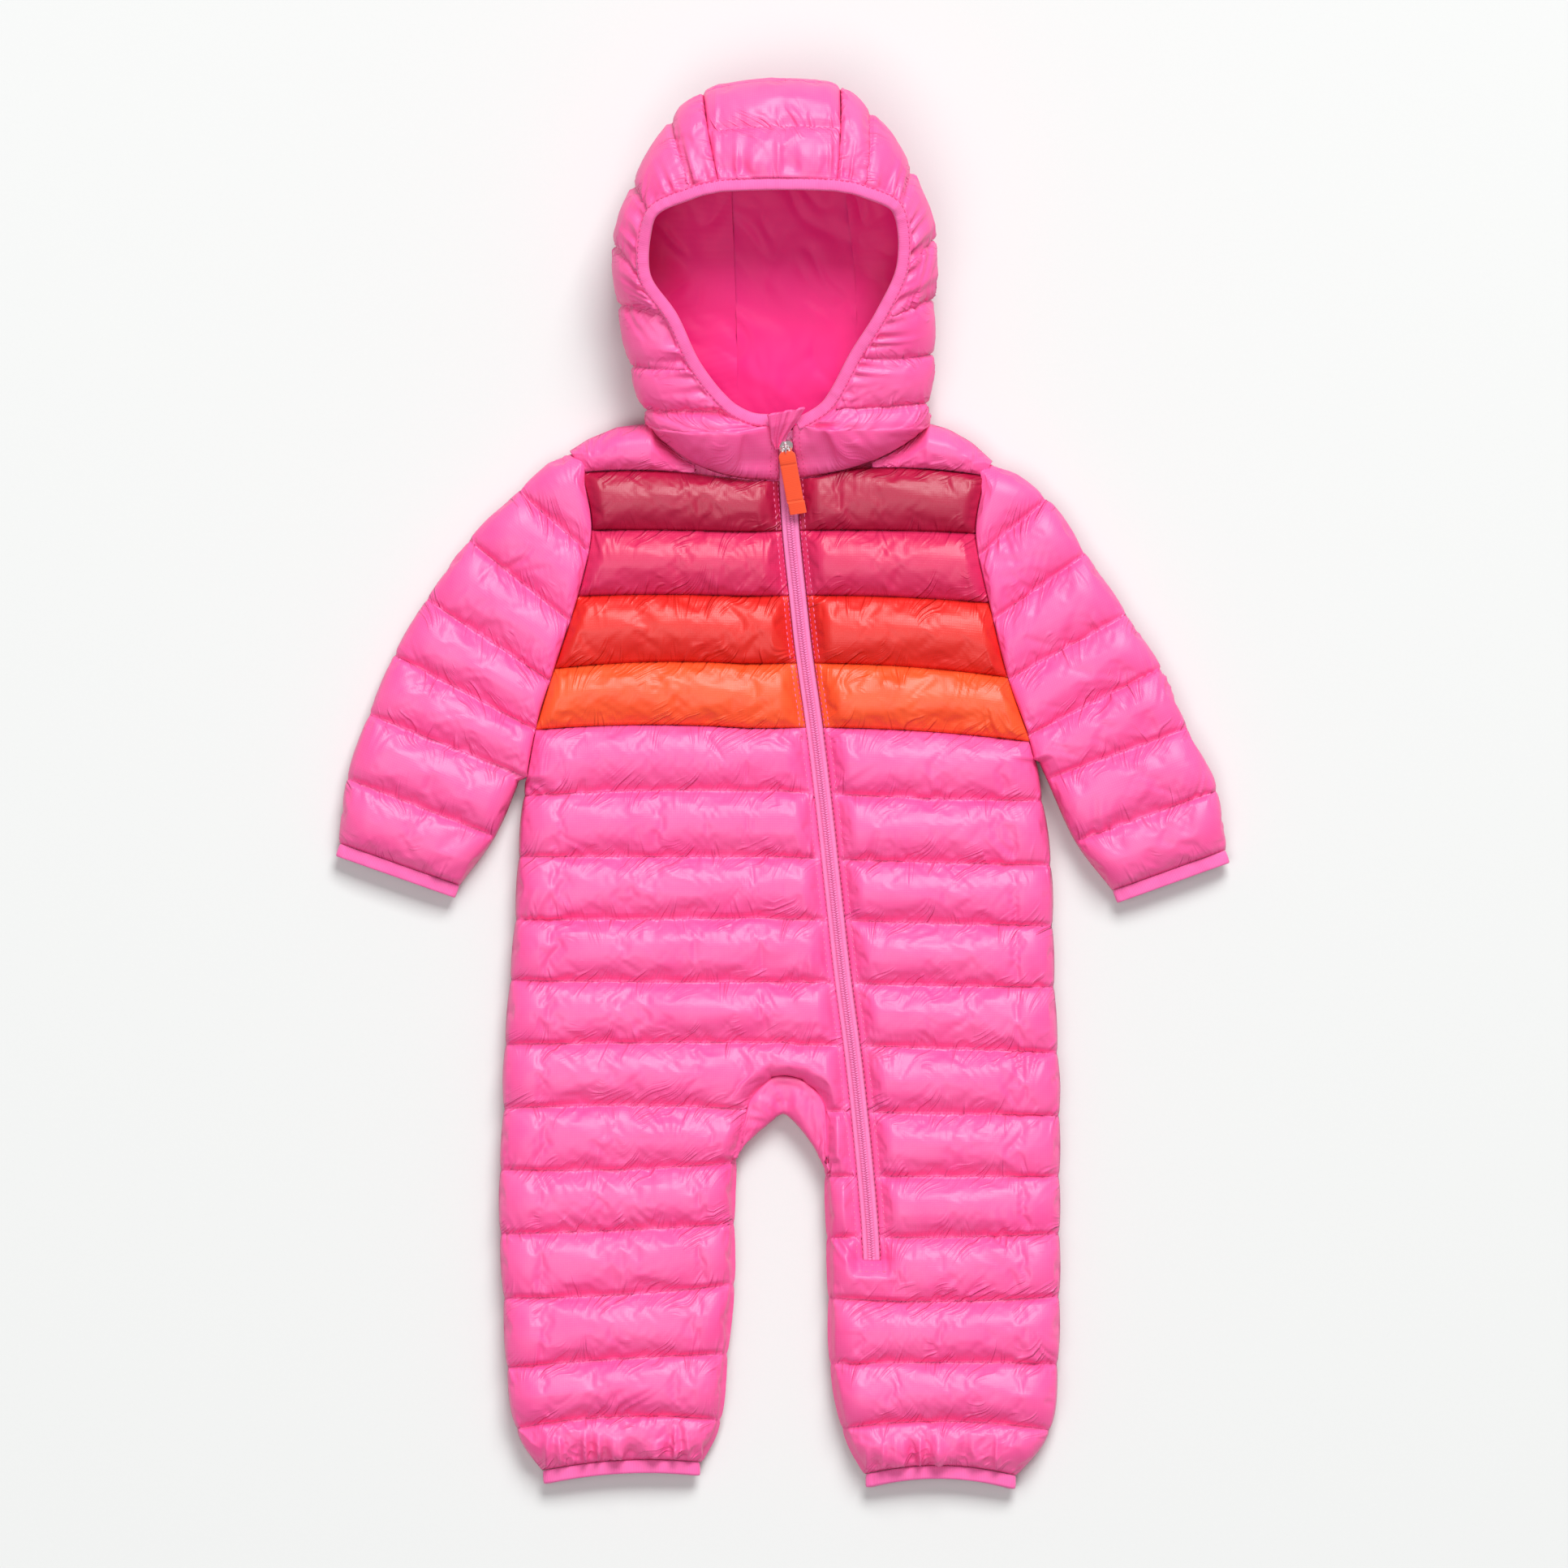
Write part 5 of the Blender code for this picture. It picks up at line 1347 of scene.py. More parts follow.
def eased(start: float, end: float, cells: int, crowding: float = 0.35) -> np.ndarray:
    """Values from start to end, closer together at both ends."""
    t = np.linspace(0, 1, cells + 1)
    return start + (end - start) * (t - crowding * np.sin(2 * np.pi * t) / (2 * np.pi))


def mid_plane(v: float, start: float = 15.5, end: float = 17.0) -> float:
    """Height of the side seam, which sinks to the flattened end of a leg or sleeve."""
    return lerp(MID_PLANE, END_HEIGHT, clamp((v - start) / (end - start)))


def side_scallop(v: float, side: Side) -> float:
    """How far a baffle bulges past its quilt lines at a side seam."""
    return SCALLOP * puff(v) if v > UNDERARM_V[side] else 0.0


def fullness(v: float, x: float) -> float:
    """Uneven filling of the baffles: a factor near 1."""
    return 1.0 + 0.10 * float(Noise(77).at(np.array(x / 55.0), np.array(math.floor(v) * 5.3)))


@lru_cache(maxsize=1)
def leg_edge() -> np.ndarray:
    """Plan points of the legs' inner seams, from the west ankle over the crotch to the east ankle."""
    lines = [quilt_line(v) for v in CROTCH_V + np.arange(92) / 14]
    return np.array([line.crotch(Side.WEST) for line in lines[::-1]] + [line.crotch(Side.EAST) for line in lines])


def crotch_edge(x: float, y: float) -> tuple[float, bool]:
    """Distance to the legs' inner seams or the gusset seam, and whether it is the gusset's.

    Args:
        x: position across the garment, in millimetres.
        y: position up the garment, in millimetres.

    Returns:
        The distance, in millimetres, and whether it is the gusset's.
    """
    points = leg_edge()
    starts, steps = points[:-1], np.diff(points, axis=0)
    shares = np.sum((np.array([x, y]) - starts) * steps, axis=1) / np.sum(steps**2, axis=1)
    nearest_points = starts + np.clip(shares, 0, 1)[:, None] * steps
    distances = np.hypot(nearest_points[:, 0] - x, nearest_points[:, 1] - y)
    nearest = int(np.argmin(distances))
    return float(distances[nearest]), bool(nearest_points[nearest, 1] > ARCH_FLOOR_Y)


def front_top(v: float, x: float, y: float) -> float:
    """Outer height of the front at a point of line v.

    Args:
        v: number of the quilt line, counted from the shoulder.
        x: position across the garment, in millimetres.
        y: position up the garment, in millimetres.

    Returns:
        The height, in millimetres.
    """
    line, middle = quilt_line(v), mid_plane(v)
    lip, seam = middle + EDGE_LIP, middle + SEAM_RISE
    crest = seam + PUFF * puff(v) * fullness(v, x)
    edges = []
    for side in Side:
        distance = (x - line.edge(side).x) * side.inward + side_scallop(v, side)
        if v <= UNDERARM_V[side]:
            edges.append((seam + ARMHOLE_RISE * puff(v), slope(distance, SEAM_ROLL)))
        else:
            edges.append((lip, roll(distance, SIDE_ROLL)))
    if v < ZIP_END_V + ZIP_END_FADE:
        from_tape = abs(x - zip_at(y).x) - ZIP_HALF_OPENING
        crease = TOPSTITCH_CREASE * math.exp(-(((from_tape - ZIP_MARGIN) / CREASE_WIDTH) ** 2))
        share = math.sin(math.pi / 2 * clamp(from_tape / ZIP_ROLL)) - crease * puff(v)
        edges.append((seam, lerp(share, 1.0, clamp((v - ZIP_END_V) / ZIP_END_FADE))))
    distance, at_gusset = crotch_edge(x, y)
    edges.append((seam, slope(distance, SEAM_ROLL)) if at_gusset else (lip, roll(distance, LEG_ROLL)))
    return min(low + (crest - low) * share for low, share in edges)


def ankle_gathers(v: np.ndarray, x: np.ndarray) -> np.ndarray:
    """Height of the folds that the ankle's elastic draws up the middle of each leg.

    Args:
        v: number of the quilt line, counted from the shoulder.
        x: position across the garment, in millimetres.

    Returns:
        The height at each point.
    """
    reach = 0.68 + 0.3 * Noise(32).at(x / 9.0, 0 * x + 0.3)
    rise = np.clip((v - 17 + reach) / 0.4, 0, 1) * np.clip((17.0 - v) / 0.08, 0, 1)
    line = quilt_line(17.0)
    centres = [(line.edge(side).x + line.crotch(side).x) / 2 for side in Side]
    middle = sum(np.exp(-(((x - centre) / 30.0) ** 2)) for centre in centres)
    wave = 1 - 2.4 * np.abs(Noise(31).at(x / 7.6, 0.3 * v))
    return ANKLE_GATHER * rise * wave * (0.3 + 0.8 * middle)


@dataclass
class Trunk:
    """The quilted front, its colour stripes and yokes, and the back with both legs.

    Attributes:
        columns_west: grid cells of the lower front west of the crotch.
        columns_east: grid cells of it east of the zip.
        back_cells: grid cells of each half of the back.
        back_rows: grid rows of the back in each baffle.
        back_inset: how far the back's edge lies inside the front's, in millimetres.
        back_neck_ends: x of both ends of the back's neck seam.
        groove_reach: half of a quilt line's groove on the floor, as a share of a baffle.
        cross_stitch_y: y of the stitches across the zip's lower end.
    """

    columns_west: int = 60
    columns_east: int = 50
    back_cells: int = 40
    back_rows: int = 12
    back_inset: float = 1.5
    back_neck_ends: tuple[float, float] = (-79.0, 85.0)
    groove_reach: float = 0.18
    cross_stitch_y: tuple[float, float] = (-284.4, -288.2)

    def front_columns(self, v: float) -> np.ndarray:
        """x of each grid column of the lower front on line v.

        Args:
            v: number of the quilt line, counted from the shoulder.

        Returns:
            Rising positions, in millimetres.
        """
        line = quilt_line(v)
        zip_west = max(zip_x_on(v) - ZIP_HALF_OPENING, line.crotch_east_x + 14.0)
        zip_east = zip_west + 2 * ZIP_HALF_OPENING
        stretches = [
            (line.crotch_west_x, line.crotch_east_x, 8),
            (line.crotch_east_x, zip_west - ZIP_MARGIN, 8),
            (zip_west - ZIP_MARGIN, zip_west, 2),
            (zip_west, zip_east, 4),
            (zip_east, zip_east + ZIP_MARGIN, 2),
        ]
        west_edge = line.west_x - side_scallop(v, Side.WEST)
        east_edge = line.east_x + side_scallop(v, Side.EAST)
        return np.concatenate([
            eased(west_edge, line.crotch_west_x, self.columns_west),
            *(np.linspace(low, high, cells + 1)[1:] for low, high, cells in stretches),
            eased(zip_east + ZIP_MARGIN, east_edge, self.columns_east)[1:],
        ])

    def front_lower(self) -> Object:
        """The front from the last stripe to the ankles, slit for the zip and open at the crotch.

        Returns:
            The dressed piece.
        """
        vs = 5 + np.arange(12 * ROWS_PER_BAFFLE + 1) / ROWS_PER_BAFFLE
        grid = np.array([[self.front_point(v, x) for x in self.front_columns(v)] for v in vs])
        grid[0, :, 1] -= SEAM_GAP / 2
        rows, columns = grid.shape[:2]
        bridge = self.columns_west + np.arange(8)
        slit = self.columns_west + 18 + np.arange(4)
        margins = [slit[0] - 2, slit[0], slit[-1] + 1, slit[-1] + 3]
        cells = np.ones((rows - 1, columns - 1), bool)
        arch_row = int(round((CROTCH_V - 5) * ROWS_PER_BAFFLE))
        zip_row = int(round((ZIP_END_V - 5) * ROWS_PER_BAFFLE))
        cells[arch_row:, bridge] = False
        cells[:zip_row, slit] = False
        held = sewn(grid, slice(None, None, ROWS_PER_BAFFLE), [0, -1])
        held[: zip_row + 3, margins] = 1
        held[zip_row, slit] = 1
        held[arch_row:, [bridge[0], bridge[-1] + 1]] = 1
        held[arch_row, bridge[0] : bridge[-1] + 2] = 1
        sheet = Sheet(grid, *self.coordinates(vs, grid), held, cells)
        sheet = sheet.inflated(Inflation(seed=3)).finer().gathered(Gathers(seed=11))
        sheet = sheet.lifted(ankle_gathers(sheet.line, sheet.along) * sheet.inside())
        below = sheet.line[:, 0] < ZIP_END_V + 0.01
        for column in (margins[0], margins[3]):
            TOPSTITCH.add(sheet.points[below, 2 * column])
        for column in (margins[1], margins[2]):
            QUILTING.add(sheet.points[below, 2 * column])
        for y in self.cross_stitch_y:
            row = [(zip_at(y).x + shift, y) for shift in np.linspace(-8.6, 8.6, 9)]
            TOPSTITCH.add(np.array([sheet.on_top(*spot) for spot in row]))
        for v in range(6, 17):
            for part in self.without_gaps(sheet, v):
                QUILTING.add(part)
        made = cloth_object("front_lower_cloth", sheet, PINK_SHELL)
        return dress(made, ["front_lower"])

    def without_gaps(self, sheet: Sheet, v: int) -> list[np.ndarray]:
        """The front's quilt line v as paths that stop at the zip, its margins and the crotch.

        Args:
            sheet: the front's cloth.
            v: number of the quilt line, counted from the shoulder.

        Returns:
            The paths.
        """
        path, line, zip_x = sheet.row_at(v), quilt_line(v), zip_x_on(v)
        half = ZIP_HALF_OPENING + ZIP_MARGIN
        gaps = [(zip_x - half, zip_x + half)] if v < ZIP_END_V else []
        gaps += [(line.crotch_west_x, line.crotch_east_x)] if v >= CROTCH_V else []
        ends = [-math.inf, *(x for gap in sorted(gaps) for x in gap), math.inf]
        x = path[:, 0]
        parts = [path[(x > low + 1) & (x < high - 1)] for low, high in zip(ends[::2], ends[1::2])]
        return [part for part in parts if len(part) > 3]

    def front_point(self, v: float, x: float) -> tuple[float, float, float]:
        """A point of the front on line v."""
        y = line_y(quilt_line(v), x)
        return x, y, front_top(v, x, y)

    def coordinates(self, vs: np.ndarray, grid: np.ndarray) -> tuple[np.ndarray, np.ndarray]:
        """Quilt-line coordinate of each point, and its position along its line."""
        return np.repeat(np.asarray(vs, float)[:, None], grid.shape[1], axis=1), grid[..., 0].copy()

    def stripe(self, side: Side, top_v: int) -> Object:
        """Half of one colour stripe, between two quilt lines.

        Args:
            side: which side of the garment.
            top_v: the quilt line at its top.

        Returns:
            The dressed piece.
        """
        gap = SEAM_GAP / 2 / BAFFLE_PITCH
        vs = np.linspace(top_v + gap, top_v + 1 - gap, ROWS_PER_BAFFLE + 1)
        grid = np.array([[self.stripe_point(side, v, x) for x in self.stripe_columns(side, v)] for v in vs])
        coordinates = self.coordinates(np.linspace(top_v, top_v + 1, len(vs)), grid)
        sheet = Sheet(grid, *coordinates, sewn(grid, [0, -1], [0, -1, -3]))
        east = side is Side.EAST
        sheet = sheet.inflated(Inflation(seed=20 + top_v + 7 * east, surplus=0.10, drift=2.6)).finer()
        sheet = sheet.gathered(Gathers(seed=40 + top_v + 9 * east))
        at_start = abs(sheet.points[0, 0, 0] - zip_x_on(top_v)) < 20
        TOPSTITCH.add(sheet.points[:, 4 if at_start else -5])
        QUILTING.add(sheet.points[:, 1 if at_start else -2])
        colour = STRIPES[top_v]
        name = f"{colour}_{side.wearer}"
        made = cloth_object(f"stripe_cloth_{name}", sheet, STRIPE_SHELLS[colour])
        return dress(made, [f"stripe_{name}"])

    def stripe_columns(self, side: Side, v: float) -> np.ndarray:
        """x of each grid column of a stripe, from its armhole to the zip.

        Args:
            side: which side of the garment.
            v: number of the quilt line, counted from the shoulder.

        Returns:
            Positions, in millimetres.
        """
        zip_edge = zip_x_on(v) - side.inward * ZIP_HALF_OPENING
        margin = zip_edge - side.inward * ZIP_MARGIN
        armhole = quilt_line(v).edge(side).x
        return np.concatenate([eased(armhole, margin, 46), np.linspace(margin, zip_edge, 3)[1:]])

    def stripe_point(self, side: Side, v: float, x: float) -> tuple[float, float, float]:
        """A point of a stripe on line v, kept below the neck seam.

        Args:
            side: which side of the garment.
            v: number of the quilt line, counted from the shoulder.
            x: position across the garment, in millimetres.

        Returns:
            x, y and outer height, in millimetres.
        """
        y = line_y(quilt_line(v), x)
        seam = HOOD_LINES[side][0]
        if v < 2 and min(seam.rim_x, seam.side_x) < x < max(seam.rim_x, seam.side_x):
            y = min(y, neck_seam(side, x) - 2 * SEAM_GAP)
        return x, y, front_top(v, x, y)

    def yoke(self, side: Side) -> Object:
        """The shoulder piece between the neck seam, the shoulder and the stripes.

        Args:
            side: which side of the garment.

        Returns:
            The dressed piece.
        """
        vs = np.linspace(1, 0, 15)
        grid = np.array([[self.yoke_point(side, v, share) for share in eased(0, 1, 44)] for v in vs])
        sheet = Sheet(grid, *self.coordinates(vs, grid), sewn(grid, [0, -1], [0, -1]))
        sheet = sheet.inflated(Inflation(seed=60 + side.inward)).finer()
        sheet = sheet.gathered(Gathers(depth=0.7, reach=12, seed=61 + side.inward))
        made = cloth_object(f"yoke_cloth_{side.wearer}", sheet, PINK_SHELL)
        return dress(made, [f"yoke_{side.wearer}"])

    def yoke_point(self, side: Side, v: float, share: float) -> tuple[float, float, float]:
        """A point of the yoke: v from 1 at the stripes to 0 at the shoulder, share from the armhole.

        Args:
            side: which side of the garment.
            v: 1 at the stripes, 0 at the shoulder.
            share: share of the way from the armhole.

        Returns:
            x, y and outer height, in millimetres.
        """
        edge = quilt_line(v).edge(side).x
        x = lerp(edge, YOKE_END_X[side], share)
        bottom = line_y(quilt_line(1.0), x) + SEAM_GAP
        top = polyline_y(SHOULDERS, x) - 0.2
        past_neck = (x - HOOD_LINES[side][0].side_x) * side.inward
        if past_neck > 0:
            top = min(top, neck_seam(side, x) - 2 * SEAM_GAP)
        y = lerp(bottom, top, 1 - v)
        seam = MID_PLANE + SEAM_RISE
        crest = seam + PUFF * min(1.0, (top - bottom) / 28.0) * puff(v)
        lip = MID_PLANE + lerp(EDGE_LIP, SEAM_RISE, clamp(past_neck / 25))
        from_top = lip + (crest - lip) * roll(top - y, 12.0)
        from_armhole = seam + (crest - seam) * slope(abs(x - edge), SEAM_ROLL)
        return x, y, min(from_top, from_armhole)

    def back_bottom(self, v: float, distance: float) -> float:
        """Outer height of the back, which lies on the floor and turns up to its edges.

        Args:
            v: number of the quilt line, counted from the shoulder.
            distance: from the nearest edge, in millimetres.

        Returns:
            The height, in millimetres.
        """
        middle = mid_plane(v)
        floor = GROOVE * max(0.0, 1 - abs(v - round(v)) / self.groove_reach)
        floor = lerp(floor, middle - END_SLIT - 3.0, clamp((v - 16.5) / 0.5))
        lip = middle - EDGE_LIP
        return lip + (floor - lip) * roll(distance, SIDE_ROLL)

    def back_point(self, v: float, x: float) -> tuple[float, float, float]:
        """A point of the back on line v.

        Args:
            v: number of the quilt line, counted from the shoulder.
            x: position across the garment, in millimetres.

        Returns:
            x, y and outer height, in millimetres.
        """
        line = quilt_line(v)
        y = line_y(line, x)
        over_neck = self.back_neck_ends[0] < x < self.back_neck_ends[1]
        top = min(polyline_y(SHOULDERS, x), polyline_y(BACK_NECK, x) if over_neck else 1e3)
        if v < 1:
            y = lerp(line_y(quilt_line(1.0), x), top, 1 - v)
        edges = [crotch_edge(x, y)[0]]
        for side in Side:
            if v > UNDERARM_V[side]:
                edges.append((x - line.edge(side).x) * side.inward + side_scallop(v, side))
        if not self.back_neck_ends[0] + 4 < x < self.back_neck_ends[1] - 4:
            edges.append(top - y)
        return x, y, self.back_bottom(v, min(edges))

    def back(self) -> Object:
        """The back with both legs, in one piece, its outer side on the floor.

        Returns:
            The dressed piece.
        """
        vs = np.arange(17 * self.back_rows + 1) / self.back_rows
        grid = np.array([[self.back_point(v, x) for x in self.back_columns(v)] for v in vs])
        cells = np.ones((grid.shape[0] - 1, grid.shape[1] - 1), bool)
        cells[int(CROTCH_V * self.back_rows) :, self.back_cells : self.back_cells + 6] = False
        held = sewn(grid, slice(None, None, self.back_rows), [])
        sheet = Sheet(grid, *self.coordinates(vs, grid), held, cells, away_from=(0.0, 0.0, 1e5))
        sheet = sheet.gathered(Gathers(depth=0.4, seed=71))
        return dress(cloth_object("back_cloth", sheet, PINK_SHELL), ["back"])

    def back_columns(self, v: float) -> np.ndarray:
        """x of each grid column of the back on line v.

        Args:
            v: number of the quilt line, counted from the shoulder.

        Returns:
            Rising positions, in millimetres.
        """
        line = quilt_line(v)
        inset = self.back_inset * clamp((v - UNDERARM_V[Side.WEST]) * 2)
        west, east = line.crotch_west_x - inset, line.crotch_east_x + inset
        stretches = [
            eased(line.west_x - side_scallop(v, Side.WEST) + inset, west, self.back_cells, 0.7),
            np.linspace(west, east, 7)[1:],
            eased(east, line.east_x + side_scallop(v, Side.EAST) - inset, self.back_cells, 0.7)[1:],
        ]
        return np.concatenate(stretches)

    def build(self) -> None:
        """Makes every piece of the trunk."""
        self.back()
        self.front_lower()
        for side in Side:
            self.yoke(side)
            for top_v in STRIPES:
                self.stripe(side, top_v)


# Sleeves and gusset: pieces folded in two


@dataclass(frozen=True)
class Folded:
    """Heights across a piece that is folded in two, from its seam to its fold."""

    middle: float
    top: float
    seam_top: float
    bottom: float
    seam_bottom: float
    fold_roll: float
    seam_roll: float

    def height(self, from_seam: float, from_fold: float, upper: bool) -> float:
        """Height at these distances from the seam and the fold, on the upper or the lower layer.

        Args:
            from_seam: distance from the seam.
            from_fold: distance from the fold.
            upper: whether it is the upper layer.

        Returns:
            The height, in millimetres.
        """
        far, at_seam = (self.top, self.seam_top) if upper else (self.bottom, self.seam_bottom)
        low = at_seam + (far - at_seam) * roll(from_seam, self.seam_roll)
        high = self.middle + (far - self.middle) * roll(from_fold, self.fold_roll)
        return min(low, high) if upper else max(low, high)

    def across(self, seam: np.ndarray, fold: np.ndarray, upper: Sequence[float], lower: Sequence[float]) -> list:
        """Points from the upper seam round the fold to the lower one.

        Args:
            seam: plan position of the seam.
            fold: plan position of the fold.
            upper: shares of the way from the seam to the fold, on top.
            lower: shares of the way from the seam to the fold, below.

        Returns:
            The points.
        """
        width = float(np.hypot(*(fold - seam)))
        points = [(*lerp(seam, fold, s), self.height(s * width, (1 - s) * width, True)) for s in upper]
        below = [(*lerp(seam, fold, s), self.height(s * width, (1 - s) * width, False)) for s in lower]
        return points + below[::-1][1:]


def armhole_x(side: Side, y: float) -> float:
    """x of the armhole seam at a height up the garment."""
    return quilt_line(halved(0.0, 7.0, lambda v: quilt_line(v).edge(side).y > y)).edge(side).x


@dataclass
class Sleeve:
    """One sleeve.

    Attributes:
        side: which side of the garment.
        upper_cells: grid cells across its upper layer.
        lower_cells: grid cells across its lower layer.
        end: number of its last quilt line.
        tuck: how far its shoulder end slips under the yoke, in millimetres.
    """

    side: Side
    upper_cells: int = 36
    lower_cells: int = 12
    end: int = 7
    tuck: float = 5.0

    def section(self, s: float) -> tuple[list, np.ndarray]:
        """Points across the sleeve on line s, and each one's distance along that line.

        Args:
            s: number of the sleeve's line, counted from the shoulder.

        Returns:
            The points, and their distances.
        """
        line = table_row(SLEEVE_LINES[self.side], s)
        outward = -self.side.inward
        at_armhole = line.inner_y > quilt_line(UNDERARM_V[self.side]).edge(self.side).y
        limit = armhole_x(self.side, line.inner_y) + outward * SEAM_GAP
        inner_x = limit if at_armhole or abs(line.inner_x) < abs(limit) else line.inner_x
        seam, fold = np.array([inner_x, line.inner_y]), np.array([line.outer_x, line.outer_y])
        fold = fold + (fold - seam) / (np.hypot(*(fold - seam)) + 1e-9) * SCALLOP * puff(s)
        inward = np.array([self.side.inward * self.tuck * clamp(1 - s / 0.3), 0.0])
        seam, fold = seam + inward, fold + inward
        middle = mid_plane(s, self.end - 1.2, self.end)
        floor = GROOVE * (1 - puff(s))
        floor = lerp(floor, middle - END_SLIT - 3.0, clamp((s - self.end + 0.5) / 0.5))
        form = Folded(
            middle=middle,
            top=middle + SEAM_RISE + (PUFF - 1.0) * puff(s),
            seam_top=middle + (SEAM_RISE + ARMHOLE_RISE * puff(s) if at_armhole else EDGE_LIP),
            bottom=floor,
            seam_bottom=floor if at_armhole else middle - EDGE_LIP,
            fold_roll=18.0,
            seam_roll=SEAM_ROLL if at_armhole else 14.0,
        )
        upper, lower = eased(0, 1, self.upper_cells, 0.45), eased(0, 1, self.lower_cells, 0.8)
        width = float(np.hypot(*(fold - seam)))
        along = np.concatenate([upper * width, (2 - lower[::-1][1:]) * width])
        return form.across(seam, fold, upper, lower), along

    def build(self) -> Object:
        """The sleeve's cloth.

        Returns:
            The dressed piece.
        """
        rows = np.linspace(0, self.end, self.end * ROWS_PER_BAFFLE + 1)
        grid, along = (np.array(values) for values in zip(*(self.section(s) for s in rows)))
        held = sewn(grid, slice(None, None, ROWS_PER_BAFFLE), [0, *range(self.upper_cells + 2, grid.shape[1])])
        line = np.repeat(rows[:, None], grid.shape[1], axis=1)
        middle = grid.mean(axis=(0, 1))
        sheet = Sheet(grid, line, along, held, away_from=(*middle[:2], MID_PLANE))
        sheet = sheet.inflated(Inflation(seed=80 + self.side.inward)).finer()
        sheet = sheet.gathered(Gathers(seed=83 + self.side.inward))
        for s in range(1, self.end):
            QUILTING.add(sheet.row_at(s)[2 : 2 * self.upper_cells + 10])
        made = cloth_object(f"sleeve_cloth_{self.side.wearer}", sheet, PINK_SHELL)
        return dress(made, [f"sleeve_{self.side.wearer}"])


@dataclass
class Gusset:
    """The plain crotch gusset, folded along the garment's free edge between the legs."""

    def seam(self) -> np.ndarray:
        """Plan points of its seam, from the west leg over the crotch to the east leg.

        Returns:
            The points.
        """
        lines = [quilt_line(v) for v in (CROTCH_V, 10.7, 10.85, 11.0, 11.33, 11.67, 11.94)]
        west, east = ([line.crotch(side) for line in lines] for side in Side)
        top = np.mean([west[0], east[0]], axis=0) + np.array([0.0, CROTCH_ARCH])
        return np.array([*reversed(west), top, *east])

    def build(self) -> Object:
        """The gusset's cloth, with a few soft folds.

        Returns:
            The dressed piece.
        """
        seam, fold = self.seam(), np.array(GUSSET_FOLD, float)
        at, knots = np.linspace(0, len(seam) - 1, 61), range(len(seam))
        seam, fold = (
            np.array([[smooth(knots, curve[:, axis], t) for axis in (0, 1)] for t in at]) for curve in (seam, fold)
        )
        form = Folded(MID_PLANE, MID_PLANE + 7.3, MID_PLANE + 4.8, 1.5, 1.5, 16.0, 5.0)
        upper, lower = np.linspace(0, 1, 27), np.linspace(0, 1, 13)
        grid = np.array([form.across(s, f, upper, lower) for s, f in zip(seam, fold)])
        along = np.repeat(run_along(seam)[:, None], grid.shape[1], axis=1)
        down = np.linspace(0, 1.6, grid.shape[1])[None, :] + 0 * along
        sheet = Sheet(grid, down, along, np.zeros(grid.shape[:2]), away_from=(0.0, -200.0, MID_PLANE))
        wave = Noise(91).at((sheet.along + 9 * sheet.line) / 9.0, sheet.line * 0.9)
        crease = Noise(92).at((sheet.along - 12 * sheet.line) / 6.0, sheet.line * 0.8)
        fold_at = 1.6 * (len(upper) - 1) / (grid.shape[1] - 1)
        free = np.clip(sheet.line * 4, 0, 1) * np.clip(np.abs(sheet.line - fold_at) * 3, 0.12, 1)
        sheet = sheet.lifted((1.9 * wave - 2.2 * np.abs(crease)) * free)
        made = cloth_object("crotch_gusset_cloth", sheet, PLAIN_SHELL)
        return dress(made, ["crotch_gusset"])


# Bindings


def tube(name: str, rings: np.ndarray, finish: Finish, closed: bool = False) -> Object:
    """A tube through rings of points, with cloth coordinates along and round it.

    Args:
        name: the object's name.
        rings: rings x sides x 3, in millimetres.
        finish: what it is made of.
        closed: whether the last ring joins the first. Otherwise its ends are filled.

    Returns:
        The object.
    """
    made = new_object(name, rings, tube_faces(0, *rings.shape[:2], closed), finish)
    weave = np.zeros(rings.shape)
    weave[..., 0], weave[..., 1] = run_along(rings.mean(axis=1))[:, None], run_along(rings[0])[None, :]
    store_weave(made, weave)
    bm = bmesh.new()
    bm.from_mesh(made.data)
    bmesh.ops.recalc_face_normals(bm, faces=bm.faces)
    bm.to_mesh(made.data)
    bm.free()
    return made


def squared(angle: float, power: float) -> tuple[float, float]:
    """A point of a circle that a power below 1 has made squarer."""
    return tuple(abs(f(angle)) ** power * math.copysign(1, f(angle)) for f in (math.cos, math.sin))


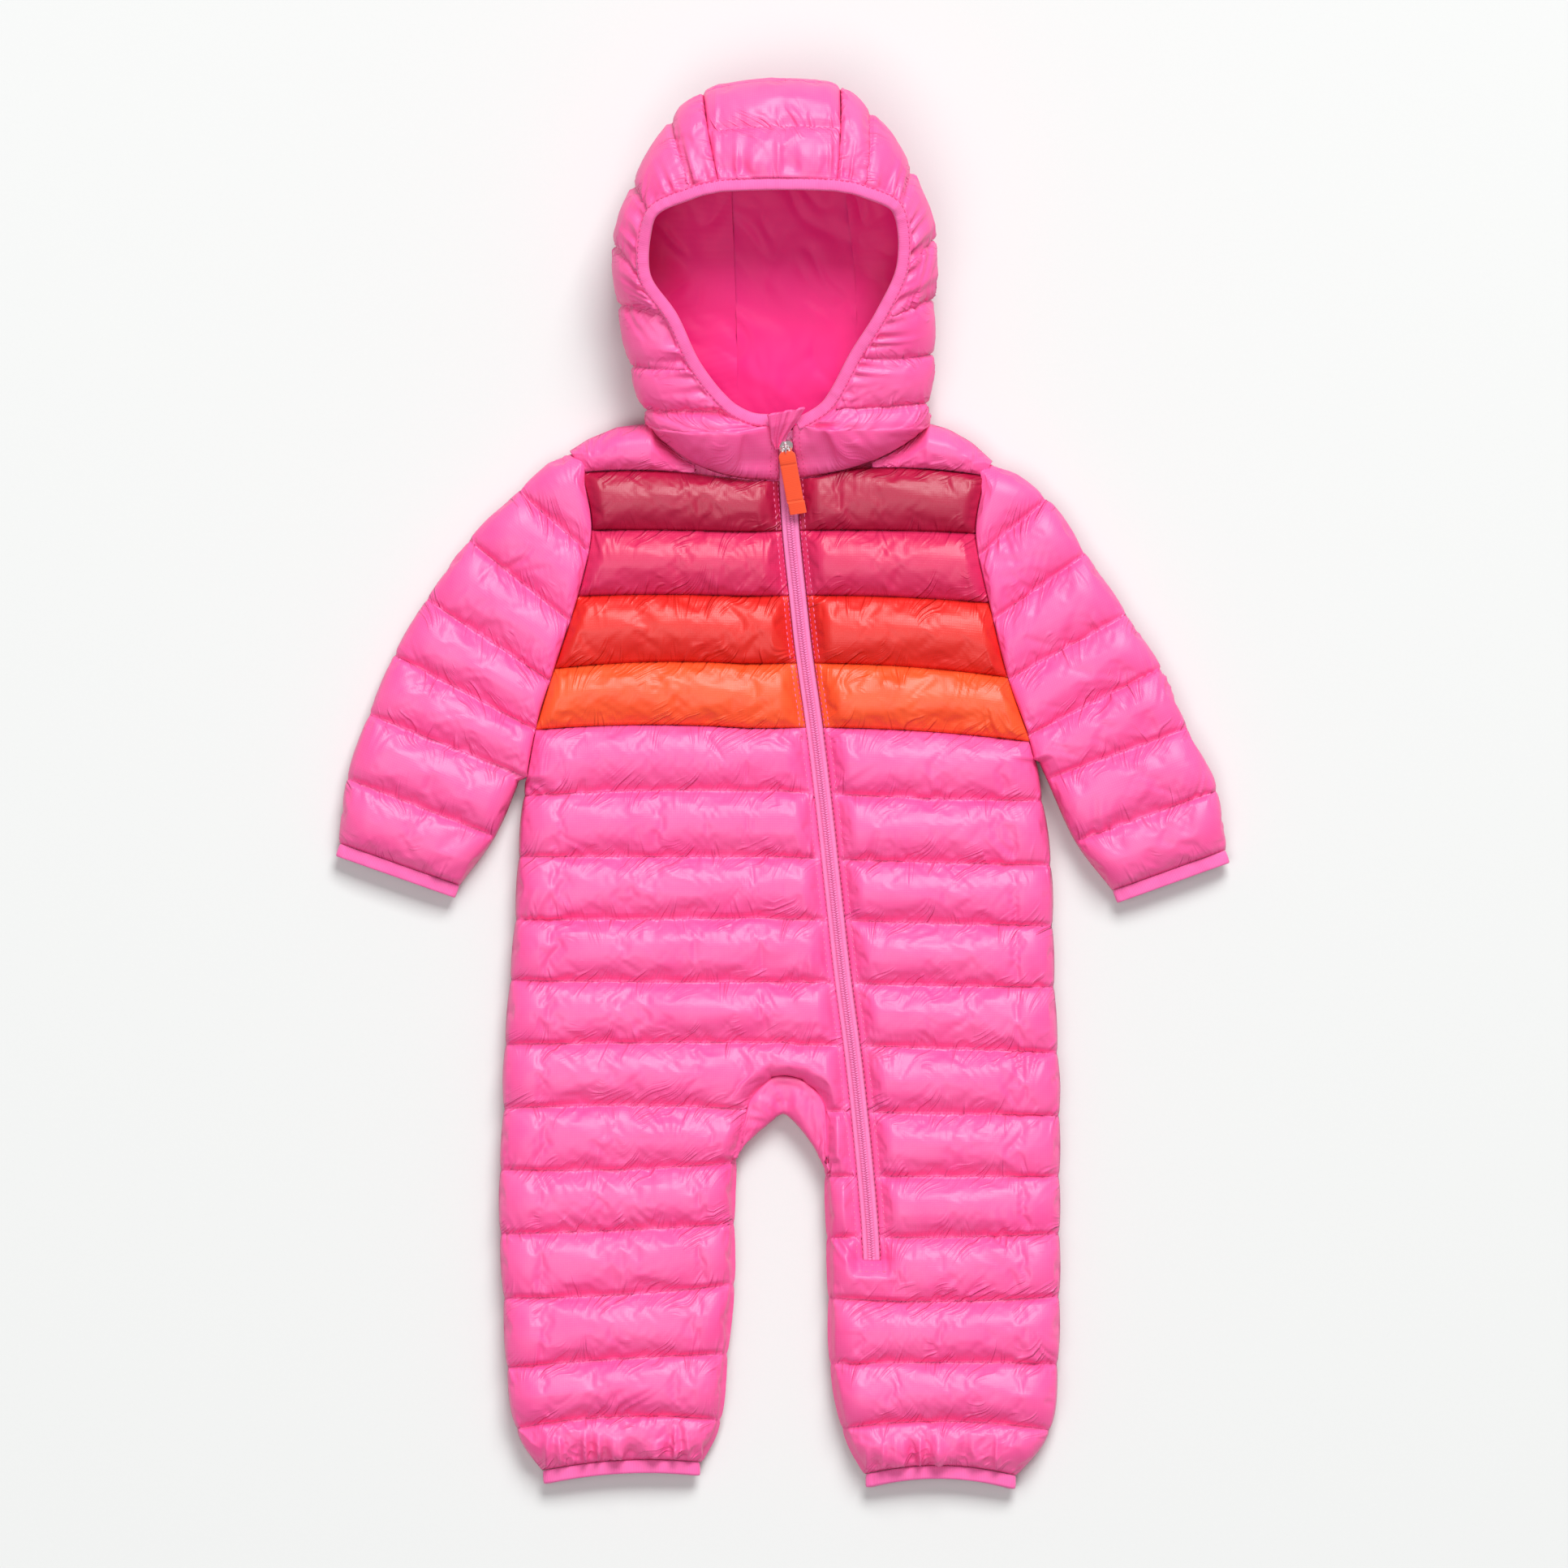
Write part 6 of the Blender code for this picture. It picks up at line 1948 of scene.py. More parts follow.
@dataclass
class EndBinding:
    """Elastic binding round a flattened cuff or ankle, gathered in small folds.

    Attributes:
        name: the piece's name.
        node: the solid that it stands for.
        fold: plan position of the end's outer corner.
        seam: plan position of its inner corner.
        onward: plan direction past the end.
        rests_on: the cloth that it is sewn to, not used.
        seed: which pattern of puckers.
        bow: how far the end's middle hangs past its corners, in millimetres.
        reach: how far the binding stands past the end.
        half_height: half of its height off the floor.
    """

    name: str
    node: str
    fold: np.ndarray
    seam: np.ndarray
    onward: np.ndarray
    rests_on: tuple[str, ...]
    seed: int = 5
    bow: float = 0.0
    reach: float = 8.0
    half_height: float = 5.8

    def build(self) -> Object:
        """The binding, standing on past the end of the sleeve or leg.

        Returns:
            The dressed piece.
        """
        centre = (self.fold + self.seam) / 2
        across = (self.fold - self.seam) / 2
        half_width = float(np.hypot(*across))
        across = across / half_width
        turns = np.linspace(0, 2 * math.pi, 180, endpoint=False)
        profile = self.profile()
        rings = []
        for angle in turns:
            wide, high = squared(angle, 0.6)
            pucker = float(Noise(self.seed).at(np.array(angle * half_width / 5.0), np.array(0.5)))
            ring = []
            for along, share in profile:
                bulge = 0.45 * pucker * math.sin(math.pi * clamp(along / self.reach))
                width = lerp(half_width - 4.5, half_width, share)
                height = lerp(END_SLIT, self.half_height, share) + bulge
                plan = centre + across * width * wide + self.onward * (along - self.bow * (1 - wide**2))
                ring.append((*plan, END_HEIGHT + height * high))
            rings.append(ring)
        made = tube(self.name, np.array(rings), BINDING, closed=True)
        return dress(made, [self.node])

    def profile(self) -> list[tuple[float, float]]:
        """Steps along the binding's section: distance past the end, and share of its full height.

        Returns:
            The steps.
        """
        wide = self.reach
        outer = [(0.4 + (wide - 0.8) * t, 0.93 + 0.07 * math.sin(math.pi * t) ** 0.5) for t in np.linspace(0, 1, 9)]
        past_end = [(wide, 0.8), (wide, 0.45), (wide, 0.15), (wide / 2, 0.1)]
        return [(SEAM_GAP, 0.15), (SEAM_GAP, 0.8), *outer, *past_end]


def end_binding(
    piece: str, side: Side, fold: PlanPoint, seam: PlanPoint, rests_on: tuple[str, ...], seed: int, bow: float = 0.0
) -> EndBinding:
    """The binding of one cuff or ankle.

    Args:
        piece: "cuff" or "ankle".
        side: which side of the garment.
        fold: plan position of the end's outer corner.
        seam: plan position of its inner corner.
        rests_on: the cloth that it is sewn to.
        seed: which pattern of puckers.
        bow: how far the end's middle hangs past its corners, in millimetres.

    Returns:
        The binding.
    """
    along = unit(np.subtract(fold, seam))
    onward = np.array([along[1], -along[0]]) * (-1 if along[0] < 0 else 1)
    names = f"{piece}_knit_{side.wearer}", f"{piece}_binding_{side.wearer}"
    return EndBinding(*names, np.array(fold), np.array(seam), onward, rests_on, seed, bow)


def end_bindings() -> list[EndBinding]:
    """The bindings of both cuffs and both ankles.

    Returns:
        The four bindings.
    """
    made = []
    for side in Side:
        cuff, ankle = SLEEVE_LINES[side][-1], QUILT_LINES[-1]
        fold, seam = PlanPoint(cuff.outer_x, cuff.outer_y), PlanPoint(cuff.inner_x, cuff.inner_y)
        made.append(end_binding("cuff", side, fold, seam, (f"sleeve_cloth_{side.wearer}",), 51 + side.inward))
        fold, seam = ankle.edge(side), ankle.crotch(side)
        bow = getattr(ankle, f"{side.value}_mid_y") - (fold.y + seam.y) / 2
        trunk = ("front_lower_cloth", "back_cloth")
        made.append(end_binding("ankle", side, fold, seam, trunk, 55 + side.inward, bow))
    return made


# Hood

HOOD_WALL = 8.0  # the hood's padding
HOOD_RIM_WALL = 2.6  # its padding at the face binding
HOOD_BACK_LIFT = 2.5  # its middle surface's height off the floor
HOOD_TURN = 30.0  # radius at which it turns under
NECK_CLEARANCE = 0.3  # between the hood and the back's neck seam
HOOD_MIDDLE = np.array([-5.0, 290.0, 45.0])  # a point inside it
CROWN_K = 7  # its last line, at the centre piece
BINDING_START_K = {Side.WEST: 0.6, Side.EAST: 0.7}  # lines at which the face binding ends
RIM_START_ANGLE = math.radians(20)
SIDE_U = 0.5  # share of the way from the rim at which a line reaches the side
TURN_U = 0.75  # share at which it reaches the back


def hood_base(side: Side, k: float, u: float) -> np.ndarray:
    """Point of a hood side piece's middle surface: line k, from the rim at u = 0 to the back.

    Args:
        side: which side of the garment.
        k: number of the hood line, counted from the neck.
        u: 0 at the rim, 1 at the centre piece's seam.

    Returns:
        The point.
    """
    line = hood_line(side, k)
    start_angle = RIM_START_ANGLE * min(k, 1.0)
    back_point = np.array([line.back_x, line.back_y])
    edge = np.array([line.side_x, line.side_y])
    to_back = back_point - edge
    reach = float(np.hypot(*to_back))
    turn = edge + to_back / reach * min(HOOD_TURN, 0.7 * reach)
    if u <= SIDE_U:
        angle = lerp(start_angle, math.pi / 2, u / SIDE_U)
        share = (math.sin(angle) - math.sin(start_angle)) / (1 - math.sin(start_angle))
        rise = math.cos(angle) / math.cos(start_angle)
        return np.array([*bowed(line, share), lerp(line.side_z, line.rim_z, rise)])
    if u <= TURN_U:
        angle = (u - SIDE_U) / (TURN_U - SIDE_U) * math.pi / 2
        plan = turn + (edge - turn) * math.cos(angle)
        return np.array([*plan, lerp(line.side_z, HOOD_BACK_LIFT, math.sin(angle))])
    share = (u - TURN_U) / (1 - TURN_U)
    return np.array([*lerp(turn, back_point, share), HOOD_BACK_LIFT])


def crown_seam(side: Side, v: float) -> np.ndarray:
    """Point of the seam beside the hood's centre piece, from the rim at 0 over the crown at 1 to the neck at 2."""
    return hood_base(side, CROWN_K, v) if v <= 1 else hood_base(side, CROWN_K * (2 - v), 1.0)


def strip_base(v: float, w: float) -> np.ndarray:
    """Point of the hood's centre piece, w across it from its west seam."""
    arch = np.array([0.0, 4 * w * (1 - w) * max(0.0, 1 - v / 0.3), 0.0])
    return lerp(crown_seam(Side.WEST, v), crown_seam(Side.EAST, v), w) + arch


def crown_normals(vs: np.ndarray) -> np.ndarray:
    """Unit normals along the seams between the hood's side and centre pieces.

    Args:
        vs: rows of the centre piece.

    Returns:
        A normal for each row.
    """
    step = 0.02
    ahead = np.array([strip_base(min(v + step, 2.0), 0.5) for v in vs])
    behind = np.array([strip_base(max(v - step, 0.0), 0.5) for v in vs])
    here = np.array([strip_base(v, 0.5) for v in vs])
    return turned_out(unit(np.cross(ahead - behind, (1.0, 0.0, 0.0))), here, HOOD_MIDDLE)


def clear_of_back(points: np.ndarray) -> np.ndarray:
    """The points, kept above the floor and past the back's neck seam.

    Args:
        points: points of the hood.

    Returns:
        The points, some of them moved.
    """
    neck = polyline_y(BACK_NECK, points[..., 0]) + NECK_CLEARANCE
    low = points[..., 2] < MID_PLANE + SEAM_GAP
    result = points.copy()
    result[..., 1] = np.where(low, np.maximum(points[..., 1], neck), points[..., 1])
    result[..., 2] = np.maximum(points[..., 2], 0.0)
    return result


@dataclass
class HoodSurface:
    """The middle surface of one of the hood's pieces, with normals that point out."""

    points: np.ndarray
    normals: np.ndarray

    @classmethod
    def of_side(cls, side: Side, ks: np.ndarray, us: np.ndarray) -> "HoodSurface":
        """A side piece on a grid of lines k and shares u.

        Args:
            side: which side of the garment.
            ks: hood lines.
            us: shares of the way from the rim to the back.

        Returns:
            The surface.
        """
        points = np.array([[hood_base(side, k, u) for u in us] for k in ks])
        normals = unit(np.cross(np.gradient(points, axis=0), np.gradient(points, axis=1)))
        normals = turned_out(normals, points, HOOD_MIDDLE)
        blend = np.clip((ks - CROWN_K + 0.8) / 0.6, 0, 1)[:, None, None]
        return cls(points, unit(lerp(normals, crown_normals(us)[None], blend)))

    @classmethod
    def of_centre(cls, vs: np.ndarray, ws: np.ndarray) -> "HoodSurface":
        """The centre piece on a grid of rows v and shares w."""
        points = np.array([[strip_base(v, w) for w in ws] for v in vs])
        normals = np.repeat(crown_normals(vs)[:, None], len(ws), axis=1)
        return cls(points, normals)

    def off(self, distance: np.ndarray) -> np.ndarray:
        """Points moved off the surface, outwards where the distance is positive."""
        return clear_of_back(self.points + self.normals * np.asarray(distance)[..., None])


def wall_thickness(reach: np.ndarray) -> np.ndarray:
    """Padding between the shell and the lining, thin at the face binding."""
    return lerp(HOOD_RIM_WALL, HOOD_WALL, np.minimum(np.asarray(reach) / 0.22, 1.0))


def rim_gathers(along: np.ndarray, from_rim: np.ndarray, depth: float, seed: int) -> np.ndarray:
    """Folds that the face opening's elastic draws in, square to the rim.

    Args:
        along: position along the rim.
        from_rim: distance from the rim.
        depth: height of the folds.
        seed: which pattern of folds.

    Returns:
        Heights, in millimetres.
    """
    wave = 1 - 2.4 * np.abs(Noise(seed).at(along / 6.2, from_rim / 60.0))
    length = 11.0 + 9.0 * Noise(seed + 1).at(along / 13.0, 0 * along)
    fade = np.exp(-from_rim / length) * np.clip((from_rim - 0.8) / 2.0, 0, 1)
    return depth * wave * fade


@dataclass
class Hood:
    """The padded hood with its lining and the elastic binding round the face opening.

    Lengths are in millimetres.

    Attributes:
        puff: how far a baffle rises from its quilt lines.
        rows: grid rows in each baffle.
        collar_top_k: hood line at the collar's top.
        collar_roll: how far the collar's folded middle is moved.
        strip_bulge: how far the centre piece swells over the forehead.
        centre_phase: its first quilt line's distance from the rim, as a share of a baffle.
        lining_gap: space between the padding and the lining.
        binding_width: width of the face binding.
        binding_thickness: its thickness.
        tail_steps: steps by which each of its ends runs on into the collar.
        tail_step: length of such a step.
    """

    puff: float = 5.0
    rows: int = 12
    collar_top_k: float = 0.5
    collar_roll: tuple[float, float, float] = (0.0, -4.0, 8.0)
    strip_bulge: float = 5.0
    centre_phase: float = 0.16
    lining_gap: float = 0.6
    binding_width: float = 7.6
    binding_thickness: float = 4.4
    tail_steps: int = 6
    tail_step: float = 1.5

    def crown_columns(self) -> np.ndarray:
        """Shares from the rim to the back, closest at the rim and where the hood turns under."""
        stretches = [eased(0, SIDE_U, 36, 0.3), eased(SIDE_U, TURN_U, 14, 0), eased(TURN_U, 1, 8, 0)]
        return np.concatenate([stretches[0], stretches[1][1:], stretches[2][1:]])

    def side(self, side: Side) -> Object:
        """One side: collar, cheek and half of the crown, turned under to the centre piece.

        Args:
            side: which side of the garment.

        Returns:
            The dressed piece.
        """
        ks = np.linspace(0.0, CROWN_K, CROWN_K * self.rows + 1)
        us = self.crown_columns()
        surface = HoodSurface.of_side(side, ks, us)
        fill = np.array([puff(k) for k in ks])[:, None] * np.minimum(1.0, 0.35 + 3.0 * us)[None, :]
        fill = fill * (1 - 0.35 * np.exp(-(((us - SIDE_U) / 0.12) ** 2)))[None, :]
        points = surface.off(-1.0 + self.puff * fill)
        share = np.clip(11 * us, 0, 1) * np.clip(6 * (SIDE_U - us), 0, 1)
        rolled = np.sin(np.pi * np.clip(ks, 0, 1) ** 0.8)[:, None] * share[None, :]
        points += np.array(self.collar_roll) * rolled[..., None]
        along = np.array([run_along(row) for row in points])
        line = np.repeat(ks[:, None], len(us), axis=1)
        held = sewn(points, slice(None, None, self.rows), (us > 0.72) | (us == 0))
        sheet = Sheet(points, line, along, held, away_from=tuple(HOOD_MIDDLE))
        sheet = sheet.inflated(Inflation(seed=100 + side.inward, surplus=0.13, drift=3.0)).finer()
        sheet = sheet.gathered(Gathers(seed=103 + side.inward, depth=1.3, reach=10))
        rim_run = sheet.line * BAFFLE_PITCH
        folds = rim_gathers(rim_run, sheet.along, 3.6, 105 + side.inward) * (sheet.line > self.collar_top_k)
        collar = np.clip(1.15 - sheet.line, 0, 1) * np.clip(sheet.line * 4, 0, 1) * np.clip(sheet.along / 20, 0, 1)
        slant = (sheet.along + 0.9 * rim_run) / 11.0
        folds += 2.4 * collar * (0.4 - np.abs(Noise(125 + side.inward).at(slant, rim_run / 40.0)))
        sheet = sheet.lifted(folds * sheet.inside())
        for k in range(1, CROWN_K):
            QUILTING.add(sheet.row_at(k)[2:-20])
        edge = sheet.along[12]
        in_collar = sheet.line[:, 0] < self.collar_top_k + 0.02
        for offset in (4.4, 1.1):
            QUILTING.add(sheet.points[in_collar, int(np.argmin(np.abs(edge - offset)))])
        made = cloth_object(f"hood_side_cloth_{side.wearer}", sheet, PINK_SHELL)
        return dress(made, [f"hood_side_{side.wearer}"])

    def centre(self) -> Object:
        """The centre piece from the face opening, over the crown, down the back to the neck.

        Returns:
            The dressed piece.
        """
        samples = np.linspace(0, 2, 401)
        path = np.array([strip_base(v, 0.5) for v in samples])
        run = run_along(path) / BAFFLE_PITCH + self.centre_phase
        phases = np.arange(math.ceil(run[0] * self.rows), math.floor(run[-1] * self.rows) + 1) / self.rows
        phases = phases[(phases > run[0] + 0.04) & (phases < run[-1] - 0.04)]
        phases = np.concatenate([[run[0]], phases, [run[-1]]])
        vs = np.interp(phases, run, samples)
        ws = eased(0, 1, 32, 0.4)
        surface = HoodSurface.of_centre(vs, ws)
        edge = np.array([roll(min(w, 1 - w), 0.12) for w in ws])[None, :]
        fill = np.array([puff(p) for p in phases])[:, None] * edge
        swell = -1.0 + self.puff * fill * np.minimum(1.0, 0.35 + 3.0 * vs)[:, None]
        over_forehead = np.maximum(0, 1 - np.abs(vs - 0.4) / 0.6)[:, None]
        swell = swell + self.strip_bulge * (4 * ws * (1 - ws))[None, :] * over_forehead
        points = surface.off(swell)
        along = points[..., 0].copy()
        line = np.repeat(phases[:, None], len(ws), axis=1)
        held = sewn(points, np.abs(phases - np.round(phases)) < 1e-6, [0, -1])
        held[[0, -1]] = 1
        sheet = Sheet(points, line, along, held, away_from=tuple(HOOD_MIDDLE))
        sheet = sheet.inflated(Inflation(seed=110, surplus=0.12, drift=2.8)).finer()
        sheet = sheet.gathered(Gathers(seed=111, depth=1.1))
        folds = rim_gathers(sheet.along, (sheet.line - self.centre_phase) * BAFFLE_PITCH - 1.0, 3.4, 113)
        sheet = sheet.lifted(folds * sheet.inside(5))
        for phase in range(1, int(run[-1]) + 1):
            QUILTING.add(sheet.row_at(phase)[2:-2])
        made = cloth_object("hood_centre_cloth", sheet, PINK_SHELL)
        return dress(made, ["hood_centre"])

    def lining_folds(self, sheet: Sheet, seed: int) -> Sheet:
        """A lining with long soft folds that run slantwise.

        Args:
            sheet: the lining.
            seed: which pattern of folds.

        Returns:
            The folded lining.
        """
        x, y, z = (sheet.points[..., axis] for axis in range(3))
        bend = 9.0 * Noise(seed + 2).at(x / 31.0, y / 27.0)
        slant, cross = (x + 0.9 * y + 0.4 * z + bend) / 27.0, (x - 0.7 * y + bend) / 19.0
        soft = Noise(seed).at(slant, (x - y) / 60.0)
        fine = np.abs(Noise(seed + 1).at(slant * 2.1, (x - y) / 33.0))
        crossed = np.abs(Noise(seed + 3).at(cross, (x + y) / 37.0))
        where = np.clip(0.5 + Noise(seed + 4).at(x / 23.0, y / 29.0), 0, 1)
        border = np.clip(np.minimum(sheet.line, 1 - sheet.line) * 12, 0, 1)
        return sheet.lifted((1.6 * soft - 1.8 * fine * where - 2.0 * crossed * (1 - where)) * border)

    def lining(self, side: Optional[Side]) -> Object:
        """One piece of the lining: a side, or the centre if no side is given.

        Args:
            side: which side, or None.

        Returns:
            The dressed piece.
        """
        if side is None:
            rows, columns = np.linspace(0.02, 1.98, 90), np.linspace(0.0, 1.0, 26)
            surface = HoodSurface.of_centre(rows, columns)
            thickness = np.repeat(wall_thickness(rows)[:, None], len(columns), axis=1)
            name, word = "hood_lining_centre", "centre"
        else:
            rows, columns = np.linspace(0.42, CROWN_K, 80), np.linspace(0.01, 1.0, 50)
            surface = HoodSurface.of_side(side, rows, columns)
            thickness = np.repeat(wall_thickness(columns)[None, :], len(rows), axis=0)
            name, word = f"hood_lining_{side.wearer}", side.wearer
        points = surface.off(-thickness - self.lining_gap)
        share = (rows - rows[0]) / (rows[-1] - rows[0])
        line = np.repeat(share[:, None], len(columns), axis=1)
        sheet = Sheet(points, line, points[..., 0].copy(), 0 * line, away_from=tuple(HOOD_MIDDLE))
        sheet = self.lining_folds(sheet.finer(), 120 if side is None else 122 + side.inward)
        made = cloth_object(f"lining_cloth_{word}", sheet, LINING, hem=0.0)
        return dress(made, [name])

    def rim_path(self) -> tuple[np.ndarray, np.ndarray]:
        """Points round the face opening, and the directions past its edge.

        Returns:
            The points, and the directions.
        """
        edge, behind = (
            np.array([
                *(hood_base(Side.WEST, k, u) for k in np.linspace(BINDING_START_K[Side.WEST], CROWN_K, 150)),
                *(strip_base(u, w) for w in np.linspace(0, 1, 40)[1:-1]),
                *(hood_base(Side.EAST, k, u) for k in np.linspace(CROWN_K, BINDING_START_K[Side.EAST], 150)),
            ])
            for u in (0.0, 0.04)
        )
        return smoothed(edge, 5), smoothed(unit(edge - behind), 9)

    def binding(self) -> Object:
        """The elastic binding folded over the edge of the face opening, in small gathers.

        Returns:
            The dressed piece.
        """
        path, onward = self.rim_path()
        ahead = unit(np.gradient(path, axis=0))
        inward = unit((HOOD_MIDDLE - path) * (1.0, 1.0, 0.0))
        parallel = np.abs(np.sum(onward * ahead, axis=-1, keepdims=True))
        onward = smoothed(unit(lerp(onward, inward, np.clip((parallel - 0.3) / 0.3, 0, 1))), 9)
        onward = unit(onward - ahead * np.sum(onward * ahead, axis=-1, keepdims=True))
        outward = unit(np.cross(onward, ahead))
        outward = np.where(outward[:, 2:] > 0, outward, -outward)
        tail = self.tail_step * np.arange(1, self.tail_steps + 1)[:, None]
        path = np.vstack([path[:1] - ahead[:1] * tail[::-1], path, path[-1:] + ahead[-1:] * tail])
        onward, outward = (np.pad(values, ((len(tail), len(tail)), (0, 0)), "edge") for values in (onward, outward))
        centre = path + onward * (self.binding_width / 2 - 0.9) - outward * 0.8
        run = run_along(path)
        dense = np.arange(0, run[-1], 0.9)
        centre, onward, outward = (resampled(values, run, dense) for values in (centre, onward, outward))
        wave = Noise(130).at(dense / 3.4, 0 * dense + 0.4)
        rings = []
        for angle in np.linspace(0, 2 * math.pi, 18, endpoint=False):
            wide, high = squared(angle, 0.75)
            bulge = 0.30 * wave[:, None] * max(math.sin(angle), 0.0)
            rise = high * self.binding_thickness / 2 + bulge
            rings.append(centre + onward * wide * self.binding_width / 2 + outward * rise)
        seam = centre - onward * (self.binding_width / 2 - 1.0) + outward * (self.binding_thickness / 2 - 0.15)
        QUILTING.add(seam)
        made = tube("face_binding", np.stack(rings, axis=1), BINDING)
        return dress(made, ["hood_binding"])

    def build(self) -> None:
        """Makes every piece of the hood."""
        for side in Side:
            self.side(side)
            self.lining(side)
        self.centre()
        self.lining(None)
        self.binding()


def smoothed(values: np.ndarray, width: int) -> np.ndarray:
    """A running mean along rows of points, its ends kept."""
    padded = np.pad(values, ((width // 2, width // 2), (0, 0)), "edge")
    return np.stack([np.convolve(column, np.ones(width) / width, "valid") for column in padded.T], -1)


# Zip

SLIDER_Y = 201.0
SLIDER_HEIGHT = 4.4


def zip_frame(y: float) -> tuple[np.ndarray, np.ndarray, np.ndarray]:
    """Centre of the tapes' top face at y, with unit vectors across the zip and away from the garment.

    Args:
        y: position up the garment, in millimetres.

    Returns:
        The centre and the two vectors.
    """
    here = zip_at(y)
    low, high = zip_at(y - 2.0), zip_at(y + 2.0)
    up_zip = unit(np.array([high.x - low.x, 4.0, high.z - low.z]))
    outward = unit(np.cross((1.0, 0.0, 0.0), up_zip))
    return np.array([here.x, y, here.z]), unit(np.cross(up_zip, outward)), outward


def slider_frame() -> tuple[Vector, Vector, Vector, Vector]:
    """Origin on top of the slider, with unit vectors east, up the zip and away from the garment.

    Returns:
        The origin and the three vectors.
    """
    low, high = zip_at(SLIDER_Y - 4.0), zip_at(SLIDER_Y + 4.0)
    up_zip = Vector((high.x - low.x, 8.0, high.z - low.z)).normalized()
    outward = Vector((1.0, 0.0, 0.0)).cross(up_zip).normalized()
    here = zip_at(SLIDER_Y)
    base = Vector((here.x, SLIDER_Y, here.z)) + outward * 0.4
    return base + outward * SLIDER_HEIGHT, up_zip.cross(outward), up_zip, outward


@dataclass
class Zip:
    """Tapes, coil, slider, folded cover and the pull with its webbing.

    Lengths are in millimetres.

    Attributes:
        bottom_y: y of the zip's lower end.
        top_y: y of its upper end.
        coil_pitch: distance between two turns of a coil.
        coil_radius: half the coil's thickness.
        bridge_rise: height of the wire that holds the pull, over the slider.
        bridge_wire: thickness of that wire.
        pull_end: the pull's lower end.
        webbing_width: width of its webbing.
        webbing_thickness: thickness of the folded webbing.
        webbing_start: distance of its upper end from the pivot.
        hem: length of its turned lower end.
    """

    bottom_y: float = -279.5
    top_y: float = 211.0
    coil_pitch: float = 1.5
    coil_radius: float = 0.36
    bridge_rise: float = 3.0
    bridge_wire: float = 0.7
    pull_end: tuple[float, float, float] = (7.7, 160.0, 25.5)
    webbing_width: float = 10.0
    webbing_thickness: float = 2.8
    webbing_start: float = 1.6
    hem: float = 7.6

    def tape(self, side: Side) -> Object:
        """One woven tape, with a raised band over its coil.

        Args:
            side: which side of the garment.

        Returns:
            The dressed piece.
        """
        sign = -side.inward
        ys = np.arange(self.bottom_y - 4.0, 209.0, 2.0)
        offsets = [5.2, 5.0, 4.0, 3.0, 2.45, 2.2, 1.6, 1.0, 0.5, 0.15, 0.06, 0.06]
        heights = [-0.9, 0.0, 0.05, 0.08, 0.35, 0.95, 1.35, 1.45, 1.3, 0.95, 0.4, -0.9]
        rings, weave = [], []
        for y in ys:
            origin, across, outward = zip_frame(y)
            rings.append([origin + across * sign * offset + outward * rise for offset, rise in zip(offsets, heights)])
            weave.append([(offset, y, 0.0) for offset in offsets])
        made = tube(f"tape_{side.wearer}", np.array(rings), ZIP_TAPE)
        store_weave(made, weave)
        return dress(made, [f"zip_tape_{side.wearer}"])

    def coil(self) -> Object:
        """Both nylon coils, seen as the ends of their turns along the middle.

        Returns:
            The dressed piece.
        """
        points, faces, sides = [], [], 5
        for sign in (-1, 1):
            for y in np.arange(self.bottom_y, 195.0, self.coil_pitch):
                origin, across, outward = zip_frame(y + (self.coil_pitch / 2 if sign > 0 else 0.0))
                along = np.cross(across, outward)
                turn = [(2.25, 0.7, 0.0), (1.5, 1.55, 0.12), (0.6, 1.75, 0.0), (-0.35, 1.35, -0.12)]
                faces += tube_faces(len(points), len(turn), sides)
                for aside, rise, ahead in turn:
                    point = origin + across * sign * aside + outward * rise + along * ahead
                    for angle in np.linspace(0, 2 * math.pi, sides, endpoint=False):
                        points.append(point + (along * math.cos(angle) + outward * math.sin(angle)) * self.coil_radius)
        made = new_object("zip_coil", np.array(points), faces, ZIP_COIL)
        return dress(made, ["zip_teeth"])

    def pull_axes(self) -> tuple[Vector, Vector, Vector, Vector]:
        """The pull's pivot, with unit vectors across it, up it and away from the garment.

        Returns:
            The pivot and the three vectors.
        """
        top, east, _, outward = slider_frame()
        pivot = top + outward * (self.bridge_rise - self.bridge_wire) / 2
        downward = (Vector(self.pull_end) - pivot).normalized()
        east = (east - downward * east.dot(downward)).normalized()
        return pivot, east, -downward, east.cross(-downward).normalized()

    def webbing(self) -> Object:
        """Grosgrain folded over the metal tab and sewn across twice, with a folded end.

        Returns:
            The dressed piece.
        """
        pivot, east, up, outward = self.pull_axes()
        length = (Vector(self.pull_end) - pivot).length
        near = np.linspace(self.webbing_start, self.webbing_start + 4, 9)
        stops = np.concatenate([near, np.arange(self.webbing_start + 4.4, length, 0.45), [length]])
        turns = np.linspace(0, 2 * math.pi, 28, endpoint=False)
        rings = []
        for at in stops:
            from_start, past_hem = at - self.webbing_start, at - length + self.hem
            half = lerp(2.9, self.webbing_width / 2, math.sin(clamp(from_start / 3.2) * math.pi / 2))
            thick = self.webbing_thickness / 2 * (0.72 + 0.28 * math.sin(math.pi * clamp(from_start / 9.0)))
            for stitch in (self.webbing_start + 8.3, length - 8.2):
                thick -= 0.38 * math.exp(-(((at - stitch) / 0.45) ** 2))
            thick += 0.22 if past_hem > 0 else 0.0
            shift = 0.5 * clamp(past_hem / 0.5)
            corners = [squared(angle, 0.35) for angle in turns]
            rings.append([
                np.array(pivot + east * (wide * half + shift) - up * at + outward * high * thick)
                for wide, high in corners
            ])
        made = tube("pull_strap", np.array(rings), WEBBING)
        store_weave(made, [[(0.0, at, 0.0)] * len(turns) for at in stops])
        return dress(made, ["pull_webbing"], body=PULL)

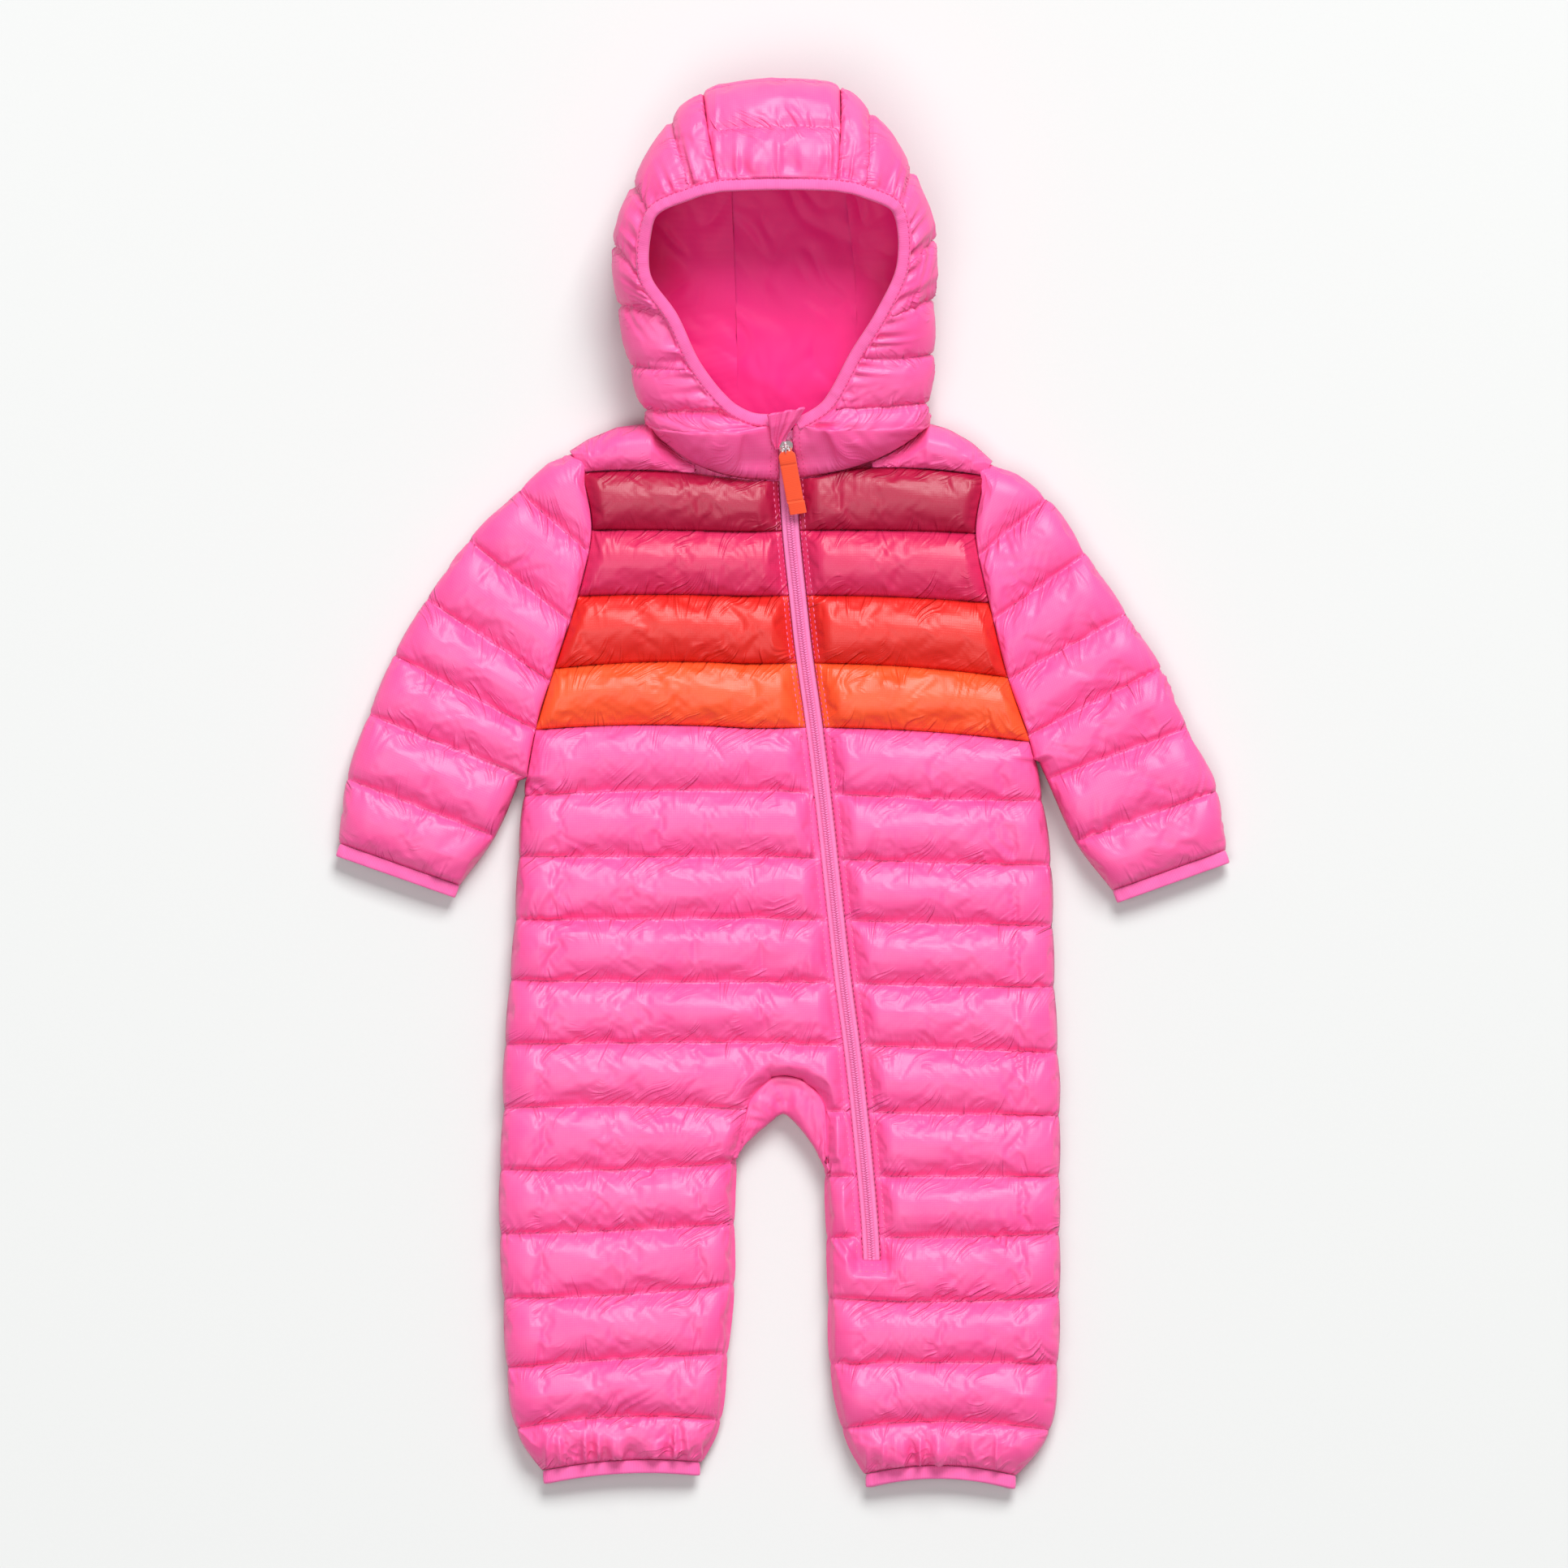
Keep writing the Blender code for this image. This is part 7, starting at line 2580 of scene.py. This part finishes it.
    def metal(self) -> None:
        """Gives the slider and the tab their plating."""
        for name in ("zip_slider", "pull_tab"):
            for slot in bpy.data.objects[name].material_slots:
                slot.material = ZIP_METAL.material()

    def garage(self) -> Object:
        """The cover at the collar's top: a folded tape whose lower end slants over the slider.

        Returns:
            The dressed piece.
        """
        rows = []
        corners = [
            (-10.2, 218.0, 12.4, 222.0, 8.0),
            (-8.6, 210.5, 8.6, 216.0, 8.4),
            (-7.9, 203.0, 1.6, 206.0, 6.4),
            (-4.9, 197.4, -3.2, 198.4, 5.4),
        ]
        for t in np.linspace(0, 3, 25):
            i = min(int(t), 2)
            west_x, west_y, east_x, east_y, lift = (lerp(a, b, t - i) for a, b in zip(corners[i], corners[i + 1]))
            row = []
            for share in np.linspace(0, 1, 33):
                x, y = lerp(west_x, east_x, share), lerp(west_y, east_y, share)
                base = zip_at(min(y, self.top_y)).z + 0.5 * max(y - self.top_y, 0.0)
                pleats = 0.8 * math.sin(share * 5.5 * math.pi + 0.4 * t)
                row.append((x, y, base + lift + 1.2 * math.sin(math.pi * share) + pleats))
            rows.append(row)
        points = np.array(rows)
        line = np.repeat(np.linspace(0, 0.4, 25)[:, None], 33, axis=1)
        sheet = Sheet(points, line, points[..., 0].copy(), np.zeros((25, 33)))
        made = cloth_object("zip_cover", sheet, PINK_SHELL, hem=1.6)
        return dress(made, ["zip_garage"])

    def build(self) -> None:
        """Makes every piece of the zip."""
        for side in Side:
            self.tape(side)
        self.coil()
        self.webbing()
        self.metal()
        self.garage()


# Studio


@dataclass
class Studio:
    """Pale paper floor, soft daylight and an upright camera above."""

    centre: tuple[float, float] = (0.744, 1.382)
    width_mm: float = 927.4
    lens: float = 1200.0

    def floor(self) -> None:
        """The floor on which the garment lies."""
        bpy.ops.mesh.primitive_plane_add(size=14.0, location=(0, 0, -0.0002))
        floor = bpy.context.object
        floor.name = "floor"
        floor.data.materials.append(PAPER.material())

    def area_light(self, name: str, at: tuple, size: float, watts: float, colour: str = "#ffffff") -> None:
        """A square softbox that faces the garment.

        Args:
            name: the light's name.
            at: where it stands, in metres.
            size: length of its edge.
            watts: its power.
            colour: its colour, as a hex number.
        """
        data = bpy.data.lights.new(name, "AREA")
        data.size, data.energy = size, watts
        data.color = linear(colour)[:3]
        lamp = bpy.data.objects.new(name, data)
        bpy.context.scene.collection.objects.link(lamp)
        lamp.location = at
        lamp.rotation_euler = (-Vector(at)).to_track_quat("-Z", "Y").to_euler()

    def build(self) -> None:
        """Floor, lights, surroundings and camera."""
        self.floor()
        self.area_light("key", (1.8, 6.3, 7.5), 4.5, 1010.0)
        self.area_light("overhead", (-0.9, -1.2, 6.0), 3.6, 142.0)
        scene = bpy.context.scene
        world = bpy.data.worlds.new("studio")
        world.use_nodes = True
        background = world.node_tree.nodes["Background"]
        background.inputs["Color"].default_value = linear("#ffffff")
        background.inputs["Strength"].default_value = 0.26
        scene.world = world
        scene.view_settings.view_transform = "Standard"
        camera_data = bpy.data.cameras.new("camera")
        camera_data.lens, camera_data.sensor_width = self.lens, 36.0
        camera_data.clip_end = 100.0
        camera = bpy.data.objects.new("camera", camera_data)
        distance = self.width_mm * MM * self.lens / 36.0
        camera.location = (self.centre[0] * MM, self.centre[1] * MM, distance + 0.015)
        scene.collection.objects.link(camera)
        scene.camera = camera


def main() -> None:
    """Builds each part of the garment, then the studio."""
    logging.basicConfig(level=logging.INFO, format="%(name)s: %(message)s")
    Trunk().build()
    for side in Side:
        Sleeve(side).build()
    Gusset().build()
    for binding in end_bindings():
        binding.build()
    Hood().build()
    Zip().build()
    QUILTING.build()
    TOPSTITCH.build()
    Studio().build()


if __name__ == "__main__":
    main()
